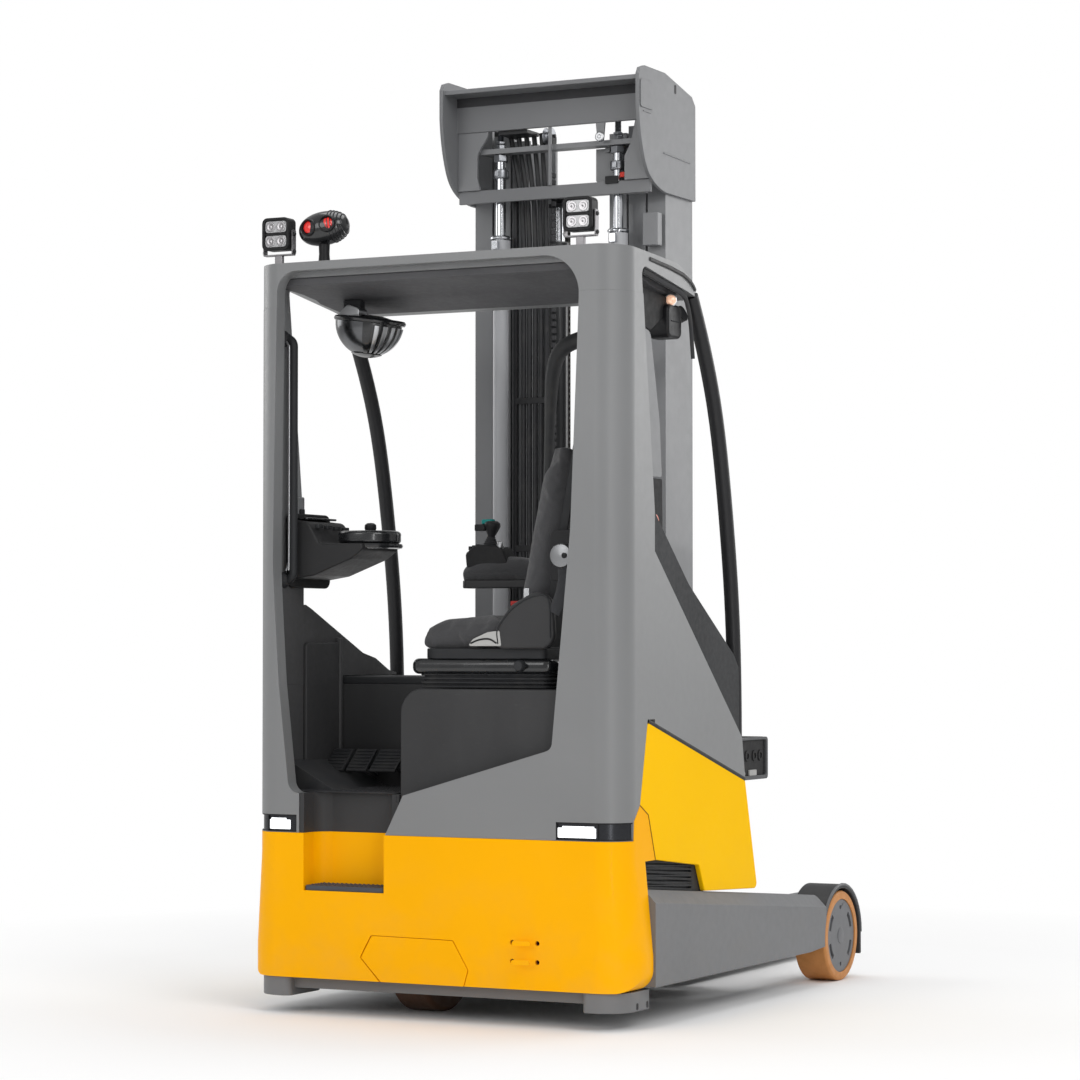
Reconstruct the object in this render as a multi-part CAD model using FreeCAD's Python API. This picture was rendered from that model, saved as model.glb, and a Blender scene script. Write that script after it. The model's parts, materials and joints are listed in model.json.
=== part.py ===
import FreeCAD, Part
import math
import os
from FreeCAD import Vector

# Reach truck with a triplex mast, parked with the mast pulled in and the forks
# down. Millimetres. +Y points from the drive end towards the forks, +X to the
# operator's back, +Z up. Everything below is dimensioned from the middle of
# the drive-end face at floor level, and is moved at export so that the origin
# is the centre of the footprint.

# ---------------------------------------------------------------- overall
TRUCK_WIDTH = 1270.0          # over the wheel arms
COVER_INSET = 32.0            # arms' outer faces to the covers
BODY_WIDTH = TRUCK_WIDTH - 2.0 * COVER_INSET
BODY_FRONT = 859.0            # drive-end face to the front of the side panels
BODY_CORNER_R = 90.0          # plan radius of the rear corners
GUARD_HEIGHT = 2190.0         # floor to the rear edge of the roof
ARM_WIDTH = 185.0
INSIDE_ARMS = TRUCK_WIDTH - 2.0 * ARM_WIDTH
FORK_TIP = 2390.0             # drive-end face to the fork tips
MAST_HEIGHT = 2820.0          # floor to the top of the lowered mast
BASE_TO_AXLE = 1581.0         # drive-end face to the load wheel axles

# ---------------------------------------------------------------- clearances
SEAT_GAP = 0.3                # a piece that rests on or runs round another
RUN_GAP = 6.0                 # moving structure past fixed structure
ROLLER_GAP = 0.8              # a guide roller inside its channel

# ---------------------------------------------------------------- chassis
BASE_BOTTOM = 72.0
BASE_THICK = 30.0
FOOT_BOTTOM = 50.0
FOOT_LENGTH = 200.0
FOOT_WIDTH = 130.0
BASE_MARGIN = 40.0            # base plate edge inside the covers
WALL_THICK = 20.0
BRIDGE_BOTTOM = 380.0         # underside of the plate that carries the drive unit
BRIDGE_THICK = 20.0
BOX_REAR = 116.0              # rear edge of the chassis box
BAY_WALL_FRONT = 760.0        # front face of the wall behind the reach carriage
BATTERY_LENGTH = BODY_WIDTH - 76.0
BATTERY_WIDTH = 283.0
BATTERY_HEIGHT = 540.0
BATTERY_FRONT = 728.0
BATTERY_LID = 24.0
LID_OVERHANG = 12.0

# ---------------------------------------------------------------- wheels
LOAD_WHEEL_R = 142.5
LOAD_WHEEL_WIDTH = 108.0
LOAD_HUB_R = 116.0
HUB_SLOT_R = 90.0
HUB_SLOT_SPREAD = 33.0       # degrees
HUB_SLOT_HALF = 8.0          # half the width of a slot
LOAD_AXLE_R = 20.0
DRIVE_WHEEL_R = 171.5
DRIVE_WHEEL_WIDTH = 114.0
DRIVE_HUB_R = 112.0
DRIVE_AXLE_R = 32.0
DRIVE_X = -141.0
DRIVE_Y = 262.0
WHEEL_WELL_R = 208.0

# ---------------------------------------------------------------- wheel arms
ARM_START = 96.0
ARM_END = 1430.0
ARM_TOP_REAR = 391.0
ARM_TOP_FRONT = 281.0
ARM_BOTTOM = 114.0
ARM_TOE_RISE = 8.0            # rise of the underside at the wheel end
ARM_CHAMFER = 38.0
RAIL_WIDTH = 60.0             # reach channel on the arm's inner side
RAIL_BOTTOM = 130.0
RAIL_HEIGHT = 140.0
RAIL_SKIN = 14.0
RAIL_FRONT = 1742.0
GUARD_GAP = 8.0
GUARD_DROP = 70.0             # how far the guard hangs below the axle
GUARD_SKIN = 13.0

# ---------------------------------------------------------------- covers
COVER_SKIN = 28.0
COVER_BOTTOM = 106.0
COVER_TOP = 525.0
COVER_BACK = 150.0            # side return of the rear cover
COVER_FLARE = 25.0            # the cover widens downwards, to hide the arms' ends
FLARE_TOP = 464.0
FLARE_BOTTOM = 200.0
COVER_FOOT_R = 58.0           # rounding of the cover's lower corners
SEAM = 0.4                    # half the joint between two covers
SIDE_SKIN = 16.0
STEP_LEFT = -422.0
STEP_RIGHT = -154.0
STEP_TREAD = 374.0
STEP_DEPTH = 96.0
STEP_CORNER_R = 46.0
TREAD_THICK = 15.0
POCKET_WALL = 12.0
TOW_HOLE_R = 7.0
TOW_X = 300.5
TOW_Z = 210.5
TOW_PITCH_X = 79.0
TOW_PITCH_Z = 53.0

# ---------------------------------------------------------------- cab
PILLAR_SKIN = 46.0
SIDE_JOINT = 217.0            # the pillars end here and the side panels begin
LAMP_LOW = 527.0
LAMP_HIGH = 577.0
LAMP_IN_RIGHT = 398.0
LAMP_IN_LEFT = 446.0
LAMP_DEPTH = 40.0
LAMP_BACK = 74.0
RISER_SKIN = 14.0
ROOF_SPLIT = GUARD_HEIGHT - 130.0   # pillars end and the roof frame begins
ROOF_FRONT = 538.0
ROOF_SLOPE = 0.05             # fall of the roof towards the forks
ROOF_BEND = 400.0             # the roof falls more steeply in front of this station
ROOF_NOSE_DROP = 92.0         # fall of the roof at its front edge
RAIL_LOW_REAR = 48.0          # underside of the roof rail below the guard height, at the pillar
RAIL_LOW_FRONT = 110.0        # and at the front edge
PILLAR_HEAD = 132.0           # the pillars grow narrower upwards, to this depth
PILLAR_BEND = 1452.0
ROOF_RAIL = 62.0
ROOF_PANEL_DROP = 4.0         # the roof skin lies this far below its frame
DOOR_TOP = GUARD_HEIGHT - 25.0
SILL_HEIGHT = 640.0
FLOOR_THICK = 24.0
POST_R = 22.0
POST_X = BODY_WIDTH / 2.0 - 23.0
POST_FOOT = 796.0
POST_HEAD = GUARD_HEIGHT - 100.0
SEAT_BOX_LEFT = -130.0
SEAT_BOX_RIGHT = BODY_WIDTH / 2.0 - 73.0
SEAT_BOX_TOP = 945.0
SEAT_BOX_REAR = 52.0
CAB_WALL = 443.0              # front face of the wall between seat and battery
CAB_WALL_THICK = 12.0

# ---------------------------------------------------------------- mast
MAST_REAR = 885.0
MAST_FRONT = 1085.0
MAST_BOTTOM = 90.0
MAST_HALF_WIDTH = 330.0
OUTER_FLANGE = 60.0
STAGE_GAP = 7.0
MIDDLE_FLANGE = 58.0
INNER_FLANGE = 58.0
MAST_WEB = 12.0
MAST_SKIN = 14.0
RAIL_TOP = 2690.0
HEAD_REAR = 690.0
HEAD_SKIN = 12.0
PIVOT_Y = 985.0
PIVOT_Z = 172.0
PIVOT_R = 22.0
LIFT_X = 203.0
LIFT_Y = 815.0
LIFT_BARREL_R = 25.0
LIFT_ROD_R = 16.0
LIFT_FOOT = 372.0
LIFT_GLAND = 2330.0
CROSSHEAD_Z = 2600.0
CROSSHEAD_THICK = 16.0

# ---------------------------------------------------------------- forks
FORK_WIDTH = 100.0
FORK_THICK = 40.0
FORK_LENGTH = 1150.0
FORK_X = 205.0
FORK_BOTTOM = 30.0
BAR_LOW = 92.0
BAR_HIGH = 430.0
BAR_HEIGHT = 62.0
BAR_THICK = 30.0
LOW_BAR_HALF = MAST_HALF_WIDTH + 20.0
HIGH_BAR_HALF = MAST_HALF_WIDTH + 70.0

# ---------------------------------------------------------------- helpers
PARTS_FOLDER = "parts"
HALF = BODY_WIDTH / 2.0
ORIGIN_SHIFT = Vector(0, -FORK_TIP / 2.0, 0)
X_AXIS = Vector(1, 0, 0)
Y_AXIS = Vector(0, 1, 0)
Z_AXIS = Vector(0, 0, 1)


def box(x0, x1, y0, y1, z0, z1):
    """Rectangular block between two corners."""
    return Part.makeBox(x1 - x0, y1 - y0, z1 - z0, Vector(x0, y0, z0))


def rod(axis, start, radius, length):
    """Cylinder from a start point along an axis."""
    return Part.makeCylinder(radius, length, Vector(*start), axis)


def fuse(first, *others):
    """One solid from touching pieces, with the seams on flat faces removed."""
    return first.fuse(list(others)).removeSplitter()


def outline(points, place):
    """Closed wire through (u, v) or (u, v, corner radius) points."""
    flat = [(p[0], p[1], p[2] if len(p) > 2 else 0.0) for p in points]
    edges = []
    ends = []
    for i, (u, v, r) in enumerate(flat):
        here = Vector(u, v, 0)
        back = Vector(*flat[i - 1][:2], 0) - here
        ahead = Vector(*flat[(i + 1) % len(flat)][:2], 0) - here
        if r <= 0:
            ends.append((here, here))
            continue
        turn = back.getAngle(ahead)
        reach = r / math.tan(turn / 2.0)
        first = here + back.normalize() * reach
        last = here + ahead.normalize() * reach
        middle = (back + ahead).normalize()
        crown = here + middle * (r / math.sin(turn / 2.0) - r)
        ends.append((first, last))
        edges.append((i, Part.Arc(place(first), place(crown), place(last)).toShape()))
    arcs = dict(edges)
    path = []
    for i in range(len(flat)):
        if i in arcs:
            path.append(arcs[i])
        start = ends[i][1]
        stop = ends[(i + 1) % len(flat)][0]
        if start.distanceToPoint(stop) > 1e-6:
            path.append(Part.LineSegment(place(start), place(stop)).toShape())
    return Part.Wire(path)


def plate_x(points, x0, x1):
    """Prism with a (y, z) outline, between two x planes."""
    wire = outline(points, lambda p: Vector(x0, p.x, p.y))
    return Part.Face(wire).extrude(Vector(x1 - x0, 0, 0))


def plate_y(points, y0, y1):
    """Prism with an (x, z) outline, between two y planes."""
    wire = outline(points, lambda p: Vector(p.x, y0, p.y))
    return Part.Face(wire).extrude(Vector(0, y1 - y0, 0))


def plate_z(points, z0, z1):
    """Prism with an (x, y) outline, between two z planes."""
    wire = outline(points, lambda p: Vector(p.x, p.y, z0))
    return Part.Face(wire).extrude(Vector(0, 0, z1 - z0))


def mirrored(shape):
    """The same piece on the other side of the truck."""
    return shape.mirror(Vector(0, 0, 0), X_AXIS)


def both(shape):
    """A piece and its mirror image as one compound."""
    return Part.makeCompound([shape, mirrored(shape)])


def swept_tube(points, radius):
    """Round bar along a smooth curve through (x, y, z) points."""
    curve = Part.BSplineCurve()
    curve.interpolate([Vector(*p) for p in points])
    path = Part.Wire(curve.toShape())
    start = curve.value(curve.FirstParameter)
    heading = curve.tangent(curve.FirstParameter)[0]
    ring = Part.Wire(Part.makeCircle(radius, start, heading))
    return path.makePipeShell([ring], True, True)


def bent_tube(points, radius, bend):
    """Round bar along straight runs joined by arcs of one bend radius."""
    nodes = [Vector(*p) for p in points]
    edges = []
    previous = nodes[0]
    for i in range(1, len(nodes) - 1):
        back = (nodes[i - 1] - nodes[i]).normalize()
        ahead = (nodes[i + 1] - nodes[i]).normalize()
        turn = back.getAngle(ahead)
        reach = bend / math.tan(turn / 2.0)
        first = nodes[i] + back * reach
        last = nodes[i] + ahead * reach
        crown = nodes[i] + (back + ahead).normalize() * (bend / math.sin(turn / 2.0) - bend)
        edges.append(Part.LineSegment(previous, first).toShape())
        edges.append(Part.Arc(first, crown, last).toShape())
        previous = last
    edges.append(Part.LineSegment(previous, nodes[-1]).toShape())
    path = Part.Wire(edges)
    ring = Part.Wire(Part.makeCircle(radius, nodes[0], nodes[1] - nodes[0]))
    return path.makePipeShell([ring], True, True)


def body_plan(inset, y_end):
    """Plan outline of the body: round rear corners, square at the front end."""
    side = HALF - inset
    corner = BODY_CORNER_R - inset
    return [(-side, inset, corner), (side, inset, corner), (side, y_end), (-side, y_end)]


def body_shell(z0, z1, y_end, skin):
    """Wall that follows the rear of the body plan, open towards the forks."""
    outer = plate_z(body_plan(0.0, y_end), z0, z1)
    inner = plate_z(body_plan(skin, y_end + 1.0), z0 - 1.0, z1 + 1.0)
    return outer.cut(inner)


def arm_top(y):
    """Height of the wheel arm's sloping top at a station y."""
    share = (y - ARM_START) / (ARM_END - ARM_START)
    return ARM_TOP_REAR + share * (ARM_TOP_FRONT - ARM_TOP_REAR)


def roof_top(y):
    """Height of the roof's top face at a station y."""
    return GUARD_HEIGHT - ROOF_SLOPE * y


NODES = {}


def add(name, shape):
    """Register a finished piece under its node name."""
    NODES[name] = shape


# ---------------------------------------------------------------- chassis
INNER_ARM = INSIDE_ARMS / 2.0
OUTER_ARM = TRUCK_WIDTH / 2.0
BASE_TOP = BASE_BOTTOM + BASE_THICK
BRIDGE_TOP = BRIDGE_BOTTOM + BRIDGE_THICK
REACH_ROD_R = 18.0
REACH_BARREL_R = 34.0
REACH_BORE_R = 26.0
REACH_X = 255.0
REACH_Z = 232.0
REACH_BARREL_START = 150.0
REACH_BARREL_END = 806.0


def base_plate():
    plate = plate_z(body_plan(BASE_MARGIN, ARM_START), BASE_BOTTOM, BASE_TOP)
    plate = plate.fuse(box(-INNER_ARM, INNER_ARM, ARM_START - 1.0, BAY_WALL_FRONT, BASE_BOTTOM, BASE_TOP))
    well = rod(Z_AXIS, (DRIVE_X, DRIVE_Y, BASE_BOTTOM - 1), WHEEL_WELL_R, BASE_THICK + 2)
    side = HALF - FOOT_WIDTH
    corner = BODY_CORNER_R - 6.0
    foot = plate_z(
        [(side, 6.0, 20.0), (HALF - 6.0, 6.0, corner), (HALF - 6.0, FOOT_LENGTH, 16.0),
         (side, FOOT_LENGTH, 30.0)],
        FOOT_BOTTOM, COVER_BOTTOM - SEAT_GAP)
    return fuse(plate.cut(well), foot, mirrored(foot))


def chassis_box():
    """Welded box over the base plate: side walls, front wall and the bridge."""
    inside = INNER_ARM - WALL_THICK
    wall = box(inside, INNER_ARM, BOX_REAR, BAY_WALL_FRONT, BASE_TOP, BRIDGE_BOTTOM)
    front = box(-INNER_ARM, INNER_ARM, BAY_WALL_FRONT - WALL_THICK, BAY_WALL_FRONT,
                BASE_TOP, BRIDGE_BOTTOM)
    front = front.cut(rod(Y_AXIS, (REACH_X, BAY_WALL_FRONT - WALL_THICK - 1, REACH_Z),
                          REACH_BARREL_R + SEAT_GAP, WALL_THICK + 2))
    bridge = box(-INNER_ARM, INNER_ARM, BOX_REAR, BAY_WALL_FRONT,
                 BRIDGE_BOTTOM, BRIDGE_TOP)
    bridge = bridge.cut(rod(Z_AXIS, (DRIVE_X, DRIVE_Y, BRIDGE_BOTTOM - 1),
                            NECK_R + RUN_GAP, BRIDGE_THICK + 2))
    half = BATTERY_LENGTH / 2.0
    tray = box(-half, half, BATTERY_FRONT - BATTERY_WIDTH, BATTERY_FRONT, BRIDGE_TOP, TRAY_TOP)
    return fuse(wall, mirrored(wall), front, bridge, tray)


TRAY_TOP = BRIDGE_TOP + 12.0
BATTERY_TOP = TRAY_TOP + BATTERY_HEIGHT
NECK_R = 90.0
CROWN_R = 118.0
FLANGE_R = 120.0
FLANGE_THICK = 22.0
MOTOR_R = 90.0
MOTOR_HEIGHT = 150.0

add("base_plate", base_plate())
add("chassis_box", chassis_box())
add("battery", box(-BATTERY_LENGTH / 2, BATTERY_LENGTH / 2, BATTERY_FRONT - BATTERY_WIDTH,
                   BATTERY_FRONT, TRAY_TOP, BATTERY_TOP))


def battery_lid():
    """Dark cover over the battery, from the cab wall to the mast."""
    half = HALF - SIDE_SKIN - 20.0
    lid = box(-half, half, CAB_WALL, BATTERY_FRONT + LID_OVERHANG, BATTERY_TOP, BATTERY_TOP + BATTERY_LID)
    return lid.makeFillet(9.0, [e for e in lid.Edges
                                if abs(e.BoundBox.ZMin - BATTERY_TOP - BATTERY_LID) < 0.01])


add("battery_lid", battery_lid())


# ---------------------------------------------------------------- wheel arms
def wheel_arm():
    """Tapering box arm with a chamfered outer top edge, cut out for its channel and guard."""
    side = [(ARM_START, ARM_BOTTOM + 12.0), (ARM_START, arm_top(ARM_START)),
            (ARM_END, arm_top(ARM_END), 14.0), (ARM_END, ARM_BOTTOM + ARM_TOE_RISE),
            (1300.0, ARM_BOTTOM), (ARM_START + 40.0, ARM_BOTTOM)]
    beam = plate_x(side, INNER_ARM, OUTER_ARM)
    beam = beam.cut(box(HALF - COVER_SKIN - 2.0, OUTER_ARM + 1.0, ARM_START - 1.0,
                        COVER_BACK + 2.0 * SEAM,
                        ARM_BOTTOM - 1.0, ARM_TOP_REAR + 1.0))
    top_rear = arm_top(ARM_START)
    top_front = arm_top(ARM_END)
    sections = []
    for y, top in ((ARM_START - 1.0, top_rear), (ARM_END + 1.0, top_front)):
        corner = [Vector(OUTER_ARM + 1.0, y, top + 1.0),
                  Vector(OUTER_ARM - ARM_CHAMFER, y, top + 1.0),
                  Vector(OUTER_ARM + 1.0, y, top - ARM_CHAMFER)]
        sections.append(Part.makePolygon(corner + corner[:1]))
    bevel = Part.makeLoft(sections, True, True)
    channel = box(INNER_ARM - 1.0, INNER_ARM + RAIL_WIDTH, ARM_START - 1.0, ARM_END + 1.0,
                  RAIL_BOTTOM, RAIL_BOTTOM + RAIL_HEIGHT)
    wheel_room = rod(X_AXIS, (INNER_ARM - 1.0, BASE_TO_AXLE, LOAD_WHEEL_R),
                     LOAD_WHEEL_R + GUARD_GAP + GUARD_SKIN + SEAT_GAP, ARM_WIDTH + 2.0)
    return beam.cut(bevel).cut(channel).cut(wheel_room)


def reach_channel():
    """C-channel on the arm's inner side, open towards the mast, with a round nose."""
    top = RAIL_BOTTOM + RAIL_HEIGHT
    side = [(ARM_START, RAIL_BOTTOM), (RAIL_FRONT, RAIL_BOTTOM, 60.0),
            (RAIL_FRONT, top, 60.0), (ARM_START, top)]
    bar = plate_x(side, INNER_ARM, INNER_ARM + RAIL_WIDTH)
    hollow = plate_x(
        [(ARM_START + 600.0, RAIL_BOTTOM + RAIL_SKIN),
         (RAIL_FRONT - RAIL_SKIN, RAIL_BOTTOM + RAIL_SKIN, 46.0),
         (RAIL_FRONT - RAIL_SKIN, top - RAIL_SKIN, 46.0), (ARM_START + 600.0, top - RAIL_SKIN)],
        INNER_ARM - 1.0, INNER_ARM + RAIL_WIDTH - RAIL_SKIN)
    return bar.cut(hollow)


WHEEL_IN = INNER_ARM + RAIL_WIDTH + 8.0
WHEEL_OUT = WHEEL_IN + LOAD_WHEEL_WIDTH
AXLE_END = WHEEL_OUT - 22.0


def load_axle():
    """Stub axle that stands out of the channel's nose, with a thrust collar."""
    root = INNER_ARM + RAIL_WIDTH
    collar = rod(X_AXIS, (root, BASE_TO_AXLE, LOAD_WHEEL_R), 34.0, WHEEL_IN - root - SEAT_GAP)
    pin = rod(X_AXIS, (root, BASE_TO_AXLE, LOAD_WHEEL_R), LOAD_AXLE_R, AXLE_END - root)
    return fuse(collar, pin)


def load_hub():
    """Wheel centre: a disc with a dished face, four curved slots and two holes."""
    start = (WHEEL_IN, BASE_TO_AXLE, LOAD_WHEEL_R)
    hub = rod(X_AXIS, start, LOAD_HUB_R, LOAD_WHEEL_WIDTH - 4.0)
    bore = rod(X_AXIS, (WHEEL_IN - 1.0, BASE_TO_AXLE, LOAD_WHEEL_R), LOAD_AXLE_R + SEAT_GAP,
               AXLE_END - WHEEL_IN + 1.5)
    face = WHEEL_OUT - 4.0
    cuts = [bore]
    for middle in (30.0, 150.0, 210.0, 330.0):
        cuts.append(slot_arc(face, HUB_SLOT_R - HUB_SLOT_HALF, HUB_SLOT_R + HUB_SLOT_HALF, middle, HUB_SLOT_SPREAD))
    for angle in (90.0, 270.0):
        y = BASE_TO_AXLE + HUB_SLOT_R * math.cos(math.radians(angle))
        z = LOAD_WHEEL_R + HUB_SLOT_R * math.sin(math.radians(angle))
        cuts.append(rod(X_AXIS, (face - 14.0, y, z), 6.5, 20.0))
    return hub.cut(cuts)


def slot_arc(face, r0, r1, middle, spread):
    """Cutter for a curved slot in the wheel face, between two radii."""
    points = []
    for radius, order in ((r0, (-1, 0, 1)), (r1, (1, 0, -1))):
        for step in order:
            angle = math.radians(middle + step * spread / 2.0)
            points.append(Vector(face - 14.0, BASE_TO_AXLE + radius * math.cos(angle),
                                 LOAD_WHEEL_R + radius * math.sin(angle)))
    inner = Part.Arc(*points[:3]).toShape()
    outer = Part.Arc(*points[3:]).toShape()
    sides = [Part.LineSegment(points[2], points[3]).toShape(),
             Part.LineSegment(points[5], points[0]).toShape()]
    wire = Part.Wire([inner, sides[0], outer, sides[1]])
    return Part.Face(wire).extrude(Vector(20.0, 0, 0))


def ring_tyre(x0, width, y, z, r_out, r_in, edge):
    """Solid tyre band with rounded shoulders, made as one turned section."""
    section = [(x0, r_in), (x0 + width, r_in), (x0 + width, r_out, edge), (x0, r_out, edge)]
    wire = outline(section, lambda p: Vector(p.x, y, z + p.y))
    return Part.Face(wire).revolve(Vector(0, y, z), X_AXIS, 360)


def load_tyre():
    return ring_tyre(WHEEL_IN, LOAD_WHEEL_WIDTH, BASE_TO_AXLE, LOAD_WHEEL_R,
                     LOAD_WHEEL_R, LOAD_HUB_R, 9.0)


def wheel_guard():
    """Curved guard round the load wheel, from the arm's end over to the front."""
    inner_r = LOAD_WHEEL_R + GUARD_GAP
    outer_r = inner_r + GUARD_SKIN
    y, z = BASE_TO_AXLE, LOAD_WHEEL_R
    low = z - GUARD_DROP
    foot = ARM_BOTTOM + ARM_TOE_RISE - z

    def on_ring(radius, angle):
        return Vector(0, y + radius * math.cos(math.radians(angle)), z + radius * math.sin(math.radians(angle)))

    rear_outer = Vector(0, y - math.sqrt(outer_r ** 2 - foot ** 2), z + foot)
    rear_inner = Vector(0, y - math.sqrt(inner_r ** 2 - foot ** 2), z + foot)
    edges = [
        Part.Arc(rear_outer, on_ring(outer_r, 135.0), on_ring(outer_r, 90.0)).toShape(),
        Part.Arc(on_ring(outer_r, 90.0), on_ring(outer_r, 45.0), on_ring(outer_r, 0.0)).toShape(),
        Part.LineSegment(Vector(0, y + outer_r, z), Vector(0, y + outer_r, low)).toShape(),
        Part.LineSegment(Vector(0, y + outer_r, low), Vector(0, y + inner_r, low)).toShape(),
        Part.LineSegment(Vector(0, y + inner_r, low), Vector(0, y + inner_r, z)).toShape(),
        Part.Arc(on_ring(inner_r, 0.0), on_ring(inner_r, 45.0), on_ring(inner_r, 90.0)).toShape(),
        Part.Arc(on_ring(inner_r, 90.0), on_ring(inner_r, 135.0), rear_inner).toShape(),
        Part.LineSegment(rear_inner, rear_outer).toShape(),
    ]
    inner_side = INNER_ARM + RAIL_WIDTH + SEAT_GAP
    guard = Part.Face(Part.Wire(edges)).extrude(Vector(OUTER_ARM - 6.0 - inner_side, 0, 0))
    guard.translate(Vector(inner_side, 0, 0))
    return guard


add("wheel_arms", both(wheel_arm()))
add("reach_channels", both(reach_channel()))
add("wheel_guards", both(wheel_guard()))
add("load_axles", both(load_axle()))
add("load_hub_right", load_hub())
add("load_tyre_right", load_tyre())
add("load_hub_left", mirrored(load_hub()))
add("load_tyre_left", mirrored(load_tyre()))


# ---------------------------------------------------------------- drive unit
CROWN_BOTTOM = 2.0 * DRIVE_WHEEL_R + 8.0
CROWN_TOP = BRIDGE_BOTTOM - RUN_GAP
LEG_WIDTH = 58.0
LEG_DEPTH = 120.0
FLANGE_TOP = BRIDGE_TOP + SEAT_GAP + FLANGE_THICK


def drive_gearbox():
    """Turntable, crown and single gear leg that hold the drive wheel."""
    leg_x = DRIVE_X + DRIVE_WHEEL_WIDTH / 2.0 + 8.0
    centre = (DRIVE_X, DRIVE_Y)
    crown = rod(Z_AXIS, (*centre, CROWN_BOTTOM), CROWN_R, CROWN_TOP - CROWN_BOTTOM)
    neck = rod(Z_AXIS, (*centre, CROWN_TOP), NECK_R, BRIDGE_TOP + SEAT_GAP - CROWN_TOP)
    flange = rod(Z_AXIS, (*centre, BRIDGE_TOP + SEAT_GAP), FLANGE_R, FLANGE_THICK)
    leg = box(leg_x, leg_x + LEG_WIDTH, DRIVE_Y - LEG_DEPTH / 2, DRIVE_Y + LEG_DEPTH / 2,
              DRIVE_WHEEL_R, CROWN_TOP)
    foot = rod(X_AXIS, (leg_x, DRIVE_Y, DRIVE_WHEEL_R), LEG_DEPTH / 2, LEG_WIDTH)
    axle = rod(X_AXIS, (DRIVE_X - 20.0, DRIVE_Y, DRIVE_WHEEL_R), DRIVE_AXLE_R, leg_x - DRIVE_X + 21.0)
    return fuse(crown, neck, flange, leg, foot, axle)


def drive_motor():
    """Traction motor that stands on the turntable, under the cab floor."""
    can = rod(Z_AXIS, (DRIVE_X, DRIVE_Y, FLANGE_TOP), MOTOR_R, MOTOR_HEIGHT)
    return can.makeFillet(10.0, [can.Edges[0]])


def drive_hub():
    x0 = DRIVE_X - DRIVE_WHEEL_WIDTH / 2.0
    hub = rod(X_AXIS, (x0 + 6.0, DRIVE_Y, DRIVE_WHEEL_R), DRIVE_HUB_R, DRIVE_WHEEL_WIDTH - 12.0)
    bore = rod(X_AXIS, (DRIVE_X - 20.0 - 0.5, DRIVE_Y, DRIVE_WHEEL_R), DRIVE_AXLE_R + SEAT_GAP,
               DRIVE_WHEEL_WIDTH)
    dish = rod(X_AXIS, (x0, DRIVE_Y, DRIVE_WHEEL_R), DRIVE_HUB_R - 22.0, 26.0)
    return hub.cut([bore, dish])


def drive_tyre():
    return ring_tyre(DRIVE_X - DRIVE_WHEEL_WIDTH / 2, DRIVE_WHEEL_WIDTH, DRIVE_Y, DRIVE_WHEEL_R,
                     DRIVE_WHEEL_R, DRIVE_HUB_R, 14.0)


add("drive_gearbox", drive_gearbox())
add("drive_motor", drive_motor())
add("drive_hub", drive_hub())
add("drive_tyre", drive_tyre())


# ---------------------------------------------------------------- covers
FLAP = [(-197.0, 238.0, 8.0), (72.0, 235.0, 8.0), (122.0, 152.0, 8.0), (108.0, COVER_BOTTOM - 2.0),
        (-167.0, COVER_BOTTOM - 2.0), (-233.0, 173.0, 8.0)]
FLAP_GROOVE = 3.0
FLAP_THICK = 20.0
FLOOR_BOTTOM = SILL_HEIGHT - FLOOR_THICK


SEAM_LINE = [(117.0, 622.0), (170.0, 594.0), (217.0, FLARE_TOP + 1.0)]


def flared_plan(grow, z):
    """Plan wire of the rear cover at height z, grown sideways by its flare."""
    side = HALF + grow
    corner = BODY_CORNER_R + grow
    plan = [(-side, 0.0, corner), (side, 0.0, corner), (side, COVER_BACK), (-side, COVER_BACK)]
    return outline(plan, lambda p: Vector(p.x, p.y, z))


def cover_ears():
    """Tabs that rise beside the headlights up to the side covers' joint."""
    ears = body_shell(FLARE_TOP, LAMP_HIGH + 60.0, 240.0, SIDE_SKIN)
    side = [(LAMP_BACK + 2.0, FLARE_TOP), (LAMP_BACK + 5.0, 580.0, 8.0)]
    side += [(y - SEAM, z) for y, z in SEAM_LINE]
    return ears.common(plate_x(side, -HALF - 1.0, HALF + 1.0))


def pocket_plan(grow, rear):
    """Plan outline of the step recess, grown by the thickness of its wall."""
    radius = STEP_CORNER_R + grow
    return [(STEP_LEFT - grow, rear), (STEP_RIGHT + grow, rear),
            (STEP_RIGHT + grow, STEP_DEPTH + grow, radius), (STEP_LEFT - grow, STEP_DEPTH + grow, radius)]


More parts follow.
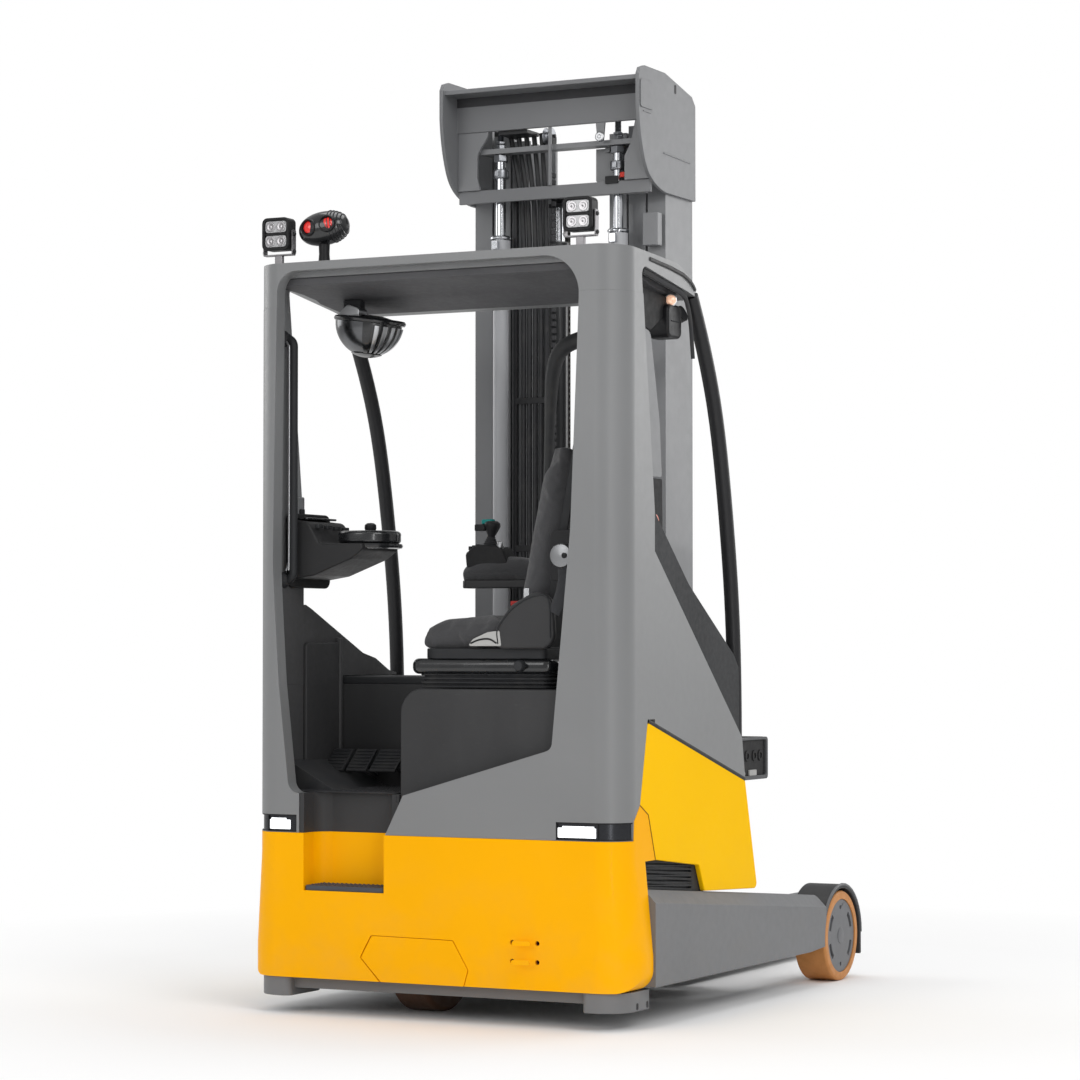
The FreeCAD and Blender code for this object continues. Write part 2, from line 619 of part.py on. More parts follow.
def rear_cover():
    """Wrap-round rear cover with the step pocket, the flap's recess and tow holes."""
    flare = Part.makeLoft([flared_plan(COVER_FLARE, FLARE_BOTTOM), flared_plan(0.0, FLARE_TOP)], True,
                          True)
    low = Part.Face(flared_plan(COVER_FLARE, COVER_BOTTOM)).extrude(Vector(0, 0,
                                                                           FLARE_BOTTOM - COVER_BOTTOM))
    high = Part.Face(flared_plan(0.0, FLARE_TOP)).extrude(Vector(0, 0, COVER_TOP - FLARE_TOP))
    side = HALF + COVER_FLARE
    rounded = plate_y([(-side, COVER_BOTTOM, COVER_FOOT_R), (side, COVER_BOTTOM, COVER_FOOT_R),
                       (side, COVER_TOP), (-side, COVER_TOP)], -1.0, COVER_BACK + 1.0)
    body = low.fuse([flare, high]).common(rounded)
    hollow = plate_z(body_plan(COVER_SKIN, COVER_BACK + 1.0), COVER_BOTTOM - 1.0, COVER_TOP + 1.0)
    floor = STEP_TREAD - TREAD_THICK
    block = plate_z(pocket_plan(POCKET_WALL, 4.0), floor - POCKET_WALL, COVER_TOP)
    shell = body.cut(hollow).fuse([block, cover_ears()])
    cuts = [plate_z(pocket_plan(0.0, -2.0), floor, COVER_TOP + 1.0),
            plate_y(FLAP, -1.0, FLAP_THICK + SEAT_GAP)]
    for sx in (-0.5, 0.5):
        for sz in (-0.5, 0.5):
            cuts.append(rod(Y_AXIS, (TOW_X + sx * TOW_PITCH_X, -1.0, TOW_Z + sz * TOW_PITCH_Z),
                            TOW_HOLE_R, COVER_SKIN + 2.0))
    return shell.cut(cuts).removeSplitter()


def service_flap():
    """Screwed flap over the drive wheel, set in the rear cover with a fine groove."""
    middle_x = sum(p[0] for p in FLAP) / len(FLAP)
    middle_z = sum(p[1] for p in FLAP) / len(FLAP)
    points = []
    for p in FLAP:
        away = Vector(p[0] - middle_x, p[1] - middle_z, 0)
        share = 1.0 - FLAP_GROOVE / away.Length
        points.append((middle_x + away.x * share, middle_z + away.y * share, 6.0))
    return plate_y(points, 0.0, FLAP_THICK)


def step_tread():
    """Rubber tread plate on the floor of the step pocket."""
    plan = pocket_plan(-2.0, 3.0)
    return plate_z([(*plan[0], 10.0), (*plan[1], 10.0), plan[2], plan[3]], STEP_TREAD - TREAD_THICK,
                   STEP_TREAD)


NOTCH = [(560.0, 354.0, 10.0), (520.0, 432.0, 12.0)]


def side_cover():
    """Flat cover over the battery bay's end, notched over the cooling grille."""
    joint = [(y + SEAM, z + SEAM) for y, z in reversed(SEAM_LINE)]
    points = [(170.0, 855.0, 14.0), (BODY_FRONT, 667.0, 18.0), (951.0, 336.0, 16.0)] + NOTCH + joint
    return plate_x(points, HALF - SIDE_SKIN, HALF)


GRILLE_THICK = 14.0
GRILLE_SLOTS = 5
GRILLE_LAP = 26.0             # the grille reaches this far behind the side cover


def cooling_grille():
    """Dark louvred panel on the arm, behind the notch of the side cover."""
    outer = HALF - SIDE_SKIN - SEAT_GAP
    rear = COVER_BACK + 8.0
    front = NOTCH[0][0] + GRILLE_LAP
    points = [(rear, arm_top(rear) + SEAT_GAP), (rear, FLARE_TOP + GRILLE_LAP),
              (NOTCH[1][0] + GRILLE_LAP, NOTCH[1][1] + GRILLE_LAP), (front, arm_top(front) + SEAT_GAP)]
    panel = plate_x(points, outer - GRILLE_THICK, outer)
    louvres = []
    for i in range(GRILLE_SLOTS):
        z = arm_top(rear) + 8.0 + i * 15.0
        louvres.append(plate_x([(rear + 18.0, z), (rear + 18.0, z + 7.0), (500.0, z - 22.0),
                                (500.0, z - 29.0)],
                               outer - GRILLE_THICK + 4.0, outer + 1.0))
    return panel.cut(louvres)


add("rear_cover", rear_cover())
add("service_flap", service_flap())
add("step_tread", step_tread())
add("side_covers", both(side_cover()))
add("cooling_grilles", both(cooling_grille()))


# ---------------------------------------------------------------- cab shell
DOORWAY = [(-472.0, SILL_HEIGHT, 36.0), (-91.0, SILL_HEIGHT, 14.0), (384.0, 778.0, 26.0),
           (443.0, 1392.0, 900.0), (470.0, GUARD_HEIGHT - 150.0), (472.0, DOOR_TOP, 112.0),
           (-516.0, DOOR_TOP, 62.0), (-526.0, 1600.0, 900.0), (-530.0, 1300.0, 900.0), (-508.0, 960.0)]


def pillar_front(z):
    """Station of the pillars' front edge at a height above the side panels."""
    rise = GUARD_HEIGHT - RAIL_LOW_REAR - PILLAR_BEND
    return SIDE_JOINT - (SIDE_JOINT - PILLAR_HEAD) * (z - PILLAR_BEND) / rise


def rear_wall():
    """Grey rear shell of the cab, up to the roof frame, with the doorway cut."""
    shell = body_shell(COVER_TOP + 2.0 * SEAM, ROOF_SPLIT, SIDE_JOINT, PILLAR_SKIN)
    doorway = plate_y(DOORWAY, -1.0, PILLAR_SKIN + 70.0)
    notch = plate_y([(STEP_LEFT - RISER_SKIN - 2.0, COVER_TOP), (STEP_RIGHT + 4.0, COVER_TOP),
                     (DOORWAY[1][0], SILL_HEIGHT + 1.0),
                     (STEP_LEFT - RISER_SKIN - 2.0, SILL_HEIGHT + 1.0)],
                    -1.0, PILLAR_SKIN + 60.0)
    rise = SEAM_LINE[0]
    low_side = plate_x([(LAMP_BACK, COVER_TOP), (LAMP_BACK + 4.0, 582.0), (rise[0] - 1.0, rise[1] + 2.0),
                        (168.0, 861.0), (SIDE_JOINT + 1.0, 861.0), (SIDE_JOINT + 1.0, COVER_TOP)],
                       -HALF - 1.0, HALF + 1.0)
    right = box(LAMP_IN_RIGHT, HALF + 1.0, -1.0, LAMP_BACK, LAMP_LOW, LAMP_HIGH)
    left = box(-HALF - 1.0, -LAMP_IN_LEFT, -1.0, LAMP_BACK, LAMP_LOW, LAMP_HIGH)
    slope = plate_x([(SIDE_JOINT, PILLAR_BEND), (pillar_front(ROOF_SPLIT + 1.0), ROOF_SPLIT + 1.0),
                     (SIDE_JOINT + 1.0, ROOF_SPLIT + 1.0), (SIDE_JOINT + 1.0, PILLAR_BEND)],
                    -HALF - 1.0, HALF + 1.0)
    return shell.cut([doorway, notch, low_side, slope, left, right])


wall = rear_wall()
add("rear_wall_right", wall.common(box(STEP_RIGHT, HALF + 1, -1, 400, 0, 3000)))
add("rear_wall_left", wall.common(box(-HALF - 1, STEP_LEFT, -1, 400, 0, 3000)))


def headlight(inner):
    """Corner headlight block that fills its pocket in the rear wall."""
    shell = body_shell(LAMP_LOW + SEAT_GAP, LAMP_HIGH - SEAT_GAP, COVER_BACK, LAMP_DEPTH)
    return shell.common(box(inner + SEAT_GAP, HALF + 1.0, -1.0, LAMP_BACK - SEAT_GAP, 0.0, 1000.0))


def foot_well():
    """Dark foot well: riser round the step recess, floor plate and the wall to the battery."""
    side = HALF - PILLAR_SKIN - 2.0
    rear = PILLAR_SKIN + SEAT_GAP
    wall_rear = CAB_WALL - CAB_WALL_THICK
    corner = BODY_CORNER_R - PILLAR_SKIN - 2.0
    riser = plate_z(pocket_plan(RISER_SKIN, 2.0), COVER_TOP + SEAT_GAP, SILL_HEIGHT)
    riser = riser.cut(box(STEP_RIGHT, STEP_RIGHT + 2.0 * RISER_SKIN, 0.0, rear, 0.0, SILL_HEIGHT))
    flank = box(STEP_RIGHT, SEAT_BOX_LEFT - 1.0, rear, rear + RISER_SKIN, COVER_TOP + SEAT_GAP,
                FLOOR_BOTTOM + 1.0)
    floor = plate_z([(-side, rear + 2.0, corner), (SEAT_BOX_LEFT - 1.0, rear + 2.0),
                     (SEAT_BOX_LEFT - 1.0, wall_rear),
                     (-side, wall_rear)], FLOOR_BOTTOM, SILL_HEIGHT)
    wall = box(-side, side, wall_rear, CAB_WALL, BRIDGE_TOP, BATTERY_TOP)
    recess = plate_z(pocket_plan(0.0, -1.0), COVER_TOP, SILL_HEIGHT + 1.0)
    return fuse(riser, flank, floor, wall).cut(recess)


add("headlights", Part.makeCompound([headlight(LAMP_IN_RIGHT), mirrored(headlight(LAMP_IN_LEFT))]))
add("foot_well", foot_well())


def seat_box():
    """Hollow box under the seat; its outer face closes the doorway's right side."""
    right = SEAT_BOX_RIGHT
    left = SEAT_BOX_LEFT
    low = FLOOR_BOTTOM + SEAT_GAP
    front = CAB_WALL - CAB_WALL_THICK - SEAT_GAP
    face = [(left, low), (right, low), (right, SEAT_BOX_TOP), (left, SEAT_BOX_TOP, 70.0)]
    solid = plate_y(face, SEAT_BOX_REAR, front)
    skin = 14.0
    hollow = plate_y([(left + skin, low - 1.0), (right - skin, low - 1.0),
                      (right - skin, SEAT_BOX_TOP - skin),
                      (left + skin, SEAT_BOX_TOP - skin, 60.0)], SEAT_BOX_REAR + skin, front - skin)
    return solid.cut(hollow)


add("seat_box", seat_box())


# station y and share of the post's height
POST_STATIONS = [(516.0, 1.0), (600.0, 0.8957), (680.0, 0.7682), (733.0, 0.6368), (772.0, 0.5),
                 (803.0, 0.3632), (824.0, 0.2117), (832.0, 0.0417), (832.5, 0.0)]


def front_post(radius=POST_R):
    """Curved round post from the roof corner down behind the front of the side panel."""
    rise = POST_HEAD - POST_FOOT
    return swept_tube([(POST_X, y, POST_FOOT + share * rise) for y, share in POST_STATIONS], radius)


def post_room():
    """Space that the front post takes out of the side panels."""
    return front_post(POST_R + SEAT_GAP)


def side_panel_right():
    """Grey side panel behind the pillar, below the dark window panel."""
    y0 = SIDE_JOINT
    points = [(y0, 846.0), (y0, 1336.0), (836.0, 794.0, 20.0), (BODY_FRONT, 670.0)]
    return plate_x(points, HALF - SIDE_SKIN, HALF)


def window_panel_right():
    """Dark panel under the side window, over the grey side panel."""
    y0 = SIDE_JOINT
    points = [(y0, 1339.0), (y0, 1452.0), (457.0, 1246.0), (784.0, 1040.0, 60.0), (834.0, 985.0),
              (834.0, 799.0)]
    return plate_x(points, HALF - SIDE_SKIN, HALF - 3.0)


def side_panel_left():
    """Left side wall of the foot well and battery bay, with a falling top edge."""
    y0 = SIDE_JOINT
    points = [(y0, 846.0), (y0, 1204.0, 20.0), (573.0, 1042.0, 120.0), (700.0, 988.0, 60.0),
              (840.0, 984.0), (BODY_FRONT, 670.0)]
    panel = plate_x(points, HALF - SIDE_SKIN, HALF)
    return mirrored(panel)


add("side_panels", Part.makeCompound([side_panel_right().cut(post_room()),
                                      side_panel_left().cut(mirrored(post_room()))]))
add("window_panel", window_panel_right().cut(post_room()))


# ---------------------------------------------------------------- roof
def roof_plan(inset):
    side = HALF - inset
    return [(-side, inset, BODY_CORNER_R - inset), (side, inset, BODY_CORNER_R - inset),
            (side - 4.0, ROOF_FRONT - inset, 44.0), (-side + 4.0, ROOF_FRONT - inset, 44.0)]


def roof_frame():
    """Roof frame: sloping top, deep rear header with the doorway's round corners."""
    block = plate_z(roof_plan(0.0), ROOF_SPLIT, GUARD_HEIGHT)
    side = [(-1.0, ROOF_SPLIT - 1), (-1.0, roof_top(-1.0)),
            (ROOF_BEND, roof_top(ROOF_BEND), 220.0), (ROOF_FRONT + 1.0, GUARD_HEIGHT - ROOF_NOSE_DROP),
            (ROOF_FRONT + 1.0, GUARD_HEIGHT - RAIL_LOW_FRONT), (ROOF_FRONT - 76.0, GUARD_HEIGHT - 96.0),
            (PILLAR_HEAD, GUARD_HEIGHT - RAIL_LOW_REAR, 26.0),
            (pillar_front(ROOF_SPLIT - 1.0), ROOF_SPLIT - 1)]
    profile = plate_x(side, -HALF - 1, HALF + 1)
    frame = block.common(profile)
    doorway = plate_y(DOORWAY, -1.0, PILLAR_SKIN + 1.0)
    inner_side = HALF - PILLAR_SKIN
    cavity = box(-inner_side, inner_side, PILLAR_SKIN, ROOF_FRONT - ROOF_RAIL, ROOF_SPLIT - 1,
                 GUARD_HEIGHT + 1)
    return frame.cut([doorway, cavity])


def roof_panel():
    """Closed roof skin inside the frame."""
    side = HALF - PILLAR_SKIN
    y0 = PILLAR_SKIN
    y1 = ROOF_FRONT - ROOF_RAIL
    share = (y1 - ROOF_BEND) / (ROOF_FRONT + 1.0 - ROOF_BEND)
    nose = roof_top(ROOF_BEND) * (1.0 - share) + (GUARD_HEIGHT - ROOF_NOSE_DROP) * share
    points = [(y0, GUARD_HEIGHT - 40.0), (y0, roof_top(y0) - ROOF_PANEL_DROP),
              (ROOF_BEND, roof_top(ROOF_BEND) - ROOF_PANEL_DROP, 220.0), (y1, nose - ROOF_PANEL_DROP),
              (y1, GUARD_HEIGHT - 86.0)]
    return plate_x(points, -side, side)


def roof_liner():
    """Dark stepped liner under the roof skin."""
    side = HALF - PILLAR_SKIN - 6.0
    y0 = PILLAR_SKIN + 6.0
    y1 = ROOF_FRONT - ROOF_RAIL - 6.0
    mid = (y0 + y1) / 2.0
    steps = [(y0, 41.0), (y1, 87.0), (y1, 110.0), (y1 - 40.0, 106.0), (mid + 40.0, 90.0),
             (mid + 20.0, 82.0), (mid - 60.0, 72.0), (y0, 62.0)]
    return plate_x([(y, GUARD_HEIGHT - drop) for y, drop in steps], -side, side)


add("roof", fuse(roof_frame(), roof_panel()).cut(both(post_room())))
add("roof_liner", roof_liner())
add("front_posts", both(front_post()))


# ---------------------------------------------------------------- cab fittings
def seat_suspension():
    """Bellows under the seat pan, as stacked rounded layers."""
    layers = []
    levels = ((SEAT_BOX_TOP, 0.0, 30.0), (SEAT_BOX_TOP + 30.0, 26.0, 10.0),
              (SEAT_BOX_TOP + 40.0, -14.0, 46.0))
    for z, grow, height in levels:
        x0, x1 = -88.0 - grow, 330.0 + grow / 2
        y0, y1 = 88.0 - grow / 2, 408.0 + grow / 2
        layer = plate_z([(x0, y0, 40.0), (x1, y0, 40.0), (x1, y1, 40.0), (x0, y1, 40.0)], z, z + height)
        layers.append(layer)
    return fuse(layers[0], *layers[1:])


SEAT_PAN = SEAT_BOX_TOP + 86.0
SEAT_Y0 = 62.0
SEAT_Y1 = 436.0
SEAT_TIP = -108.0
SEAT_BACK = 262.0
BACK_TOP = 1640.0
BACK_LEAN = 0.185             # backrest lean, sideways per unit of height


def back_x(z):
    """Place of the backrest's rear face at a height."""
    return SEAT_BACK + 22.0 + BACK_LEAN * (z - SEAT_PAN - 30.0)


def seat_pan():
    pan = plate_z([(SEAT_TIP + 26.0, SEAT_Y0 + 20, 60.0), (SEAT_BACK + 60.0, SEAT_Y0 + 20, 20.0),
                   (SEAT_BACK + 60.0, SEAT_Y1 - 20, 20.0), (SEAT_TIP + 26.0, SEAT_Y1 - 20, 60.0)],
                  SEAT_PAN, SEAT_PAN + 30.0)
    low = SEAT_PAN + 30.0
    upright = plate_y([(back_x(low), low), (back_x(low) + 34.0, low),
                       (back_x(BACK_TOP) + 24.0, BACK_TOP, 8.0),
                       (back_x(BACK_TOP), BACK_TOP)],
                      SEAT_Y0 + 60.0, SEAT_Y1 - 60.0)
    return fuse(pan, upright)


def seat_cushion():
    side = [(SEAT_TIP, SEAT_PAN + 30.0 + SEAT_GAP, 26.0), (SEAT_TIP, SEAT_PAN + 96.0, 32.0),
            (SEAT_BACK - 72.0, SEAT_PAN + 118.0, 20.0), (SEAT_BACK - 72.0, SEAT_PAN + 30.0 + SEAT_GAP)]
    return plate_y(side, SEAT_Y0, SEAT_Y1)


def seat_backrest():
    """Backrest pad in front of the seat's upright."""
    low = SEAT_PAN + 60.0
    top = BACK_TOP + 14.0
    side = [(back_x(low) - 82.0, low, 30.0), (back_x(top) - 84.0, top, 36.0),
            (back_x(top) - SEAT_GAP, top, 18.0), (back_x(low) - SEAT_GAP, low, 10.0)]
    return plate_y(side, SEAT_Y0 + 10.0, SEAT_Y1 - 10.0)


ARMREST_TIP = -150.0
ARMREST_TOP = 1304.0
LEVER_X = -72.0


def armrest():
    """Right armrest pad on its swing bracket, at the mast side of the seat."""
    y0, y1 = SEAT_Y1 + 8.0, SEAT_Y1 + 88.0
    pad = plate_y([(ARMREST_TIP, 1246.0, 20.0), (ARMREST_TIP, ARMREST_TOP, 26.0), (120.0, 1296.0, 20.0),
                   (120.0, 1252.0, 10.0)], y0, y1)
    stay = plate_y([(60.0, 1258.0), (100.0, 1258.0), (250.0, SEAT_PAN + 6.0), (200.0, SEAT_PAN + 6.0)],
                   y0 + 2.0, y0 + 26.0)
    arm = box(200.0, 250.0, SEAT_Y1 - 20.0, y0 + 26.0, SEAT_PAN + 2.0, SEAT_PAN + 28.0)
    return fuse(pad, stay, arm)


def joystick_console():
    """Control console on the armrest with its lever."""
    y0, y1 = SEAT_Y1 + 12.0, SEAT_Y1 + 84.0
    middle = (y0 + y1) / 2.0
    base = plate_y([(LEVER_X - 60.0, ARMREST_TOP), (LEVER_X - 64.0, 1356.0, 12.0),
                    (LEVER_X + 72.0, 1366.0, 12.0),
                    (LEVER_X + 90.0, ARMREST_TOP)], y0, y1)
    lever = rod(Z_AXIS, (LEVER_X, middle, 1340.0), 15.0, 92.0)
    cap = rod(Z_AXIS, (LEVER_X, middle, 1410.0), 26.0, 26.0)
    return fuse(base, lever, cap)


WHEEL_CENTRE = Vector(-338.0, 236.0, 1388.0)
STEER_R = 94.0
CONSOLE_END = -300.0
CONSOLE_TOP = 1370.0
CONSOLE_REAR = 128.0
CONSOLE_WIDTH = 214.0


def steering_console():
    """Arm from the left pillar that carries the steering wheel and the display."""
    inner = -(HALF - PILLAR_SKIN)
    side = [(inner, 1262.0, 8.0), (inner + 90.0, 1276.0, 30.0), (CONSOLE_END - 40.0, 1324.0, 30.0),
            (CONSOLE_END, 1352.0, 12.0), (CONSOLE_END - 4.0, CONSOLE_TOP, 6.0),
            (-448.0, CONSOLE_TOP, 16.0),
            (-488.0, 1436.0, 26.0), (inner, 1444.0, 8.0)]
    return plate_y(side, CONSOLE_REAR, CONSOLE_REAR + CONSOLE_WIDTH)


def steering_wheel():
    """Small solid steering wheel with a spinner knob."""
    x, y, z = WHEEL_CENTRE
    rim = Part.makeTorus(STEER_R - 16.0, 16.0, WHEEL_CENTRE, Z_AXIS)
    disc = rod(Z_AXIS, (x, y, z - 10.0), STEER_R - 16.0, 16.0)
    stem = rod(Z_AXIS, (x, y, STEM_LOW), 26.0, z - STEM_LOW)
    knob = rod(Z_AXIS, (x - 30.0, y + 56.0, z), 15.0, 46.0)
    return fuse(rim, disc, stem, knob)


STEM_LOW = CONSOLE_TOP + SEAT_GAP


MIRROR_CENTRE = (-376.0, 300.0, GUARD_HEIGHT - 146.0)
MIRROR_R = 104.0
MIRROR_DEPTH = 62.0


def mirror_pod():
    """Panoramic mirror hung under the roof at the left front."""
    x, y, z = MIRROR_CENTRE
    bowl = Part.makeSphere(MIRROR_R, Vector(x, y, z))
    keep = box(x - 120.0, x + 140.0, y - 120.0, y + 120.0, z - 114.0, z + 18.0)
    face = box(x - 120.0, x + 140.0, y + MIRROR_DEPTH, y + 140.0, z - 144.0, z + 56.0)
    stem = box(x - 26.0, x + 26.0, y - 20.0, y + 20.0, z + 6.0, z + 62.0)
    return fuse(bowl.common(keep).cut(face), stem).cut(roof_liner())


HANDLE_LOW = 1262.0
HANDLE_HIGH = GUARD_HEIGHT - 212.0


def grab_handle():
    """Long handle inside the left pillar."""
    root = -(HALF - PILLAR_SKIN)
    x = root + 34.0
    y = BODY_CORNER_R + 14.0
    points = [(root, y, HANDLE_LOW), (x, y, HANDLE_LOW), (x, y, HANDLE_HIGH), (root, y, HANDLE_HIGH)]
    return bent_tube(points, 13.0, 24.0)


WORK_LIGHT_RISE = 44.0
WORK_LIGHT_HEIGHT = 96.0


def work_light(x):
    """Square double lamp on a short bracket on the roof's rear edge."""
    y = 58.0
    base = roof_top(y - 14.0)
    low = GUARD_HEIGHT + WORK_LIGHT_RISE
    lamp = box(x - 46.0, x + 46.0, y - 26.0, y + 20.0, low, low + WORK_LIGHT_HEIGHT)
    lamp = lamp.makeFillet(12.0, [e for e in lamp.Edges if e.BoundBox.YLength > 20.0])
    bracket = box(x - 16.0, x + 16.0, y - 14.0, y + 14.0, base, low + 0.5)
    return fuse(lamp, bracket)


WARNING_RISE = 104.0


def warning_light():
    """Oval safety light on a neck, with a foot on the roof."""
    x, y = -398.0, 70.0
    head = Part.makeSphere(58.0)
    stretch = FreeCAD.Matrix()
    stretch.scale(78.0 / 58.0, 0.86, 0.86)
    head = head.transformGeometry(stretch)
    middle = GUARD_HEIGHT + WARNING_RISE
    head.translate(Vector(x, y, middle))
    base = roof_top(y - 16.0) - ROOF_PANEL_DROP
    neck = rod(Z_AXIS, (x, y, base), 16.0, middle - base)
    return fuse(head, neck)


MONITOR_DROP = 232.0
MONITOR_HEIGHT = 104.0


def monitor():
    """Dark display housing hung inside the right window."""
    low = GUARD_HEIGHT - MONITOR_DROP
    housing = box(500.0, 560.0, 372.0, 470.0, low, low + MONITOR_HEIGHT)
    housing = housing.makeFillet(10.0, housing.Edges)
    stem = box(520.0, 545.0, 405.0, 440.0, low + MONITOR_HEIGHT - 7.0, low + MONITOR_HEIGHT + 33.0)
    return fuse(housing, stem).cut(roof_liner())


def charging_socket():
    """Dark housing of the battery plug, at the right front of the body."""
    x0, x1 = 440.0, HALF - SIDE_SKIN - 2.0
    return box(x0, x1, BATTERY_FRONT + SEAT_GAP, 1078.0, 664.0, 790.0)


PEDAL_REAR = 120.0


def pedals():
    """Wedge plate in the foot well that carries the three pedals."""
    wedge = plate_y([(-548.0, SILL_HEIGHT), (-548.0, 730.0), (-380.0, SILL_HEIGHT)],
                    PEDAL_REAR, CAB_WALL - CAB_WALL_THICK - SEAT_GAP)
    return wedge


add("seat_suspension", seat_suspension())
add("seat_pan", seat_pan())
add("seat_cushion", seat_cushion())
add("seat_backrest", seat_backrest())
add("armrest", armrest())
add("joystick_console", joystick_console())
add("steering_console", steering_console())
add("steering_wheel", steering_wheel())
add("panoramic_mirror", mirror_pod())
add("grab_handle", grab_handle())
add("work_lights", Part.makeCompound([work_light(449.0), work_light(-544.0)]))
add("warning_light", warning_light())
add("monitor", monitor())
add("charging_socket", charging_socket())
add("pedals", pedals())


# ---------------------------------------------------------------- mast
def channel_pair(x_out, flange, z0, z1, web_at):
    """Two mirrored mast rails; web_at sets the web's distance in from x_out."""
    x_in = x_out - flange
    rear = box(x_in, x_out, MAST_REAR, MAST_REAR + MAST_SKIN, z0, z1)
    front = box(x_in, x_out, MAST_FRONT - MAST_SKIN, MAST_FRONT, z0, z1)
    web = box(x_out - web_at - MAST_WEB, x_out - web_at, MAST_REAR, MAST_FRONT, z0, z1)
    return fuse(rear, front, web)


MIDDLE_OUT = MAST_HALF_WIDTH - OUTER_FLANGE - STAGE_GAP
INNER_OUT = MIDDLE_OUT - MIDDLE_FLANGE - STAGE_GAP
INNER_IN = INNER_OUT - INNER_FLANGE
RAIL_LOW_MIDDLE = 100.0
RAIL_LOW_INNER = 110.0


def outer_rail():
    rail = channel_pair(MAST_HALF_WIDTH, OUTER_FLANGE, MAST_BOTTOM, RAIL_TOP, 0.0)
    boss = rod(X_AXIS, (MAST_HALF_WIDTH, PIVOT_Y, PIVOT_Z), 52.0, BOSS_WIDTH)
    hole = rod(X_AXIS, (MAST_HALF_WIDTH + 2.0, PIVOT_Y, PIVOT_Z), PIVOT_R + SEAT_GAP, BOSS_WIDTH + 1.0)
    lug = plate_x([(TILT_EYE_Y - 26.0, TILT_EYE_Z - 30.0, 10.0), (TILT_EYE_Y + 60.0, TILT_EYE_Z - 60.0),
                   (TILT_EYE_Y + 60.0, TILT_EYE_Z + 60.0), (TILT_EYE_Y - 26.0, TILT_EYE_Z + 30.0, 10.0)],
                  MAST_HALF_WIDTH, MAST_HALF_WIDTH + 14.0)
    pin = rod(X_AXIS, (MAST_HALF_WIDTH + 13.0, TILT_EYE_Y, TILT_EYE_Z), TILT_PIN_R,
              TILT_X + TILT_EYE_WIDTH / 2.0 + 6.0 - MAST_HALF_WIDTH - 13.0)
    return fuse(rail, boss, lug, pin).cut(hole)


def outer_mast():
    """Outer rails and the low brace behind them, one weldment."""
    low, high = BRACE_LOW, BRACE_LOW + 64.0
    brace = box(-MAST_HALF_WIDTH, MAST_HALF_WIDTH, MAST_REAR - 30.0, MAST_REAR - RUN_GAP, low, high)
    pad = box(MAST_HALF_WIDTH - OUTER_FLANGE, MAST_HALF_WIDTH, MAST_REAR - RUN_GAP, MAST_REAR, low, high)
    return fuse(outer_rail(), mirrored(outer_rail()), brace, pad, mirrored(pad))


BRACE_LOW = 372.0
BOSS_WIDTH = 24.0
TILT_X = 372.0
TILT_FOOT_Y = 856.0
TILT_FOOT_Z = 376.0
TILT_EYE_Y = 905.0
TILT_EYE_Z = 640.0
TILT_PIN_R = 13.0
TILT_EYE_R = 24.0
TILT_EYE_WIDTH = 24.0


CHEEK_LOW = 2452.0            # lower end of the cheek plates
HEAD_BEAM_REAR = 764.0
HEAD_BEAM_LOW = 2667.0
HEAD_SHELF_LOW = 2776.0
HEAD_PLATE_THICK = 14.0


def head_plate():
    """Curved cheek plate that carries the head beams behind the outer rails."""
    rear = HEAD_REAR - 22.0
    start = Vector(0, MAST_REAR, CHEEK_LOW)
    curve = Part.BSplineCurve()
    curve.interpolate([start, Vector(0, rear + 132.0, CHEEK_LOW + 14.0),
                       Vector(0, rear + 60.0, CHEEK_LOW + 58.0),
                       Vector(0, rear + 30.0, CHEEK_LOW + 112.0),
                       Vector(0, rear + 8.0, CHEEK_LOW + 188.0),
                       Vector(0, rear, CHEEK_LOW + 248.0)])
    top = [Vector(0, rear, CHEEK_LOW + 248.0), Vector(0, rear, MAST_HEIGHT - 30.0),
           Vector(0, rear + 12.0, MAST_HEIGHT - 10.0), Vector(0, rear + 44.0, MAST_HEIGHT),
           Vector(0, rear + 190.0, MAST_HEIGHT), Vector(0, MAST_FRONT - 26.0, MAST_HEIGHT - 44.0),
           Vector(0, MAST_FRONT, MAST_HEIGHT - 70.0), Vector(0, MAST_FRONT, CHEEK_LOW), start]
    edges = [curve.toShape()]
    for a, b in zip(top, top[1:]):
        edges.append(Part.LineSegment(a, b).toShape())
    plate = Part.Face(Part.Wire(edges)).extrude(Vector(HEAD_SKIN, 0, 0))
    plate.translate(Vector(MAST_HALF_WIDTH, 0, 0))
    return plate


def mast_head():
    """Head frame: two cheek plates and the two rear beams between them."""
    cheek = head_plate()
    inner = MAST_HALF_WIDTH
    beam_front = HEAD_BEAM_REAR + HEAD_PLATE_THICK
    top = box(-inner, inner, HEAD_BEAM_REAR, beam_front, HEAD_BEAM_LOW, HEAD_SHELF_LOW + HEAD_PLATE_THICK)
    shelf = box(-inner, inner, HEAD_REAR - 10.0, beam_front, HEAD_SHELF_LOW,
                HEAD_SHELF_LOW + HEAD_PLATE_THICK)
    low = box(-inner, inner, 776.0, 788.0, 2446.0, 2486.0)
    cap = box(MAST_HALF_WIDTH - OUTER_FLANGE, MAST_HALF_WIDTH, MAST_REAR, MAST_FRONT, RAIL_TOP,
              RAIL_TOP + 12.0)
    return fuse(cheek, mirrored(cheek), top, shelf, low, cap, mirrored(cap))


add("outer_mast", outer_mast())
add("mast_head", mast_head())


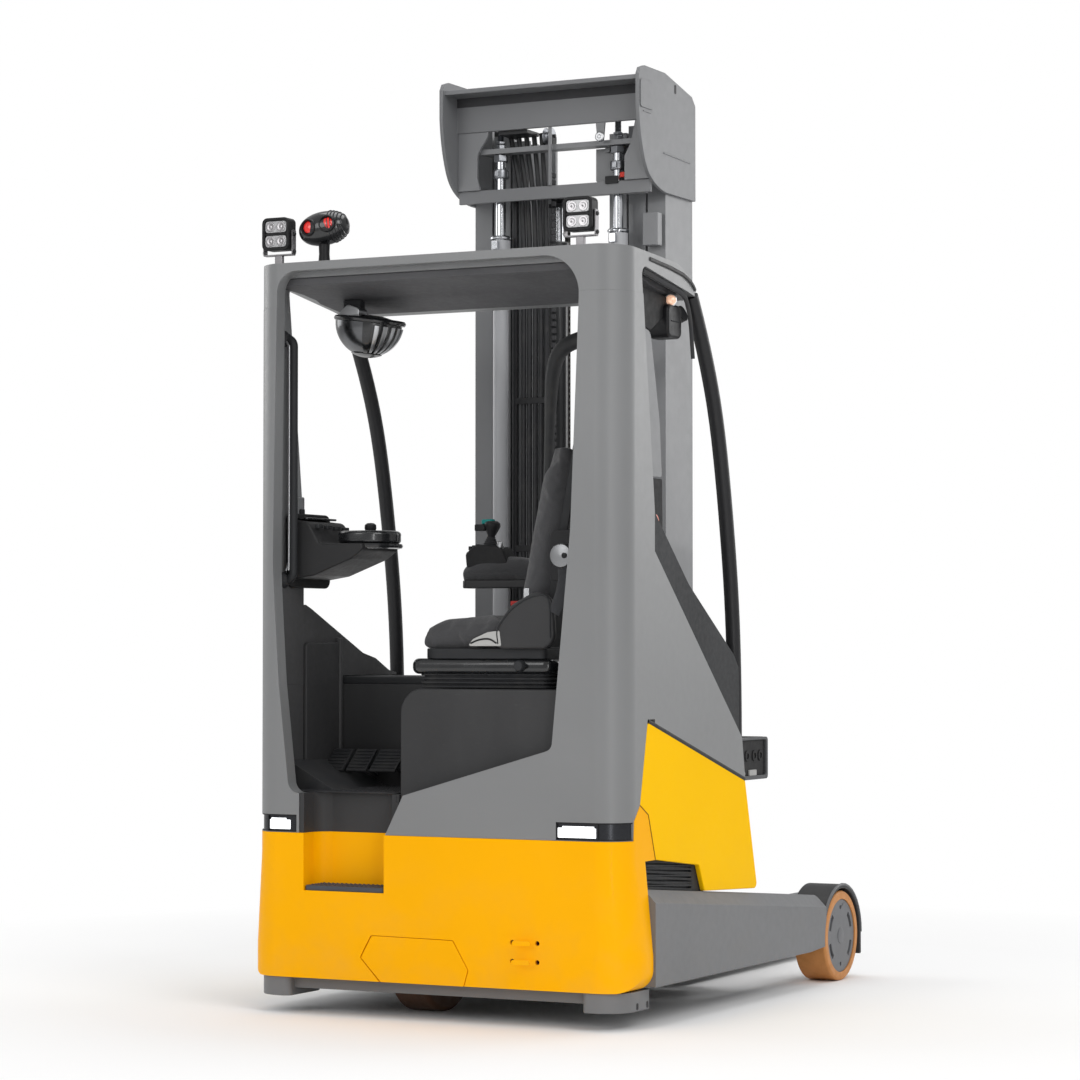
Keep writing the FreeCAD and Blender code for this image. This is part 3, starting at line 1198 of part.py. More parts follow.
def lift_barrel():
    """Main lift cylinder barrel with its foot bracket behind the outer rail."""
    length = LIFT_GLAND - LIFT_FOOT
    barrel = rod(Z_AXIS, (LIFT_X, LIFT_Y, LIFT_FOOT), LIFT_BARREL_R, length)
    gland = rod(Z_AXIS, (LIFT_X, LIFT_Y, LIFT_GLAND - 40.0), LIFT_BARREL_R + 5.0, 40.0)
    bore = rod(Z_AXIS, (LIFT_X, LIFT_Y, LIFT_FOOT + 20.0), LIFT_ROD_R + 4.0, length - 50.0)
    mouth = rod(Z_AXIS, (LIFT_X, LIFT_Y, LIFT_FOOT + 20.0), LIFT_ROD_R + SEAT_GAP, length)
    foot = box(LIFT_X - 32.0, LIFT_X + 32.0, LIFT_Y - 28.0, MAST_REAR - 30.0, LIFT_FOOT, LIFT_FOOT + 20.0)
    return fuse(barrel, gland, foot).cut([bore, mouth])


def lift_rod():
    return rod(Z_AXIS, (LIFT_X, LIFT_Y, LIFT_FOOT + 26.0), LIFT_ROD_R, CROSSHEAD_Z - LIFT_FOOT - 26.0)


add("lift_cylinders", both(lift_barrel()))
add("lift_cylinder_rods", both(lift_rod()))


def middle_rails():
    web = (MIDDLE_FLANGE - MAST_WEB) / 2.0
    rail = channel_pair(MIDDLE_OUT, MIDDLE_FLANGE, RAIL_LOW_MIDDLE, RAIL_TOP - 20.0, web)
    roller = rod(X_AXIS, (MIDDLE_OUT - web, (MAST_REAR + MAST_FRONT) / 2, RAIL_LOW_MIDDLE + 90.0),
                 (MAST_FRONT - MAST_REAR) / 2 - MAST_SKIN - ROLLER_GAP,
                 web + STAGE_GAP + OUTER_FLANGE - MAST_WEB - ROLLER_GAP)
    return fuse(rail, roller)


TIE_THICK = 12.0
TIE_LOW = 480.0
TIE_HIGH = 560.0


def middle_mast():
    """Middle rails, the crosshead on the lift rods and the low tie, one weldment."""
    rear = LIFT_Y - 24.0
    side_in = MIDDLE_OUT - MIDDLE_FLANGE
    top = box(-MIDDLE_OUT, MIDDLE_OUT, rear, LIFT_Y + 24.0, CROSSHEAD_Z, CROSSHEAD_Z + CROSSHEAD_THICK)
    ear = box(side_in, MIDDLE_OUT, LIFT_Y + 20.0, MAST_REAR, CROSSHEAD_Z, CROSSHEAD_Z + CROSSHEAD_THICK)
    tie = box(-MIDDLE_OUT, MIDDLE_OUT, MAST_REAR - RUN_GAP - TIE_THICK, MAST_REAR - RUN_GAP, TIE_LOW,
              TIE_HIGH)
    pad = box(side_in, MIDDLE_OUT, MAST_REAR - RUN_GAP, MAST_REAR, TIE_LOW, TIE_HIGH)
    rail = middle_rails()
    return fuse(top, ear, mirrored(ear), tie, pad, mirrored(pad), rail, mirrored(rail))


add("middle_mast", middle_mast())


def inner_rails():
    rail = channel_pair(INNER_OUT, INNER_FLANGE, RAIL_LOW_INNER, RAIL_TOP - 40.0, 0.0)
    roller = rod(X_AXIS, (INNER_OUT - 1.0, (MAST_REAR + MAST_FRONT) / 2, RAIL_LOW_INNER + 90.0),
                 (MAST_FRONT - MAST_REAR) / 2 - MAST_SKIN - ROLLER_GAP,
                 STAGE_GAP + (MIDDLE_FLANGE - MAST_WEB) / 2 - 3.0)
    return fuse(rail, roller)


def inner_mast():
    """Inner rails with a tie at the top and one at the bottom, one weldment."""
    pieces = [inner_rails(), mirrored(inner_rails())]
    for z0, z1 in ((2462.0, 2502.0), (RAIL_LOW_INNER + 10.0, RAIL_LOW_INNER + 70.0)):
        pieces.append(box(-INNER_IN, INNER_IN, MAST_REAR, MAST_REAR + MAST_SKIN, z0, z1))
    return fuse(*pieces)


add("inner_mast", inner_mast())


# ---------------------------------------------------------------- fork carriage
PLATE_X0 = INNER_IN - 34.0
PLATE_X1 = INNER_IN - 10.0
FORK_FACE = FORK_TIP - FORK_LENGTH
SHANK_REAR = FORK_FACE - FORK_THICK
BAR_REAR = SHANK_REAR - BAR_THICK
RUNNER_FRONT = BAR_REAR - SEAT_GAP
RUNNER_THICK = 30.0


def lift_carriage():
    """Roller plates inside the inner rails, joined by the two runners of the fork bars."""
    plate = box(PLATE_X0, PLATE_X1, MAST_REAR + 40.0, RUNNER_FRONT - RUNNER_THICK + 1.0, 120.0, 560.0)
    rollers = []
    for z in (210.0, 470.0):
        rollers.append(rod(X_AXIS, (PLATE_X1 - 1.0, (MAST_REAR + MAST_FRONT) / 2, z),
                           (MAST_FRONT - MAST_REAR) / 2 - MAST_SKIN - ROLLER_GAP,
                           INNER_OUT - MAST_WEB - ROLLER_GAP - PLATE_X1 + 1.0))
    half = [plate] + rollers
    runners = []
    for z in (BAR_LOW + 40.0, BAR_HIGH - 50.0):
        runners.append(box(-LOW_BAR_HALF + 30.0, LOW_BAR_HALF - 30.0, RUNNER_FRONT - RUNNER_THICK,
                           RUNNER_FRONT, z, z + 70.0))
    return fuse(*half, *[mirrored(s) for s in half], *runners)


def side_shift_frame():
    """Fork bars with the uprights between them, sliding on the lift carriage."""
    low = box(-LOW_BAR_HALF, LOW_BAR_HALF, BAR_REAR, SHANK_REAR, BAR_LOW, BAR_LOW + BAR_HEIGHT)
    high = box(-HIGH_BAR_HALF, HIGH_BAR_HALF, BAR_REAR, SHANK_REAR, BAR_HIGH, BAR_HIGH + BAR_HEIGHT)
    ties = []
    for x in (-300.0, -40.0, 220.0):
        ties.append(box(x, x + 80.0, BAR_REAR + 4.0, SHANK_REAR - 4.0, BAR_LOW, BAR_HIGH + 10.0))
    return fuse(low, high, *ties)


def fork():
    """One fork: shank on the bars and a blade that thins towards its tip."""
    heel = 36.0
    side = [(SHANK_REAR + SEAT_GAP, FORK_BOTTOM, heel), (FORK_TIP - 260.0, FORK_BOTTOM),
            (FORK_TIP, FORK_BOTTOM + 20.0, 4.0),
            (FORK_TIP, FORK_BOTTOM + 32.0, 6.0), (FORK_TIP - 420.0, FORK_BOTTOM + FORK_THICK),
            (FORK_FACE, FORK_BOTTOM + FORK_THICK, 12.0), (FORK_FACE, 520.0, 8.0),
            (SHANK_REAR + SEAT_GAP, 520.0, 8.0)]
    blade = plate_x(side, FORK_X - FORK_WIDTH / 2, FORK_X + FORK_WIDTH / 2)
    tip = []
    for sign in (-1, 1):
        x = FORK_X + sign * FORK_WIDTH / 2
        tip.append(plate_z([(x, FORK_TIP + 1.0), (x, FORK_TIP - 120.0),
                            (x - sign * 26.0, FORK_TIP + 1.0)], 0.0, 100.0))
    return blade.cut(tip)


add("lift_carriage", lift_carriage())
add("side_shift_frame", side_shift_frame())
add("forks", both(fork()))


# ---------------------------------------------------------------- reach carriage
REACH_PLATE_IN = MAST_HALF_WIDTH + BOSS_WIDTH + 8.0
REACH_PLATE_OUT = REACH_PLATE_IN + 22.0
REACH_BEAM_REAR = 827.0
REACH_BEAM_FRONT = MAST_REAR - 24.0
REACH_BEAM_TOP = 330.0
EAR_THICK = 10.0


def reach_carriage():
    """Sled between the arms: rear beam, side plates, pivot pins, rollers and tilt ears."""
    beam = box(-INNER_ARM + 12.0, INNER_ARM - 12.0, REACH_BEAM_REAR, REACH_BEAM_FRONT, 126.0,
               REACH_BEAM_TOP)
    plate = plate_x([(REACH_BEAM_REAR, 112.0), (REACH_BEAM_REAR, REACH_BEAM_TOP),
                     (980.0, REACH_BEAM_TOP, 30.0),
                     (1160.0, 250.0, 24.0), (1160.0, 130.0, 16.0), (1130.0, 112.0)],
                    REACH_PLATE_IN, REACH_PLATE_OUT)
    pin = rod(X_AXIS, (MAST_HALF_WIDTH + 4.0, PIVOT_Y, PIVOT_Z), PIVOT_R,
              REACH_PLATE_IN - MAST_HALF_WIDTH)
    half = [plate, pin]
    gap = TILT_EYE_WIDTH / 2.0 + 1.0
    for x in (TILT_X - gap - EAR_THICK, TILT_X + gap):
        half.append(plate_x([(TILT_FOOT_Y - 22.0, REACH_BEAM_TOP),
                             (TILT_FOOT_Y - 22.0, TILT_FOOT_Z + 18.0, 18.0),
                             (TILT_FOOT_Y + 22.0, TILT_FOOT_Z + 18.0, 18.0),
                             (TILT_FOOT_Y + 22.0, REACH_BEAM_TOP)],
                            x, x + EAR_THICK))
    half.append(rod(X_AXIS, (TILT_X - gap - 1.0, TILT_FOOT_Y, TILT_FOOT_Z), TILT_PIN_R, 2.0 * gap + 2.0))
    for y in ROLLER_STATIONS:
        half.append(rod(X_AXIS, (REACH_PLATE_OUT - 1.0, y, ROLLER_Z), 22.0,
                        INNER_ARM + 8.0 - REACH_PLATE_OUT))
        half.append(rod(X_AXIS, (INNER_ARM + 6.0, y, ROLLER_Z), ROLLER_R,
                        RAIL_WIDTH - RAIL_SKIN - 6.0 - ROLLER_GAP))
    return fuse(beam, *half, *[mirrored(s) for s in half])


ROLLER_Z = RAIL_BOTTOM + RAIL_HEIGHT / 2.0
ROLLER_R = RAIL_HEIGHT / 2.0 - RAIL_SKIN - ROLLER_GAP
ROLLER_STATIONS = (895.0, 1115.0)


def reach_cylinder():
    length = REACH_BARREL_END - REACH_BARREL_START
    barrel = rod(Y_AXIS, (REACH_X, REACH_BARREL_START, REACH_Z), REACH_BARREL_R, length)
    bore = rod(Y_AXIS, (REACH_X, REACH_BARREL_START + 20.0, REACH_Z), REACH_BORE_R, length - 45.0)
    mouth = rod(Y_AXIS, (REACH_X, REACH_BARREL_START + 20.0, REACH_Z), REACH_ROD_R + SEAT_GAP, length)
    foot = box(REACH_X - 20.0, REACH_X + 20.0, REACH_BARREL_START + 10.0, REACH_BARREL_START + 50.0,
               BASE_TOP, REACH_Z)
    return fuse(barrel, foot).cut([bore, mouth])


def reach_rod():
    piston = rod(Y_AXIS, (REACH_X, REACH_BARREL_START + 26.0, REACH_Z), REACH_BORE_R - SEAT_GAP, 30.0)
    shaft = rod(Y_AXIS, (REACH_X, REACH_BARREL_START + 26.0, REACH_Z), REACH_ROD_R,
                REACH_BEAM_REAR - REACH_BARREL_START - 26.0)
    return fuse(piston, shaft)


add("reach_carriage", reach_carriage())
add("reach_cylinder", reach_cylinder())
add("reach_cylinder_rod", reach_rod())


def tilt_line():
    """Foot pin, rod eye and direction of the tilt cylinders."""
    foot = Vector(TILT_X, TILT_FOOT_Y, TILT_FOOT_Z)
    eye = Vector(TILT_X, TILT_EYE_Y, TILT_EYE_Z)
    return foot, eye, (eye - foot).normalize()


def eye_ring(centre):
    """Ring round a cross pin, at either end of a tilt cylinder."""
    start = (TILT_X - TILT_EYE_WIDTH / 2.0, centre.y, centre.z)
    return rod(X_AXIS, start, TILT_EYE_R, TILT_EYE_WIDTH)


def eye_hole(centre, play):
    """Cutter for the bore of an eye ring, larger than its pin by the play."""
    start = (TILT_X - TILT_EYE_WIDTH, centre.y, centre.z)
    return rod(X_AXIS, start, TILT_PIN_R + play, 2.0 * TILT_EYE_WIDTH)


TILT_BARREL_START = 32.0      # foot pin to the barrel's lower end
TILT_BARREL_R = 20.0
TILT_ROD_R = 11.0
TILT_BARREL_LENGTH = 150.0
EYE_PLAY = 0.8                # the mast's pin rolls a little in the rod's eye


def tilt_cylinders():
    """Barrel of a tilt cylinder with its foot ring on the reach carriage."""
    foot, eye, along = tilt_line()
    start = foot + along * TILT_BARREL_START
    neck = Part.makeCylinder(TILT_ROD_R, 16.0, foot + along * (TILT_EYE_R - 3.0), along)
    barrel = Part.makeCylinder(TILT_BARREL_R, TILT_BARREL_LENGTH, start, along)
    bore = Part.makeCylinder(TILT_ROD_R + SEAT_GAP, TILT_BARREL_LENGTH, start + along * 20.0, along)
    return fuse(barrel, neck, eye_ring(foot)).cut([eye_hole(foot, SEAT_GAP), bore])


def tilt_rods():
    """Rod of a tilt cylinder with its eye on the mast's pin."""
    foot, eye, along = tilt_line()
    start = foot + along * (TILT_BARREL_START + 40.0)
    shaft = Part.makeCylinder(TILT_ROD_R, (eye - start).Length - TILT_EYE_R + 4.0, start, along)
    return fuse(shaft, eye_ring(eye)).cut(eye_hole(eye, EYE_PLAY))


add("tilt_cylinders", both(tilt_cylinders()))
add("tilt_cylinder_rods", both(tilt_rods()))


# ---------------------------------------------------------------- export
os.makedirs(PARTS_FOLDER, exist_ok=True)
for node_name, node_shape in NODES.items():
    placed = node_shape.copy()
    placed.translate(ORIGIN_SHIFT)
    placed.exportStep(os.path.join(PARTS_FOLDER, node_name + ".step"))
    print(node_name, len(placed.Solids), placed.isValid(), round(placed.Volume / 1e6, 3))
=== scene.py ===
import json
import math

import bmesh
import bpy
from mathutils import Matrix, Vector

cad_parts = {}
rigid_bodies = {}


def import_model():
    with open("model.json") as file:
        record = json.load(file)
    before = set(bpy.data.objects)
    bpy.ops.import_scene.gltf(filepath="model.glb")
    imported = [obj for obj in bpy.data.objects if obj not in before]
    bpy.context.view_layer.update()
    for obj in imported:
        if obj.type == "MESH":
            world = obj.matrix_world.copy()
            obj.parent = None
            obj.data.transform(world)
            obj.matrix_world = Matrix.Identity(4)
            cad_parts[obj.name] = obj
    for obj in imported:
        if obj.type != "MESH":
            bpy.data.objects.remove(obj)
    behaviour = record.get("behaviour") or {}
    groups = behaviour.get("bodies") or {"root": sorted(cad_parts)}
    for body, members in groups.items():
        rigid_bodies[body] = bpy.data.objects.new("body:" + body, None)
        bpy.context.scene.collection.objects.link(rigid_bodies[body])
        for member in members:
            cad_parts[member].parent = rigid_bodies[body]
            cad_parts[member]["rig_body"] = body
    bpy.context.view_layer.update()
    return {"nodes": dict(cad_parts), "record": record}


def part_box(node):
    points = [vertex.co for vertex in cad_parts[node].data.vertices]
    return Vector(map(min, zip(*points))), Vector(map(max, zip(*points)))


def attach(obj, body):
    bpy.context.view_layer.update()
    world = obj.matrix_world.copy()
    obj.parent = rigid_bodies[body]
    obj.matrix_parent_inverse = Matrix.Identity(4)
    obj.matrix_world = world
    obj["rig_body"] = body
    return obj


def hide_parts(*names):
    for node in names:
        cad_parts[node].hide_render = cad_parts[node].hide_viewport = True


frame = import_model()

bl_info = {
    "name": "Reach truck finishing",
    "version": (1, 0, 0),
    "blender": (4, 5, 0),
    "location": "View3D > Sidebar > Reach truck",
    "description": "Covers, fittings, seat, mast details and finishes of a reach truck",
    "category": "Object",
}

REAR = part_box("rear_cover")[0].y          # row-frame y of the drive-end face


def at(x, y, z):
    """Row-frame point in metres from millimetres measured off the drive-end face."""
    return Vector((x / 1000.0, REAR + y / 1000.0, z / 1000.0))


def reach_of(node):
    """Lowest and highest corner of a frame node in millimetres off the drive-end face."""
    low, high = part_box(node)
    shift = Vector((0.0, REAR, 0.0))
    return (low - shift) * 1000.0, (high - shift) * 1000.0


def linear(red, green, blue):
    """Linear colour with alpha from display values 0 to 255."""
    steps = []
    for value in (red, green, blue):
        share = value / 255.0
        steps.append(share / 12.92 if share <= 0.04045 else ((share + 0.055) / 1.055) ** 2.4)
    return (*steps, 1.0)


# ------------------------------------------------------------------ shader kit
class Sock:
    """A shader socket that takes part in Python expressions."""

    def __init__(self, finish, socket):
        self.finish = finish
        self.socket = socket

    def math(self, operation, *values):
        return self.finish.node("ShaderNodeMath", {"operation": operation}, dict(enumerate(values)))

    def __add__(self, other):
        return self.math("ADD", self, other)

    def __radd__(self, other):
        return self.math("ADD", other, self)

    def __sub__(self, other):
        return self.math("SUBTRACT", self, other)

    def __rsub__(self, other):
        return self.math("SUBTRACT", other, self)

    def __mul__(self, other):
        return self.math("MULTIPLY", self, other)

    def __rmul__(self, other):
        return self.math("MULTIPLY", other, self)

    def __pow__(self, other):
        return self.math("POWER", self, other)

    def fade(self, low, high, start=0.0, stop=1.0):
        """Clamped share of the way from low to high, as start to stop."""
        return self.finish.node("ShaderNodeMapRange", {"clamp": True},
                                {0: self, 1: low, 2: high, 3: start, 4: stop})


class Finish:
    """Builds one named material from node calls and socket expressions."""

    def __init__(self, name):
        self.material = bpy.data.materials.new(name)
        self.material.use_nodes = True
        self.tree = self.material.node_tree
        self.tree.nodes.clear()
        self.place = self.node("ShaderNodeTexCoord", {}, {}, "Object")

    def node(self, kind, settings=None, values=None, output=0):
        made = self.tree.nodes.new(kind)
        for key, value in (settings or {}).items():
            if key == "stops":
                elements = made.color_ramp.elements
                while len(elements) < len(value):
                    elements.new(0.5)
                for element, (position, colour) in zip(elements, value):
                    element.position = position
                    element.color = colour
            else:
                setattr(made, key, value)
        for key, value in (values or {}).items():
            if isinstance(value, Sock):
                self.tree.links.new(value.socket, made.inputs[key])
            else:
                made.inputs[key].default_value = value
        return Sock(self, made.outputs[output])

    def noise(self, scale, detail=3.0, roughness=0.5, stretch=None):
        """Noise in object space; stretch scales it along the axes first."""
        spot = self.place
        if stretch:
            spot = self.node("ShaderNodeMapping", {}, {"Vector": spot, "Scale": stretch})
        return self.node("ShaderNodeTexNoise", {},
                         {"Vector": spot, "Scale": scale, "Detail": detail, "Roughness": roughness})

    def cells(self, scale):
        """Distance to the nearest cell point in object space."""
        return self.node("ShaderNodeTexVoronoi", {"feature": "F1"}, {"Vector": self.place, "Scale": scale},
                         "Distance")

    def axis(self, name):
        """One coordinate of the place on the piece, in metres."""
        return self.node("ShaderNodeSeparateXYZ", {}, {0: self.place}, name)

    def blend(self, first, second, share):
        """Colour mix of two colours or sockets."""
        return self.node("ShaderNodeMix", {"data_type": "RGBA"}, {0: share, 6: first, 7: second}, 2)

    def bump(self, height, strength, distance):
        """Shading normal of a small relief, its height in metres."""
        return self.node("ShaderNodeBump", {},
                         {"Strength": strength, "Distance": distance, "Height": height})

    def end(self, shader):
        """Lead a shader to the material's output."""
        output = self.tree.nodes.new("ShaderNodeOutputMaterial")
        self.tree.links.new(shader.socket, output.inputs["Surface"])
        return self.material

    def surface(self, **inputs):
        """Principled surface; keyword names are socket names with underscores."""
        values = {key.replace("_", " "): value for key, value in inputs.items()}
        return self.end(self.node("ShaderNodeBsdfPrincipled", {}, values, "BSDF"))


# ------------------------------------------------------------------ kinds of finish
def tinted(colour, factor, lift=0.0):
    """The colour with each channel times a factor, plus a lift."""
    return (*(min(1.0, channel * factor + lift) for channel in colour[:3]), 1.0)


def lacquer(name, colour, rough=0.34, coat=0.6, peel=0.06, spread=0.05, shine=0.5, haze=0.08):
    """Sprayed paint: orange-peel surface, soft tone drift and a thin haze of dust low down."""
    f = Finish(name)
    drift = f.noise(2.2, 2.0).fade(0.35, 0.65)
    tone = f.blend(tinted(colour, 1.0 - spread), tinted(colour, 1.0 + spread), drift)
    dust = (1.0 - f.axis("Z").fade(0.02, 0.55)) * f.noise(9.0, 5.0, 0.6).fade(0.42, 0.75) * 0.10
    tone = f.blend(tone, linear(150, 142, 130), dust)
    gloss = rough + f.noise(38.0, 4.0).fade(0.3, 0.7, -0.03, 0.05) + dust
    normal = f.bump(f.noise(190.0, 2.0), peel, 0.0006)
    return f.surface(Base_Color=tone, Roughness=gloss, Normal=normal, Coat_Weight=coat, Coat_Roughness=haze,
                     Specular_IOR_Level=shine)


def moulded(name, colour, rough=0.55, grain=620.0):
    """Moulded plastic with a leathery grain, faint flow marks and light scuffs."""
    f = Finish(name)
    flow = f.noise(5.0, 3.0, 0.5, (1.0, 1.0, 0.35)).fade(0.3, 0.7)
    tone = f.blend(tinted(colour, 0.88), tinted(colour, 1.12, 0.004), flow)
    scratch = f.noise(26.0, 6.0, 0.7, (1.0, 1.0, 7.0)).fade(0.62, 0.80) * 0.06
    tone = f.blend(tone, linear(175, 175, 175), scratch)
    normal = f.bump(f.cells(grain), 0.25, 0.0004)
    gloss = rough + f.noise(60.0, 3.0).fade(0.3, 0.7, -0.05, 0.06)
    return f.surface(Base_Color=tone, Roughness=gloss, Normal=normal, Specular_IOR_Level=0.25)


def rubbered(name, colour, rough=0.72):
    """Rubber: matt, slightly dusty, with fine moulding texture."""
    f = Finish(name)
    dust = f.noise(14.0, 6.0, 0.65).fade(0.45, 0.75)
    grey = f.blend(colour, linear(120, 116, 110), dust * 0.14)
    normal = f.bump(f.noise(240.0, 4.0, 0.6), 0.22, 0.0008)
    return f.surface(Base_Color=grey, Roughness=rough + dust * 0.12, Normal=normal)


def tread_band(name, colour):
    """Tyre compound: warm body colour, darker scuffed running band and fine turning marks."""
    f = Finish(name)
    rings = f.noise(60.0, 3.0, 0.5, (22.0, 1.0, 1.0))
    grime = f.noise(30.0, 5.0, 0.6).fade(0.4, 0.7)
    tone = f.blend(colour, tinted(colour, 0.72), grime * 0.45)
    tone = f.blend(tone, tinted(colour, 1.12), rings.fade(0.5, 0.62) * 0.35)
    normal = f.bump(rings, 0.25, 0.0007)
    return f.surface(Base_Color=tone, Roughness=0.5 + grime * 0.18, Normal=normal)


def steel(name, colour, rough=0.25, metallic=1.0):
    """Bare or plated steel with drawn lines and light oil film."""
    f = Finish(name)
    lines = f.noise(70.0, 4.0, 0.6, (1.0, 1.0, 30.0))
    film = f.noise(8.0, 4.0).fade(0.4, 0.7)
    tone = f.blend(colour, tinted(colour, 0.78), film * 0.4)
    gloss = rough + lines.fade(0.3, 0.7, -0.06, 0.09)
    normal = f.bump(lines, 0.05, 0.0003)
    return f.surface(Base_Color=tone, Roughness=gloss, Metallic=metallic, Normal=normal)


def casting(name, colour):
    """Cast iron under thin paint: lumpy skin with darker hollows."""
    f = Finish(name)
    lumps = f.noise(95.0, 6.0, 0.65)
    tone = f.blend(tinted(colour, 0.75), colour, lumps.fade(0.35, 0.6))
    normal = f.bump(lumps, 0.35, 0.0014)
    return f.surface(Base_Color=tone, Roughness=0.6 + lumps.fade(0.3, 0.7, 0.06, -0.06), Normal=normal)


def woven(name, colour, pitch=0.0022):
    """Upholstery cloth: over-and-under threads, mottled yarn and a soft sheen."""
    f = Finish(name)
    turn = 2.0 * math.pi / pitch
    across = f.axis("X") + f.axis("Z") * 0.9
    along = f.axis("Y")
    warp, weft = (wave.math("SINE", wave) for wave in (across * turn, along * turn))
    thread = warp * weft
    yarn = f.noise(340.0, 3.0, 0.6)
    worn = f.noise(7.0, 3.0).fade(0.35, 0.7)
    tone = f.blend(tinted(colour, 0.62), tinted(colour, 1.3), (thread * 0.5 + 0.5) * 0.6 + yarn * 0.4)
    tone = f.blend(tone, tinted(colour, 1.6), worn * 0.22)
    normal = f.bump(thread + yarn * 0.6, 0.45, 0.0007)
    return f.surface(Base_Color=tone, Roughness=0.86 + yarn * 0.1, Normal=normal, Sheen_Weight=0.25,
                     Sheen_Roughness=0.5)


def lens(name, colour, glow=0.0, rough=0.12):
    """Clear or tinted lamp cover over a fluted reflector."""
    f = Finish(name)
    flutes = f.cells(120.0)
    tone = f.blend(tinted(colour, 0.7), colour, flutes.fade(0.05, 0.6))
    normal = f.bump(flutes, 0.35, 0.0012)
    lit = f.blend(tinted(colour, 0.8), colour, flutes.fade(0.1, 0.5))
    return f.surface(Base_Color=tone, Roughness=rough + flutes * 0.08, Normal=normal, Coat_Weight=0.8,
                     Coat_Roughness=0.03, Emission_Color=lit, Emission_Strength=glow)


def glazed(name, colour, rough=0.1):
    """Smooth dark glass or polished plastic with faint smears."""
    f = Finish(name)
    smear = f.noise(11.0, 5.0, 0.6, (1.0, 1.0, 3.0)).fade(0.45, 0.75)
    tone = f.blend(colour, linear(120, 124, 128), smear * 0.05)
    normal = f.bump(f.noise(55.0, 2.0), 0.02, 0.0005)
    return f.surface(Base_Color=tone, Roughness=rough + smear * 0.14, Normal=normal, Coat_Weight=0.5,
                     Coat_Roughness=0.04)


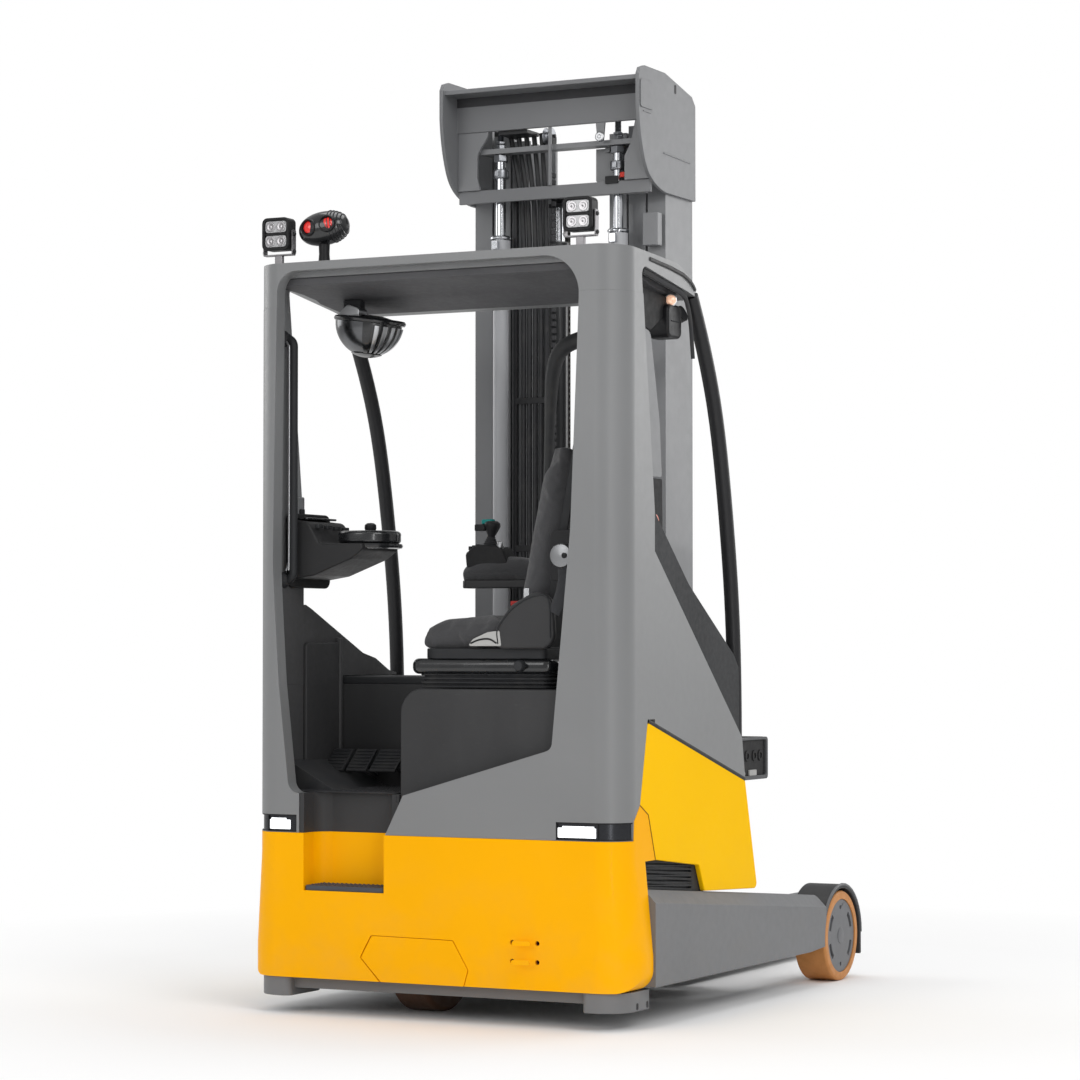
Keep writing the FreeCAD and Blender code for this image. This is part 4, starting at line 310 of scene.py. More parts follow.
# finish: (kind, display values or a paint of the panel, further options of the kind)
FINISHES = {
    # the frame's material slots
    "cover_yellow": (lacquer, ("covers",), 0.38, 0.04, 0.03, 0.015, 0.05),
    "shell_grey": (lacquer, ("cab",), 0.42, 0.55, 0.06, 0.03, 0.35, 0.40),
    "chassis_grey": (lacquer, ("chassis",), 0.46, 0.10, 0.12, 0.05, 0.3),
    "mast_grey": (lacquer, ("mast",), 0.42, 0.15, 0.10, 0.05, 0.35),
    "carriage_black": (lacquer, (34, 34, 36), 0.44, 0.1, 0.14, 0.10, 0.3),
    "dark_plastic": (moulded, (40, 41, 43), 0.55),
    "seat_box_grey": (moulded, (54, 54, 55), 0.50, 480.0),
    "liner_grey": (moulded, (84, 84, 86), 0.66),
    "seat_fabric": (woven, (66, 66, 68)),
    "tread_rubber": (rubbered, (34, 35, 38)),
    "load_tyre_tan": (tread_band, ("load_tyres",)),
    "drive_tyre_brown": (tread_band, (74, 48, 30)),
    "wheel_grey": (lacquer, (104, 105, 108), 0.42, 0.1, 0.12, 0.05, 0.3),
    "cast_dark": (casting, (52, 52, 54)),
    "motor_dark": (casting, (44, 45, 48)),
    "battery_case": (moulded, (58, 60, 63), 0.6),
    "bright_rod": (steel, (214, 216, 220), 0.14),
    "barrel_dark": (lacquer, (40, 41, 43), 0.38, 0.3, 0.10, 0.08),
    "lamp_clear": (lens, (244, 246, 250), 0.6),
    "guard_grey": (lacquer, (50, 51, 53), 0.45, 0.05, 0.12, 0.06, 0.2),
    "lamp_black": (moulded, (22, 22, 24), 0.42, 700.0),
    # finishes of single pieces
    "bar cover": (rubbered, (40, 41, 43), 0.6),
    # painted light: a lighter copy of the mast paint for the lift cylinder barrels, standing for the light
    # they catch
    "barrel grey": (lacquer, (168, 169, 172), 0.36, 0.2, 0.08, 0.04, 0.4),
    "black lining": (moulded, (30, 30, 31), 0.6, 420.0),
    "buckle red": (moulded, (150, 34, 30), 0.45),
    "cab lining": (moulded, (72, 72, 73), 0.58, 420.0),
    "cap red": (moulded, (196, 52, 40), 0.4),
    "console plastic": (moulded, (40, 40, 41), 0.46, 520.0),
    "dark thread": (steel, (96, 98, 102), 0.32),
    "disc red": (lacquer, (206, 108, 84), 0.4, 0.3),
    "gloss black": (glazed, (20, 21, 23), 0.2),
    # painted highlight: a grey lighter than the guard paint, for the trims along the guards' outer rims
    "guard edge": (lacquer, (92, 93, 96), 0.4, 0.1),
    # painted shade: a darker copy of the mast paint for the mast head and its cheek plates
    "head grey": (lacquer, (116, 117, 119), 0.44, 0.12, 0.08, 0.05, 0.3),
    "head shade": (lacquer, (60, 60, 62), 0.5, 0.0, 0.06, 0.05, 0.2),
    "headlight glow": (lens, (250, 252, 255), 1.3),
    "hose cover": (rubbered, (30, 31, 34), 0.5),
    "lamp cup": (steel, (170, 168, 170), 0.25),
    "mirror face": (steel, (104, 105, 107), 0.2),
    "oiled chain": (steel, (84, 82, 80), 0.42, 0.9),
    "pale moulding": (moulded, (170, 170, 168), 0.5),
    "pillar board": (lacquer, (122, 123, 125), 0.5, 0.1),
    "plate white": (lacquer, (228, 226, 222), 0.4, 0.3),
    "pocket grey": (moulded, (58, 58, 59), 0.5, 420.0),
    "red spot glass": (lens, (206, 40, 34), 0.35, 0.16),
    "reel grey": (steel, (150, 151, 153), 0.38),
    "reflector chrome": (steel, (62, 63, 66), 0.24),
    "rim grey": (moulded, (84, 85, 87), 0.45),
    "satin alloy": (steel, (196, 197, 199), 0.34),
    "seam brown": (moulded, (120, 70, 20), 0.7),
    "seat cloth": (woven, (60, 60, 62)),
    "seat shell": (moulded, (50, 50, 51), 0.42, 520.0),
    # painted light: the side covers take the cover paint with green raised, a lit copy that paints them
    # lighter than the rear cover
    "side yellow": (lacquer, ("covers", 1.0, 1.22, 1.0), 0.40, 0.01, 0.03, 0.015, 0.02),
    "sleeve grey": (moulded, (58, 58, 60), 0.5),
    "socket rust": (casting, (84, 34, 22)),
    "teal moulding": (moulded, (18, 128, 124), 0.4),
    "tread slate": (rubbered, (62, 66, 74), 0.6),
    "tyre lip": (tread_band, (226, 168, 104)),
    "warm lamp": (lens, (238, 190, 160), 0.5, 0.2),
    "webbing": (woven, (46, 47, 50), 0.0030),
    "work lamp glass": (lens, (176, 176, 178)),
    "zinc nut": (steel, (150, 152, 156), 0.34),
    "zinc plate": (steel, (150, 148, 150), 0.42),
}
MADE = {}


def tone_of(tone):
    """Linear colour from display values, or from a paint of the panel and a factor for each channel."""
    if not isinstance(tone[0], str):
        return linear(*tone)
    paint = getattr(bpy.context.scene.reach_truck_colours, tone[0])
    factors = tone[1:] or (1.0, 1.0, 1.0)
    return (*(min(1.0, channel * factor) for channel, factor in zip(paint, factors)), 1.0)


def finish(name):
    """Material of a finish, made the first time it is asked for."""
    if name not in MADE:
        kind, tone, *options = FINISHES[name]
        MADE[name] = kind(name, tone_of(tone), *options)
    return MADE[name]


# ------------------------------------------------------------------ mesh kit
WELD = 0.01                   # distance at which points of a work become one
NODE_WELD = 2e-5              # the same in metres, for a frame node
BEVEL_ANGLE = 30.0            # degrees above which an edge is rounded
CREASE_ANGLE = 38.0           # degrees above which an edge is shaded sharp
FACET_ANGLE = 0.4             # degrees below which facets of a node are one face
SLOTS = {entry["node"]: entry["material_slot"] for entry in frame["record"]["subparts"]}


def rounded(points, steps=5):
    """Outline through (u, v) or (u, v, radius) points, with each corner turned in steps."""
    result = []
    count = len(points)
    for index, point in enumerate(points):
        here = Vector(point[:2])
        radius = point[2] if len(point) > 2 else 0.0
        if radius <= 0.0:
            result.append(here)
            continue
        back = (Vector(points[index - 1][:2]) - here).normalized()
        ahead = (Vector(points[(index + 1) % count][:2]) - here).normalized()
        turn = back.angle(ahead)
        reach = radius / math.tan(turn / 2.0)
        centre = here + (back + ahead).normalized() * (radius / math.sin(turn / 2.0))
        first = here + back * reach - centre
        last = here + ahead * reach - centre
        sweep = math.atan2(first.x * last.y - first.y * last.x, first.dot(last))
        for step in range(steps + 1):
            angle = sweep * step / steps
            result.append(centre + Matrix.Rotation(angle, 2) @ first)
    return result


def smooth_path(points, steps=6):
    """Points along a Catmull-Rom curve through (x, y, z) stations."""
    spots = [Vector(p) for p in points]
    padded = [spots[0] * 2 - spots[1]] + spots + [spots[-1] * 2 - spots[-2]]
    line = []
    for i in range(1, len(padded) - 2):
        a, b, c, d = padded[i - 1:i + 3]
        for step in range(steps):
            t = step / steps
            bend = (2 * a - 5 * b + 4 * c - d) * t * t
            line.append(0.5 * ((2 * b) + (c - a) * t + bend + (3 * b - a - 3 * c + d) * t * t * t))
    line.append(spots[-1])
    return line


def carrier(axis):
    """Function that sets an outline's point (u, v) at a place w along an axis."""
    return {"x": lambda p, w: (w, p[0], p[1]), "y": lambda p, w: (p[0], w, p[1]),
            "z": lambda p, w: (p[0], p[1], w)}[axis]


def spokes(axis, count):
    """Unit vector along an axis, and a count of unit vectors round it."""
    lift = Vector(axis).normalized()
    side = lift.orthogonal().normalized()
    third = lift.cross(side)
    turns = [2 * math.pi * i / count for i in range(count)]
    return lift, [side * math.cos(turn) + third * math.sin(turn) for turn in turns]


def box_outline(u0, u1, v0, v1, radius):
    """Corners of a rectangle, each with its rounding."""
    return [(u0, v0, radius), (u1, v0, radius), (u1, v1, radius), (u0, v1, radius)]


class Work:
    """Mesh under construction, in millimetres off the drive-end face."""

    def __init__(self):
        self.bm = bmesh.new()

    def bridge(self, lower, upper):
        """Faces between two rings of vertices."""
        for i in range(len(lower)):
            j = (i + 1) % len(lower)
            self.bm.faces.new((lower[i], lower[j], upper[j], upper[i]))

    def rows(self, loops):
        """Rings of vertices, each joined to the one before it."""
        rows = [[self.bm.verts.new(p) for p in loop] for loop in loops]
        for lower, upper in zip(rows, rows[1:]):
            self.bridge(lower, upper)
        return rows

    def skin(self, loops):
        """Join rings of points into a skin with end caps."""
        rows = self.rows(loops)
        self.bm.faces.new(list(reversed(rows[0])))
        self.bm.faces.new(rows[-1])
        return self

    def band(self, loops):
        """Join rings of points, and the last ring to the first."""
        rows = self.rows(loops)
        self.bridge(rows[-1], rows[0])
        return self

    def prism(self, outline, axis, a, b):
        """Outline in the plane across an axis, carried from a to b along it."""
        spread, flat = carrier(axis), rounded(outline)
        return self.skin([[spread(p, w) for p in flat] for w in (a, b)])

    def block(self, x0, x1, y0, y1, z0, z1, radius=0.0, axis="z"):
        """Box with four rounded edges along one axis."""
        (u0, u1), (v0, v1), (a, b) = {"x": ((y0, y1), (z0, z1), (x0, x1)),
                                      "y": ((x0, x1), (z0, z1), (y0, y1)),
                                      "z": ((x0, x1), (y0, y1), (z0, z1))}[axis]
        return self.prism(box_outline(u0, u1, v0, v1, radius), axis, a, b)

    def turned(self, profile, centre, axis=(0, 0, 1), count=32):
        """Solid of revolution from (radius, height) pairs about an axis through the centre."""
        lift, outs = spokes(axis, count)
        return self.skin([[Vector(centre) + lift * height + out * max(radius, 0.02) for out in outs]
                          for radius, height in profile])

    def hoop(self, outer, inner, axis, a, b):
        """Frame between two outlines with the same number of points, from a to b along an axis."""
        spread = carrier(axis)
        return self.band([[spread(p, w) for p in line]
                          for line, w in ((outer, a), (outer, b), (inner, b), (inner, a))])

    def ring(self, centre, axis, section, count=36):
        """Ring about an axis from a closed section of (radius, height) pairs."""
        lift, outs = spokes(axis, count)
        return self.band([[Vector(centre) + out * radius + lift * height for radius, height in section]
                          for out in outs])

    def flipped(self):
        """The same mesh mirrored to the truck's other side."""
        for vertex in self.bm.verts:
            vertex.co.x = -vertex.co.x
        bmesh.ops.reverse_faces(self.bm, faces=self.bm.faces)
        return self

    def tube(self, path, radius, sides=12, squeeze=1.0, flat=None):
        """Round or oval bar along a line of points."""
        line = [Vector(p) for p in path]
        heading = (line[1] - line[0]).normalized()
        side = Vector(flat).normalized() if flat else heading.orthogonal().normalized()
        loops = []
        for i, spot in enumerate(line):
            before = line[max(i - 1, 0)]
            after = line[min(i + 1, len(line) - 1)]
            heading = (after - before).normalized()
            side = (side - heading * side.dot(heading)).normalized()
            third = heading.cross(side)
            thick = radius[i] if isinstance(radius, (list, tuple)) else radius
            turns = [2 * math.pi * k / sides for k in range(sides)]
            loops.append([spot + side * math.cos(turn) * thick + third * math.sin(turn) * thick * squeeze
                          for turn in turns])
        return self.skin(loops)

    def moved(self, matrix):
        """The same mesh, turned and shifted by a matrix."""
        bmesh.ops.transform(self.bm, matrix=matrix, verts=self.bm.verts)
        return self

    def take(self, other):
        """Add another work's mesh to this one."""
        spare = bpy.data.meshes.new("spare")
        other.bm.to_mesh(spare)
        self.bm.from_mesh(spare)
        bpy.data.meshes.remove(spare)
        return self

    def mirrored(self):
        """The same mesh on the truck's other side as well."""
        before = len(self.bm.faces)
        self.take(self)
        self.bm.faces.ensure_lookup_table()
        fresh = self.bm.faces[before:]
        for vertex in {v for face in fresh for v in face.verts}:
            vertex.co.x = -vertex.co.x
        bmesh.ops.reverse_faces(self.bm, faces=fresh)
        return self


def plain_mesh(thing):
    """Apply all modifiers of an object and leave a plain mesh on it."""
    bpy.context.view_layer.update()
    graph = bpy.context.evaluated_depsgraph_get()
    made = bpy.data.meshes.new_from_object(thing.evaluated_get(graph), depsgraph=graph)
    old = thing.data
    thing.modifiers.clear()
    thing.data = made
    bpy.data.meshes.remove(old)
    return thing


def link(name, mesh):
    """New object of the scene with a mesh."""
    thing = bpy.data.objects.new(name, mesh)
    bpy.context.scene.collection.objects.link(thing)
    return thing


def placed(name, work):
    """New object from a finished work, welded and set in the row frame."""
    bmesh.ops.remove_doubles(work.bm, verts=work.bm.verts, dist=WELD)
    bmesh.ops.recalc_face_normals(work.bm, faces=work.bm.faces)
    for vertex in work.bm.verts:
        vertex.co = at(*vertex.co)
    mesh = bpy.data.meshes.new(name)
    work.bm.to_mesh(mesh)
    work.bm.free()
    return link(name, mesh)


def eased(thing, width, segments=2):
    """Round off the sharp edges and give the faces weighted shading."""
    if width > 0.0:
        edge = thing.modifiers.new("edge", "BEVEL")
        edge.width = width / 1000.0
        edge.segments = segments
        edge.limit_method = "ANGLE"
        edge.angle_limit = math.radians(BEVEL_ANGLE)
        edge.use_clamp_overlap = True
        edge.miter_outer = "MITER_ARC"
        plain_mesh(thing)
    thing.data.shade_smooth()
    thing.data.set_sharp_from_angle(angle=math.radians(CREASE_ANGLE))
    even = thing.modifiers.new("even", "WEIGHTED_NORMAL")
    even.keep_sharp = True
    even.weight = 60
    return plain_mesh(thing)


def dressed(thing, tone, body, slot, *stands_for):
    """Give a finished piece its finish, the body it rides on and the nodes it stands for."""
    thing.data.materials.clear()
    thing.data.materials.append(finish(tone))
    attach(thing, body)
    if stands_for:
        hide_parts(*stands_for)
    return thing


def piece(name, work, body, slot, tone=None, width=0.0, segments=2, replaces=()):
    """Turn a finished work into a piece of the truck; the tone is a finish other than the slot's."""
    return dressed(eased(placed(name, work), width, segments), tone or slot, body, slot, *replaces)


def softened(node, width, segments=2, tone=None):
    """Copy of a frame node with merged facets and rounded edges, which stands for it."""
    source = frame["nodes"][node]
    bm = bmesh.new()
    bm.from_mesh(source.data)
    bmesh.ops.remove_doubles(bm, verts=bm.verts, dist=NODE_WELD)
    bmesh.ops.dissolve_degenerate(bm, edges=bm.edges, dist=NODE_WELD / 2.0)
    bmesh.ops.dissolve_limit(bm, angle_limit=math.radians(FACET_ANGLE), verts=bm.verts, edges=bm.edges)
    bmesh.ops.recalc_face_normals(bm, faces=bm.faces)
    title = node + "_finished"
    mesh = bpy.data.meshes.new(title)
    bm.to_mesh(mesh)
    bm.free()
    thing = eased(link(title, mesh), width, segments)
    return dressed(thing, tone or SLOTS[node], source["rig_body"], SLOTS[node], node)


# ------------------------------------------------------------------ geometry node kit
class Grow:
    """Builds one named Geometry Nodes tree with named inputs."""

    def __init__(self, name, inputs):
        self.tree = bpy.data.node_groups.new(name, "GeometryNodeTree")
        self.tree.interface.new_socket("Geometry", in_out="OUTPUT", socket_type="NodeSocketGeometry")
        self.sockets = {}
        for title, kind in inputs.items():
            made = self.tree.interface.new_socket(title, in_out="INPUT", socket_type="NodeSocket" + kind)
            self.sockets[title] = made.identifier
        self.source = self.tree.nodes.new("NodeGroupInput")

    def node(self, kind, settings=None, values=None, output=0):
        made = self.tree.nodes.new(kind)
        for key, value in (settings or {}).items():
            setattr(made, key, value)
        for key, value in (values or {}).items():
            if isinstance(value, bpy.types.NodeSocket):
                self.tree.links.new(value, made.inputs[key])
            elif isinstance(value, list):
                for one in value:
                    self.tree.links.new(one, made.inputs[key])
            else:
                made.inputs[key].default_value = value
        return made.outputs[output]

    def given(self, title):
        """Socket of one of the tree's inputs."""
        return self.source.outputs[title]

    def line(self):
        """Points set out from the Start input by the Step input."""
        return self.node("GeometryNodeMeshLine", {"mode": "OFFSET"},
                         {"Count": self.given("Count"), "Start Location": self.given("Start"),
                          "Offset": self.given("Step")})

    def close(self, geometry):
        """End the tree with real geometry and its finish."""
        real = self.node("GeometryNodeRealizeInstances", {}, {0: geometry})
        dressed_mesh = self.node("GeometryNodeSetMaterial", {},
                                 {"Geometry": real, "Material": self.given("Finish")})
        end = self.tree.nodes.new("NodeGroupOutput")
        self.tree.links.new(dressed_mesh, end.inputs[0])
        return self


GROWN = {}


def bolt_tree():
    """Bolts at the points of a mesh: round washer, hexagon head and a low dome."""
    g = Grow("bolt heads",
             {"Points": "Geometry", "Across": "Float", "Height": "Float", "Turn": "Rotation",
              "Finish": "Material"})
    washer = g.node("GeometryNodeMeshCylinder", {}, {"Vertices": 20, "Radius": 0.62, "Depth": 0.24})
    head = g.node("GeometryNodeMeshCylinder", {}, {"Vertices": 6, "Radius": 0.5, "Depth": 0.9})
    head = g.node("GeometryNodeTransform", {}, {"Geometry": head, "Translation": (0.0, 0.0, 0.5)})
    crown = g.node("GeometryNodeMeshCone", {},
                   {"Vertices": 12, "Radius Top": 0.22, "Radius Bottom": 0.40, "Depth": 0.12})
    crown = g.node("GeometryNodeTransform", {}, {"Geometry": crown, "Translation": (0.0, 0.0, 0.94)})
    bolt = g.node("GeometryNodeJoinGeometry", {}, {0: [washer, head, crown]})
    size = g.node("ShaderNodeCombineXYZ", {},
                  {0: g.given("Across"), 1: g.given("Across"), 2: g.given("Height")})
    spots = g.node("GeometryNodeInstanceOnPoints", {},
                   {"Points": g.given("Points"), "Instance": bolt, "Rotation": g.given("Turn"),
                    "Scale": size})
    return g.close(spots)


def bar_tree():
    """Row of slats with soft ends: a count of bars set out along a line."""
    g = Grow("slat row",
             {"Count": "Int", "Start": "Vector", "Step": "Vector", "Size": "Vector", "Tilt": "Rotation",
              "Finish": "Material"})
    slat = g.node("GeometryNodeMeshCube", {},
                  {"Size": (1.0, 1.0, 1.0), "Vertices X": 2, "Vertices Y": 2, "Vertices Z": 2})
    spots = g.node("GeometryNodeInstanceOnPoints", {},
                   {"Points": g.line(), "Instance": slat, "Rotation": g.given("Tilt"),
                    "Scale": g.given("Size")})
    return g.close(spots)


def stud_tree():
    """Field of anti-slip studs: a grid of low cones."""
    g = Grow("stud field",
             {"Width": "Float", "Depth": "Float", "Across": "Int", "Deep": "Int", "Centre": "Vector",
              "Radius": "Float", "Height": "Float", "Finish": "Material"})
    grid = g.node("GeometryNodeMeshGrid", {},
                  {"Size X": g.given("Width"), "Size Y": g.given("Depth"), "Vertices X": g.given("Across"),
                   "Vertices Y": g.given("Deep")})
    grid = g.node("GeometryNodeTransform", {}, {"Geometry": grid, "Translation": g.given("Centre")})
    stud = g.node("GeometryNodeMeshCone", {},
                  {"Vertices": 8, "Radius Top": 0.7, "Radius Bottom": 1.0, "Depth": 1.0})
    size = g.node("ShaderNodeCombineXYZ", {},
                  {0: g.given("Radius"), 1: g.given("Radius"), 2: g.given("Height")})
    spots = g.node("GeometryNodeInstanceOnPoints", {}, {"Points": grid, "Instance": stud, "Scale": size})
    return g.close(spots)


def link_tree():
    """Leaf chain: pairs of waisted plates and through pins along a straight run."""
    g = Grow("leaf chain",
             {"Count": "Int", "Start": "Vector", "Step": "Vector", "Length": "Float", "Width": "Float",
              "Finish": "Material"})
    plates = []
    for side, lift, reach in ((-0.42, 0.0, 0.34), (-0.21, 0.5, 0.31), (0.0, 0.0, 0.34), (0.21, 0.5, 0.31),
                              (0.42, 0.0, 0.34)):
        plate = g.node("GeometryNodeMeshCylinder", {}, {"Vertices": 10, "Radius": 1.0, "Depth": 0.16})
        plate = g.node("GeometryNodeTransform", {},
                       {"Geometry": plate, "Rotation": (0.0, math.pi / 2.0, 0.0),
                        "Scale": (1.0, reach, 1.0), "Translation": (side, 0.0, lift)})
        plates.append(plate)
    pin = g.node("GeometryNodeMeshCylinder", {}, {"Vertices": 8, "Radius": 0.14, "Depth": 1.1})
    pin = g.node("GeometryNodeTransform", {}, {"Geometry": pin, "Rotation": (0.0, math.pi / 2.0, 0.0)})
    unit = g.node("GeometryNodeJoinGeometry", {}, {0: plates + [pin]})
    size = g.node("ShaderNodeCombineXYZ", {},
                  {0: g.given("Width"), 1: g.given("Length"), 2: g.given("Length")})
    spots = g.node("GeometryNodeInstanceOnPoints", {},
                   {"Points": g.line(), "Instance": unit, "Scale": size})
    return g.close(spots)


def grown(name, tree_maker, body, slot, tone=None, points=None, **inputs):
    """Piece made by a Geometry Nodes tree, turned into a plain mesh."""
    if tree_maker not in GROWN:
        GROWN[tree_maker] = tree_maker()
    recipe = GROWN[tree_maker]
    mesh = bpy.data.meshes.new(name)
    if points:
        mesh.from_pydata([at(*p) for p in points], [], [])
    thing = link(name, mesh)
    maker = thing.modifiers.new("grow", "NODES")
    maker.node_group = recipe.tree
    for title, value in {"Finish": finish(tone or slot), **inputs}.items():
        maker[recipe.sockets[title]] = value
    plain_mesh(thing)
    thing.data.shade_smooth()
    thing.data.set_sharp_from_angle(angle=math.radians(CREASE_ANGLE))
    return dressed(thing, tone or slot, body, slot)


def bolts(name, points, body, turn=(0.0, 0.0, 0.0), across=18.0, height=7.0, slot="cast_dark"):
    """Bolt heads at points, their axis turned from upright."""
    return grown(name, bolt_tree, body, slot, None, points, Across=across / 1000.0, Height=height / 1000.0,
                 Turn=turn)


def slats(name, count, start, step, size, body, slot, tilt=(0.0, 0.0, 0.0)):
    """Row of slats from a start point, in millimetres."""
    return grown(name, bar_tree, body, slot, Count=count, Start=at(*start), Step=Vector(step) / 1000.0,
                 Size=Vector(size) / 1000.0, Tilt=tilt)


# ------------------------------------------------------------------ frame nodes
# node: (edge rounding in millimetres, segments)
EDGES = {
    "base_plate": (3.0, 2), "chassis_box": (1.5, 1), "battery": (4.0, 2), "battery_lid": (2.0, 2),
    "wheel_arms": (3.5, 3), "reach_channels": (2.0, 2), "wheel_guards": (3.5, 3), "load_axles": (1.5, 2),
    "load_hub_right": (1.6, 2), "load_tyre_right": (1.5, 2), "load_hub_left": (1.6, 2),
    "load_tyre_left": (1.5, 2), "drive_gearbox": (2.5, 2), "drive_motor": (2.0, 2), "drive_hub": (1.6, 2),
    "drive_tyre": (1.5, 2), "rear_cover": (4.0, 3), "service_flap": (2.2, 3), "side_covers": (3.2, 3),
    "cooling_grilles": (0.8, 1), "rear_wall_right": (4.0, 3), "rear_wall_left": (4.0, 3),
    "foot_well": (2.5, 2), "seat_box": (6.0, 3), "side_panels": (3.2, 3), "window_panel": (2.2, 2),
    "roof": (5.0, 3), "roof_liner": (3.0, 2), "front_posts": (0.0, 1), "pedals": (2.0, 2),
    "outer_mast": (1.8, 2), "mast_head": (1.8, 2), "lift_cylinders": (1.2, 2),
    "lift_cylinder_rods": (0.8, 1), "middle_mast": (1.6, 2), "inner_mast": (0.0, 1),
    "lift_carriage": (1.8, 2), "side_shift_frame": (3.0, 2), "forks": (2.0, 2), "reach_carriage": (2.0, 2),
    "reach_cylinder": (1.2, 2), "reach_cylinder_rod": (0.8, 1), "tilt_cylinders": (1.2, 2),
    "tilt_cylinder_rods": (0.8, 1), "seat_pan": (3.0, 2), "grab_handle": (0.0, 1),
}
# side covers and lift cylinder barrels take lit copies of their paints (painted light); the mast head takes
# a darker copy (painted shade)
LIT_AND_SHADED_COPIES = {"side_covers": "side yellow", "lift_cylinders": "barrel grey", "mast_head": "head grey"}


def soften_frame():
    """Round the edges of the frame's own pieces and paint the few that differ from their slot: lit and
    shaded copies of the cover and mast paints, which is painted light and painted shade.
    """
    for node, (width, segments) in EDGES.items():
        softened(node, width, segments, LIT_AND_SHADED_COPIES.get(node))


# ------------------------------------------------------------------ stage
WHITE = (1.0, 1.0, 1.0, 1.0)
CAMERA_SPOT = (4.3886, -9.1377, 1.0756)
CAMERA_RISE = 1.859           # degrees above level
CAMERA_TURN = 26.959          # degrees off the truck's length
FLOOR_RINGS = (0.6, 1.5, 3.0, 6.0, 14.0, 40.0)
# light: (power setting, place, aim, size)
SOFTBOXES = {
    "key_softbox": ("key", (5.6, -4.2, 5.4), (0.0, -0.2, 1.1), (3.4, 3.4)),
    "rear_softbox": ("rear", (-1.6, -7.0, 3.6), (-0.1, -0.9, 1.2), (3.2, 3.2)),
    "left_softbox": ("left", (-5.2, -0.4, 3.4), (-0.2, -0.4, 1.2), (2.6, 3.4)),
    "top_softbox": ("top", (0.2, 0.2, 6.4), (0.0, 0.0, 1.0), (4.6, 4.6)),
    "fork_softbox": ("forks", (3.6, 5.4, 3.0), (0.2, 0.4, 0.9), (3.0, 3.0)),
    "strip_softbox": ("strip", (4.8, -6.2, 1.5), (0.6, -1.1, 1.3), (0.6, 3.0)),
}


def set_camera(scene):
    """Camera at eye height off the truck's right rear corner."""
    optics = bpy.data.cameras.new("camera")
    optics.lens = 106.0
    optics.sensor_width = 36.0
    optics.clip_end = 100.0
    camera = bpy.data.objects.new("camera", optics)
    scene.collection.objects.link(camera)
    camera.location = CAMERA_SPOT
    camera.rotation_euler = (math.radians(90.0 + CAMERA_RISE), 0.0, math.radians(CAMERA_TURN))
    scene.camera = camera


def set_air(scene, strength):
    """Even white light from all round, and plain white wherever the air itself is seen."""
    world = bpy.data.worlds.new("studio air")
    world.use_nodes = True
    tree = world.node_tree
    tree.nodes.clear()
    path = tree.nodes.new("ShaderNodeLightPath")
    seen = tree.nodes.new("ShaderNodeMath")
    seen.operation = "MAXIMUM"
    tree.links.new(path.outputs["Is Camera Ray"], seen.inputs[0])
    tree.links.new(path.outputs["Is Transmission Ray"], seen.inputs[1])
    mix = tree.nodes.new("ShaderNodeMixShader")
    tree.links.new(seen.outputs[0], mix.inputs[0])
    for socket, level in ((1, strength), (2, 1.0)):
        air = tree.nodes.new("ShaderNodeBackground")
        air.inputs["Color"].default_value = WHITE
        air.inputs["Strength"].default_value = level
        tree.links.new(air.outputs[0], mix.inputs[socket])
    output = tree.nodes.new("ShaderNodeOutputWorld")
    tree.links.new(mix.outputs[0], output.inputs[0])
    scene.world = world


def set_floor(shadow_reach):
    """Pale floor in rings that takes a shadow near the truck and fades to plain white."""
    bm = bmesh.new()
    rings = []
    for radius in FLOOR_RINGS:
        rings.append([bm.verts.new((radius * math.cos(math.radians(a)), radius * math.sin(math.radians(a)),
                                    0.0)) for a in range(0, 360, 6)])
    bm.faces.new(rings[0])
    for inner, outer in zip(rings, rings[1:]):
        for i in range(len(inner)):
            j = (i + 1) % len(inner)
            bm.faces.new((inner[i], outer[i], outer[j], inner[j]))
    for face in bm.faces:
        if face.normal.z < 0.0:
            face.normal_flip()
    mesh = bpy.data.meshes.new("studio_floor")
    bm.to_mesh(mesh)
    bm.free()
    floor = link("studio_floor", mesh)
    f = Finish("pale studio floor")
    x, y = f.axis("X"), f.axis("Y")
    away = (x * x + y * y) ** 0.5
    speckle = f.noise(30.0, 3.0).fade(0.3, 0.7, 0.985, 1.0)
    tone = f.blend((0.86, 0.86, 0.86, 1.0), (0.9, 0.9, 0.9, 1.0), speckle)
    matt = f.node("ShaderNodeBsdfDiffuse", {}, {"Color": tone})
    white = f.node("ShaderNodeEmission", {}, {"Color": WHITE, "Strength": 1.0})
    seen = f.node("ShaderNodeLightPath", {}, {}, "Is Camera Ray")
    share = away.fade(shadow_reach * 0.55, shadow_reach)
    floor.data.materials.append(f.end(f.node("ShaderNodeMixShader", {},
                                             {0: share * seen, 1: matt, 2: white})))


def build_stage():
    """Camera, air, floor and softboxes."""
    look = bpy.context.scene.reach_truck_stage
    scene = bpy.context.scene
    scene.view_settings.view_transform = "Standard"
    set_camera(scene)
    set_air(scene, look.air)
    set_floor(look.shadow_reach)
    for name, (setting, spot, aim, size) in SOFTBOXES.items():
        lamp = bpy.data.lights.new(name, "AREA")
        lamp.shape = "RECTANGLE"
        lamp.size, lamp.size_y = size
        lamp.energy = getattr(look, setting)
        thing = bpy.data.objects.new(name, lamp)
        thing.location = spot
        thing.rotation_euler = (Vector(aim) - Vector(spot)).to_track_quat("-Z", "Y").to_euler()
        scene.collection.objects.link(thing)


# ------------------------------------------------------------------ lamps
BODY_HALF = reach_of("rear_wall_right")[1].x
WALL = 46.0                   # from the body's side to the cab's inside
INNER = BODY_HALF - WALL
CORNER_R = 90.0               # rounding of the body's rear corners, in plan
BATTERY_END = 856.0           # far edge of the side covers
ROOF_HIGH = reach_of("roof")[1].z
LAMP_LOW = reach_of("headlights")[0].z
LAMP_HIGH = reach_of("headlights")[1].z


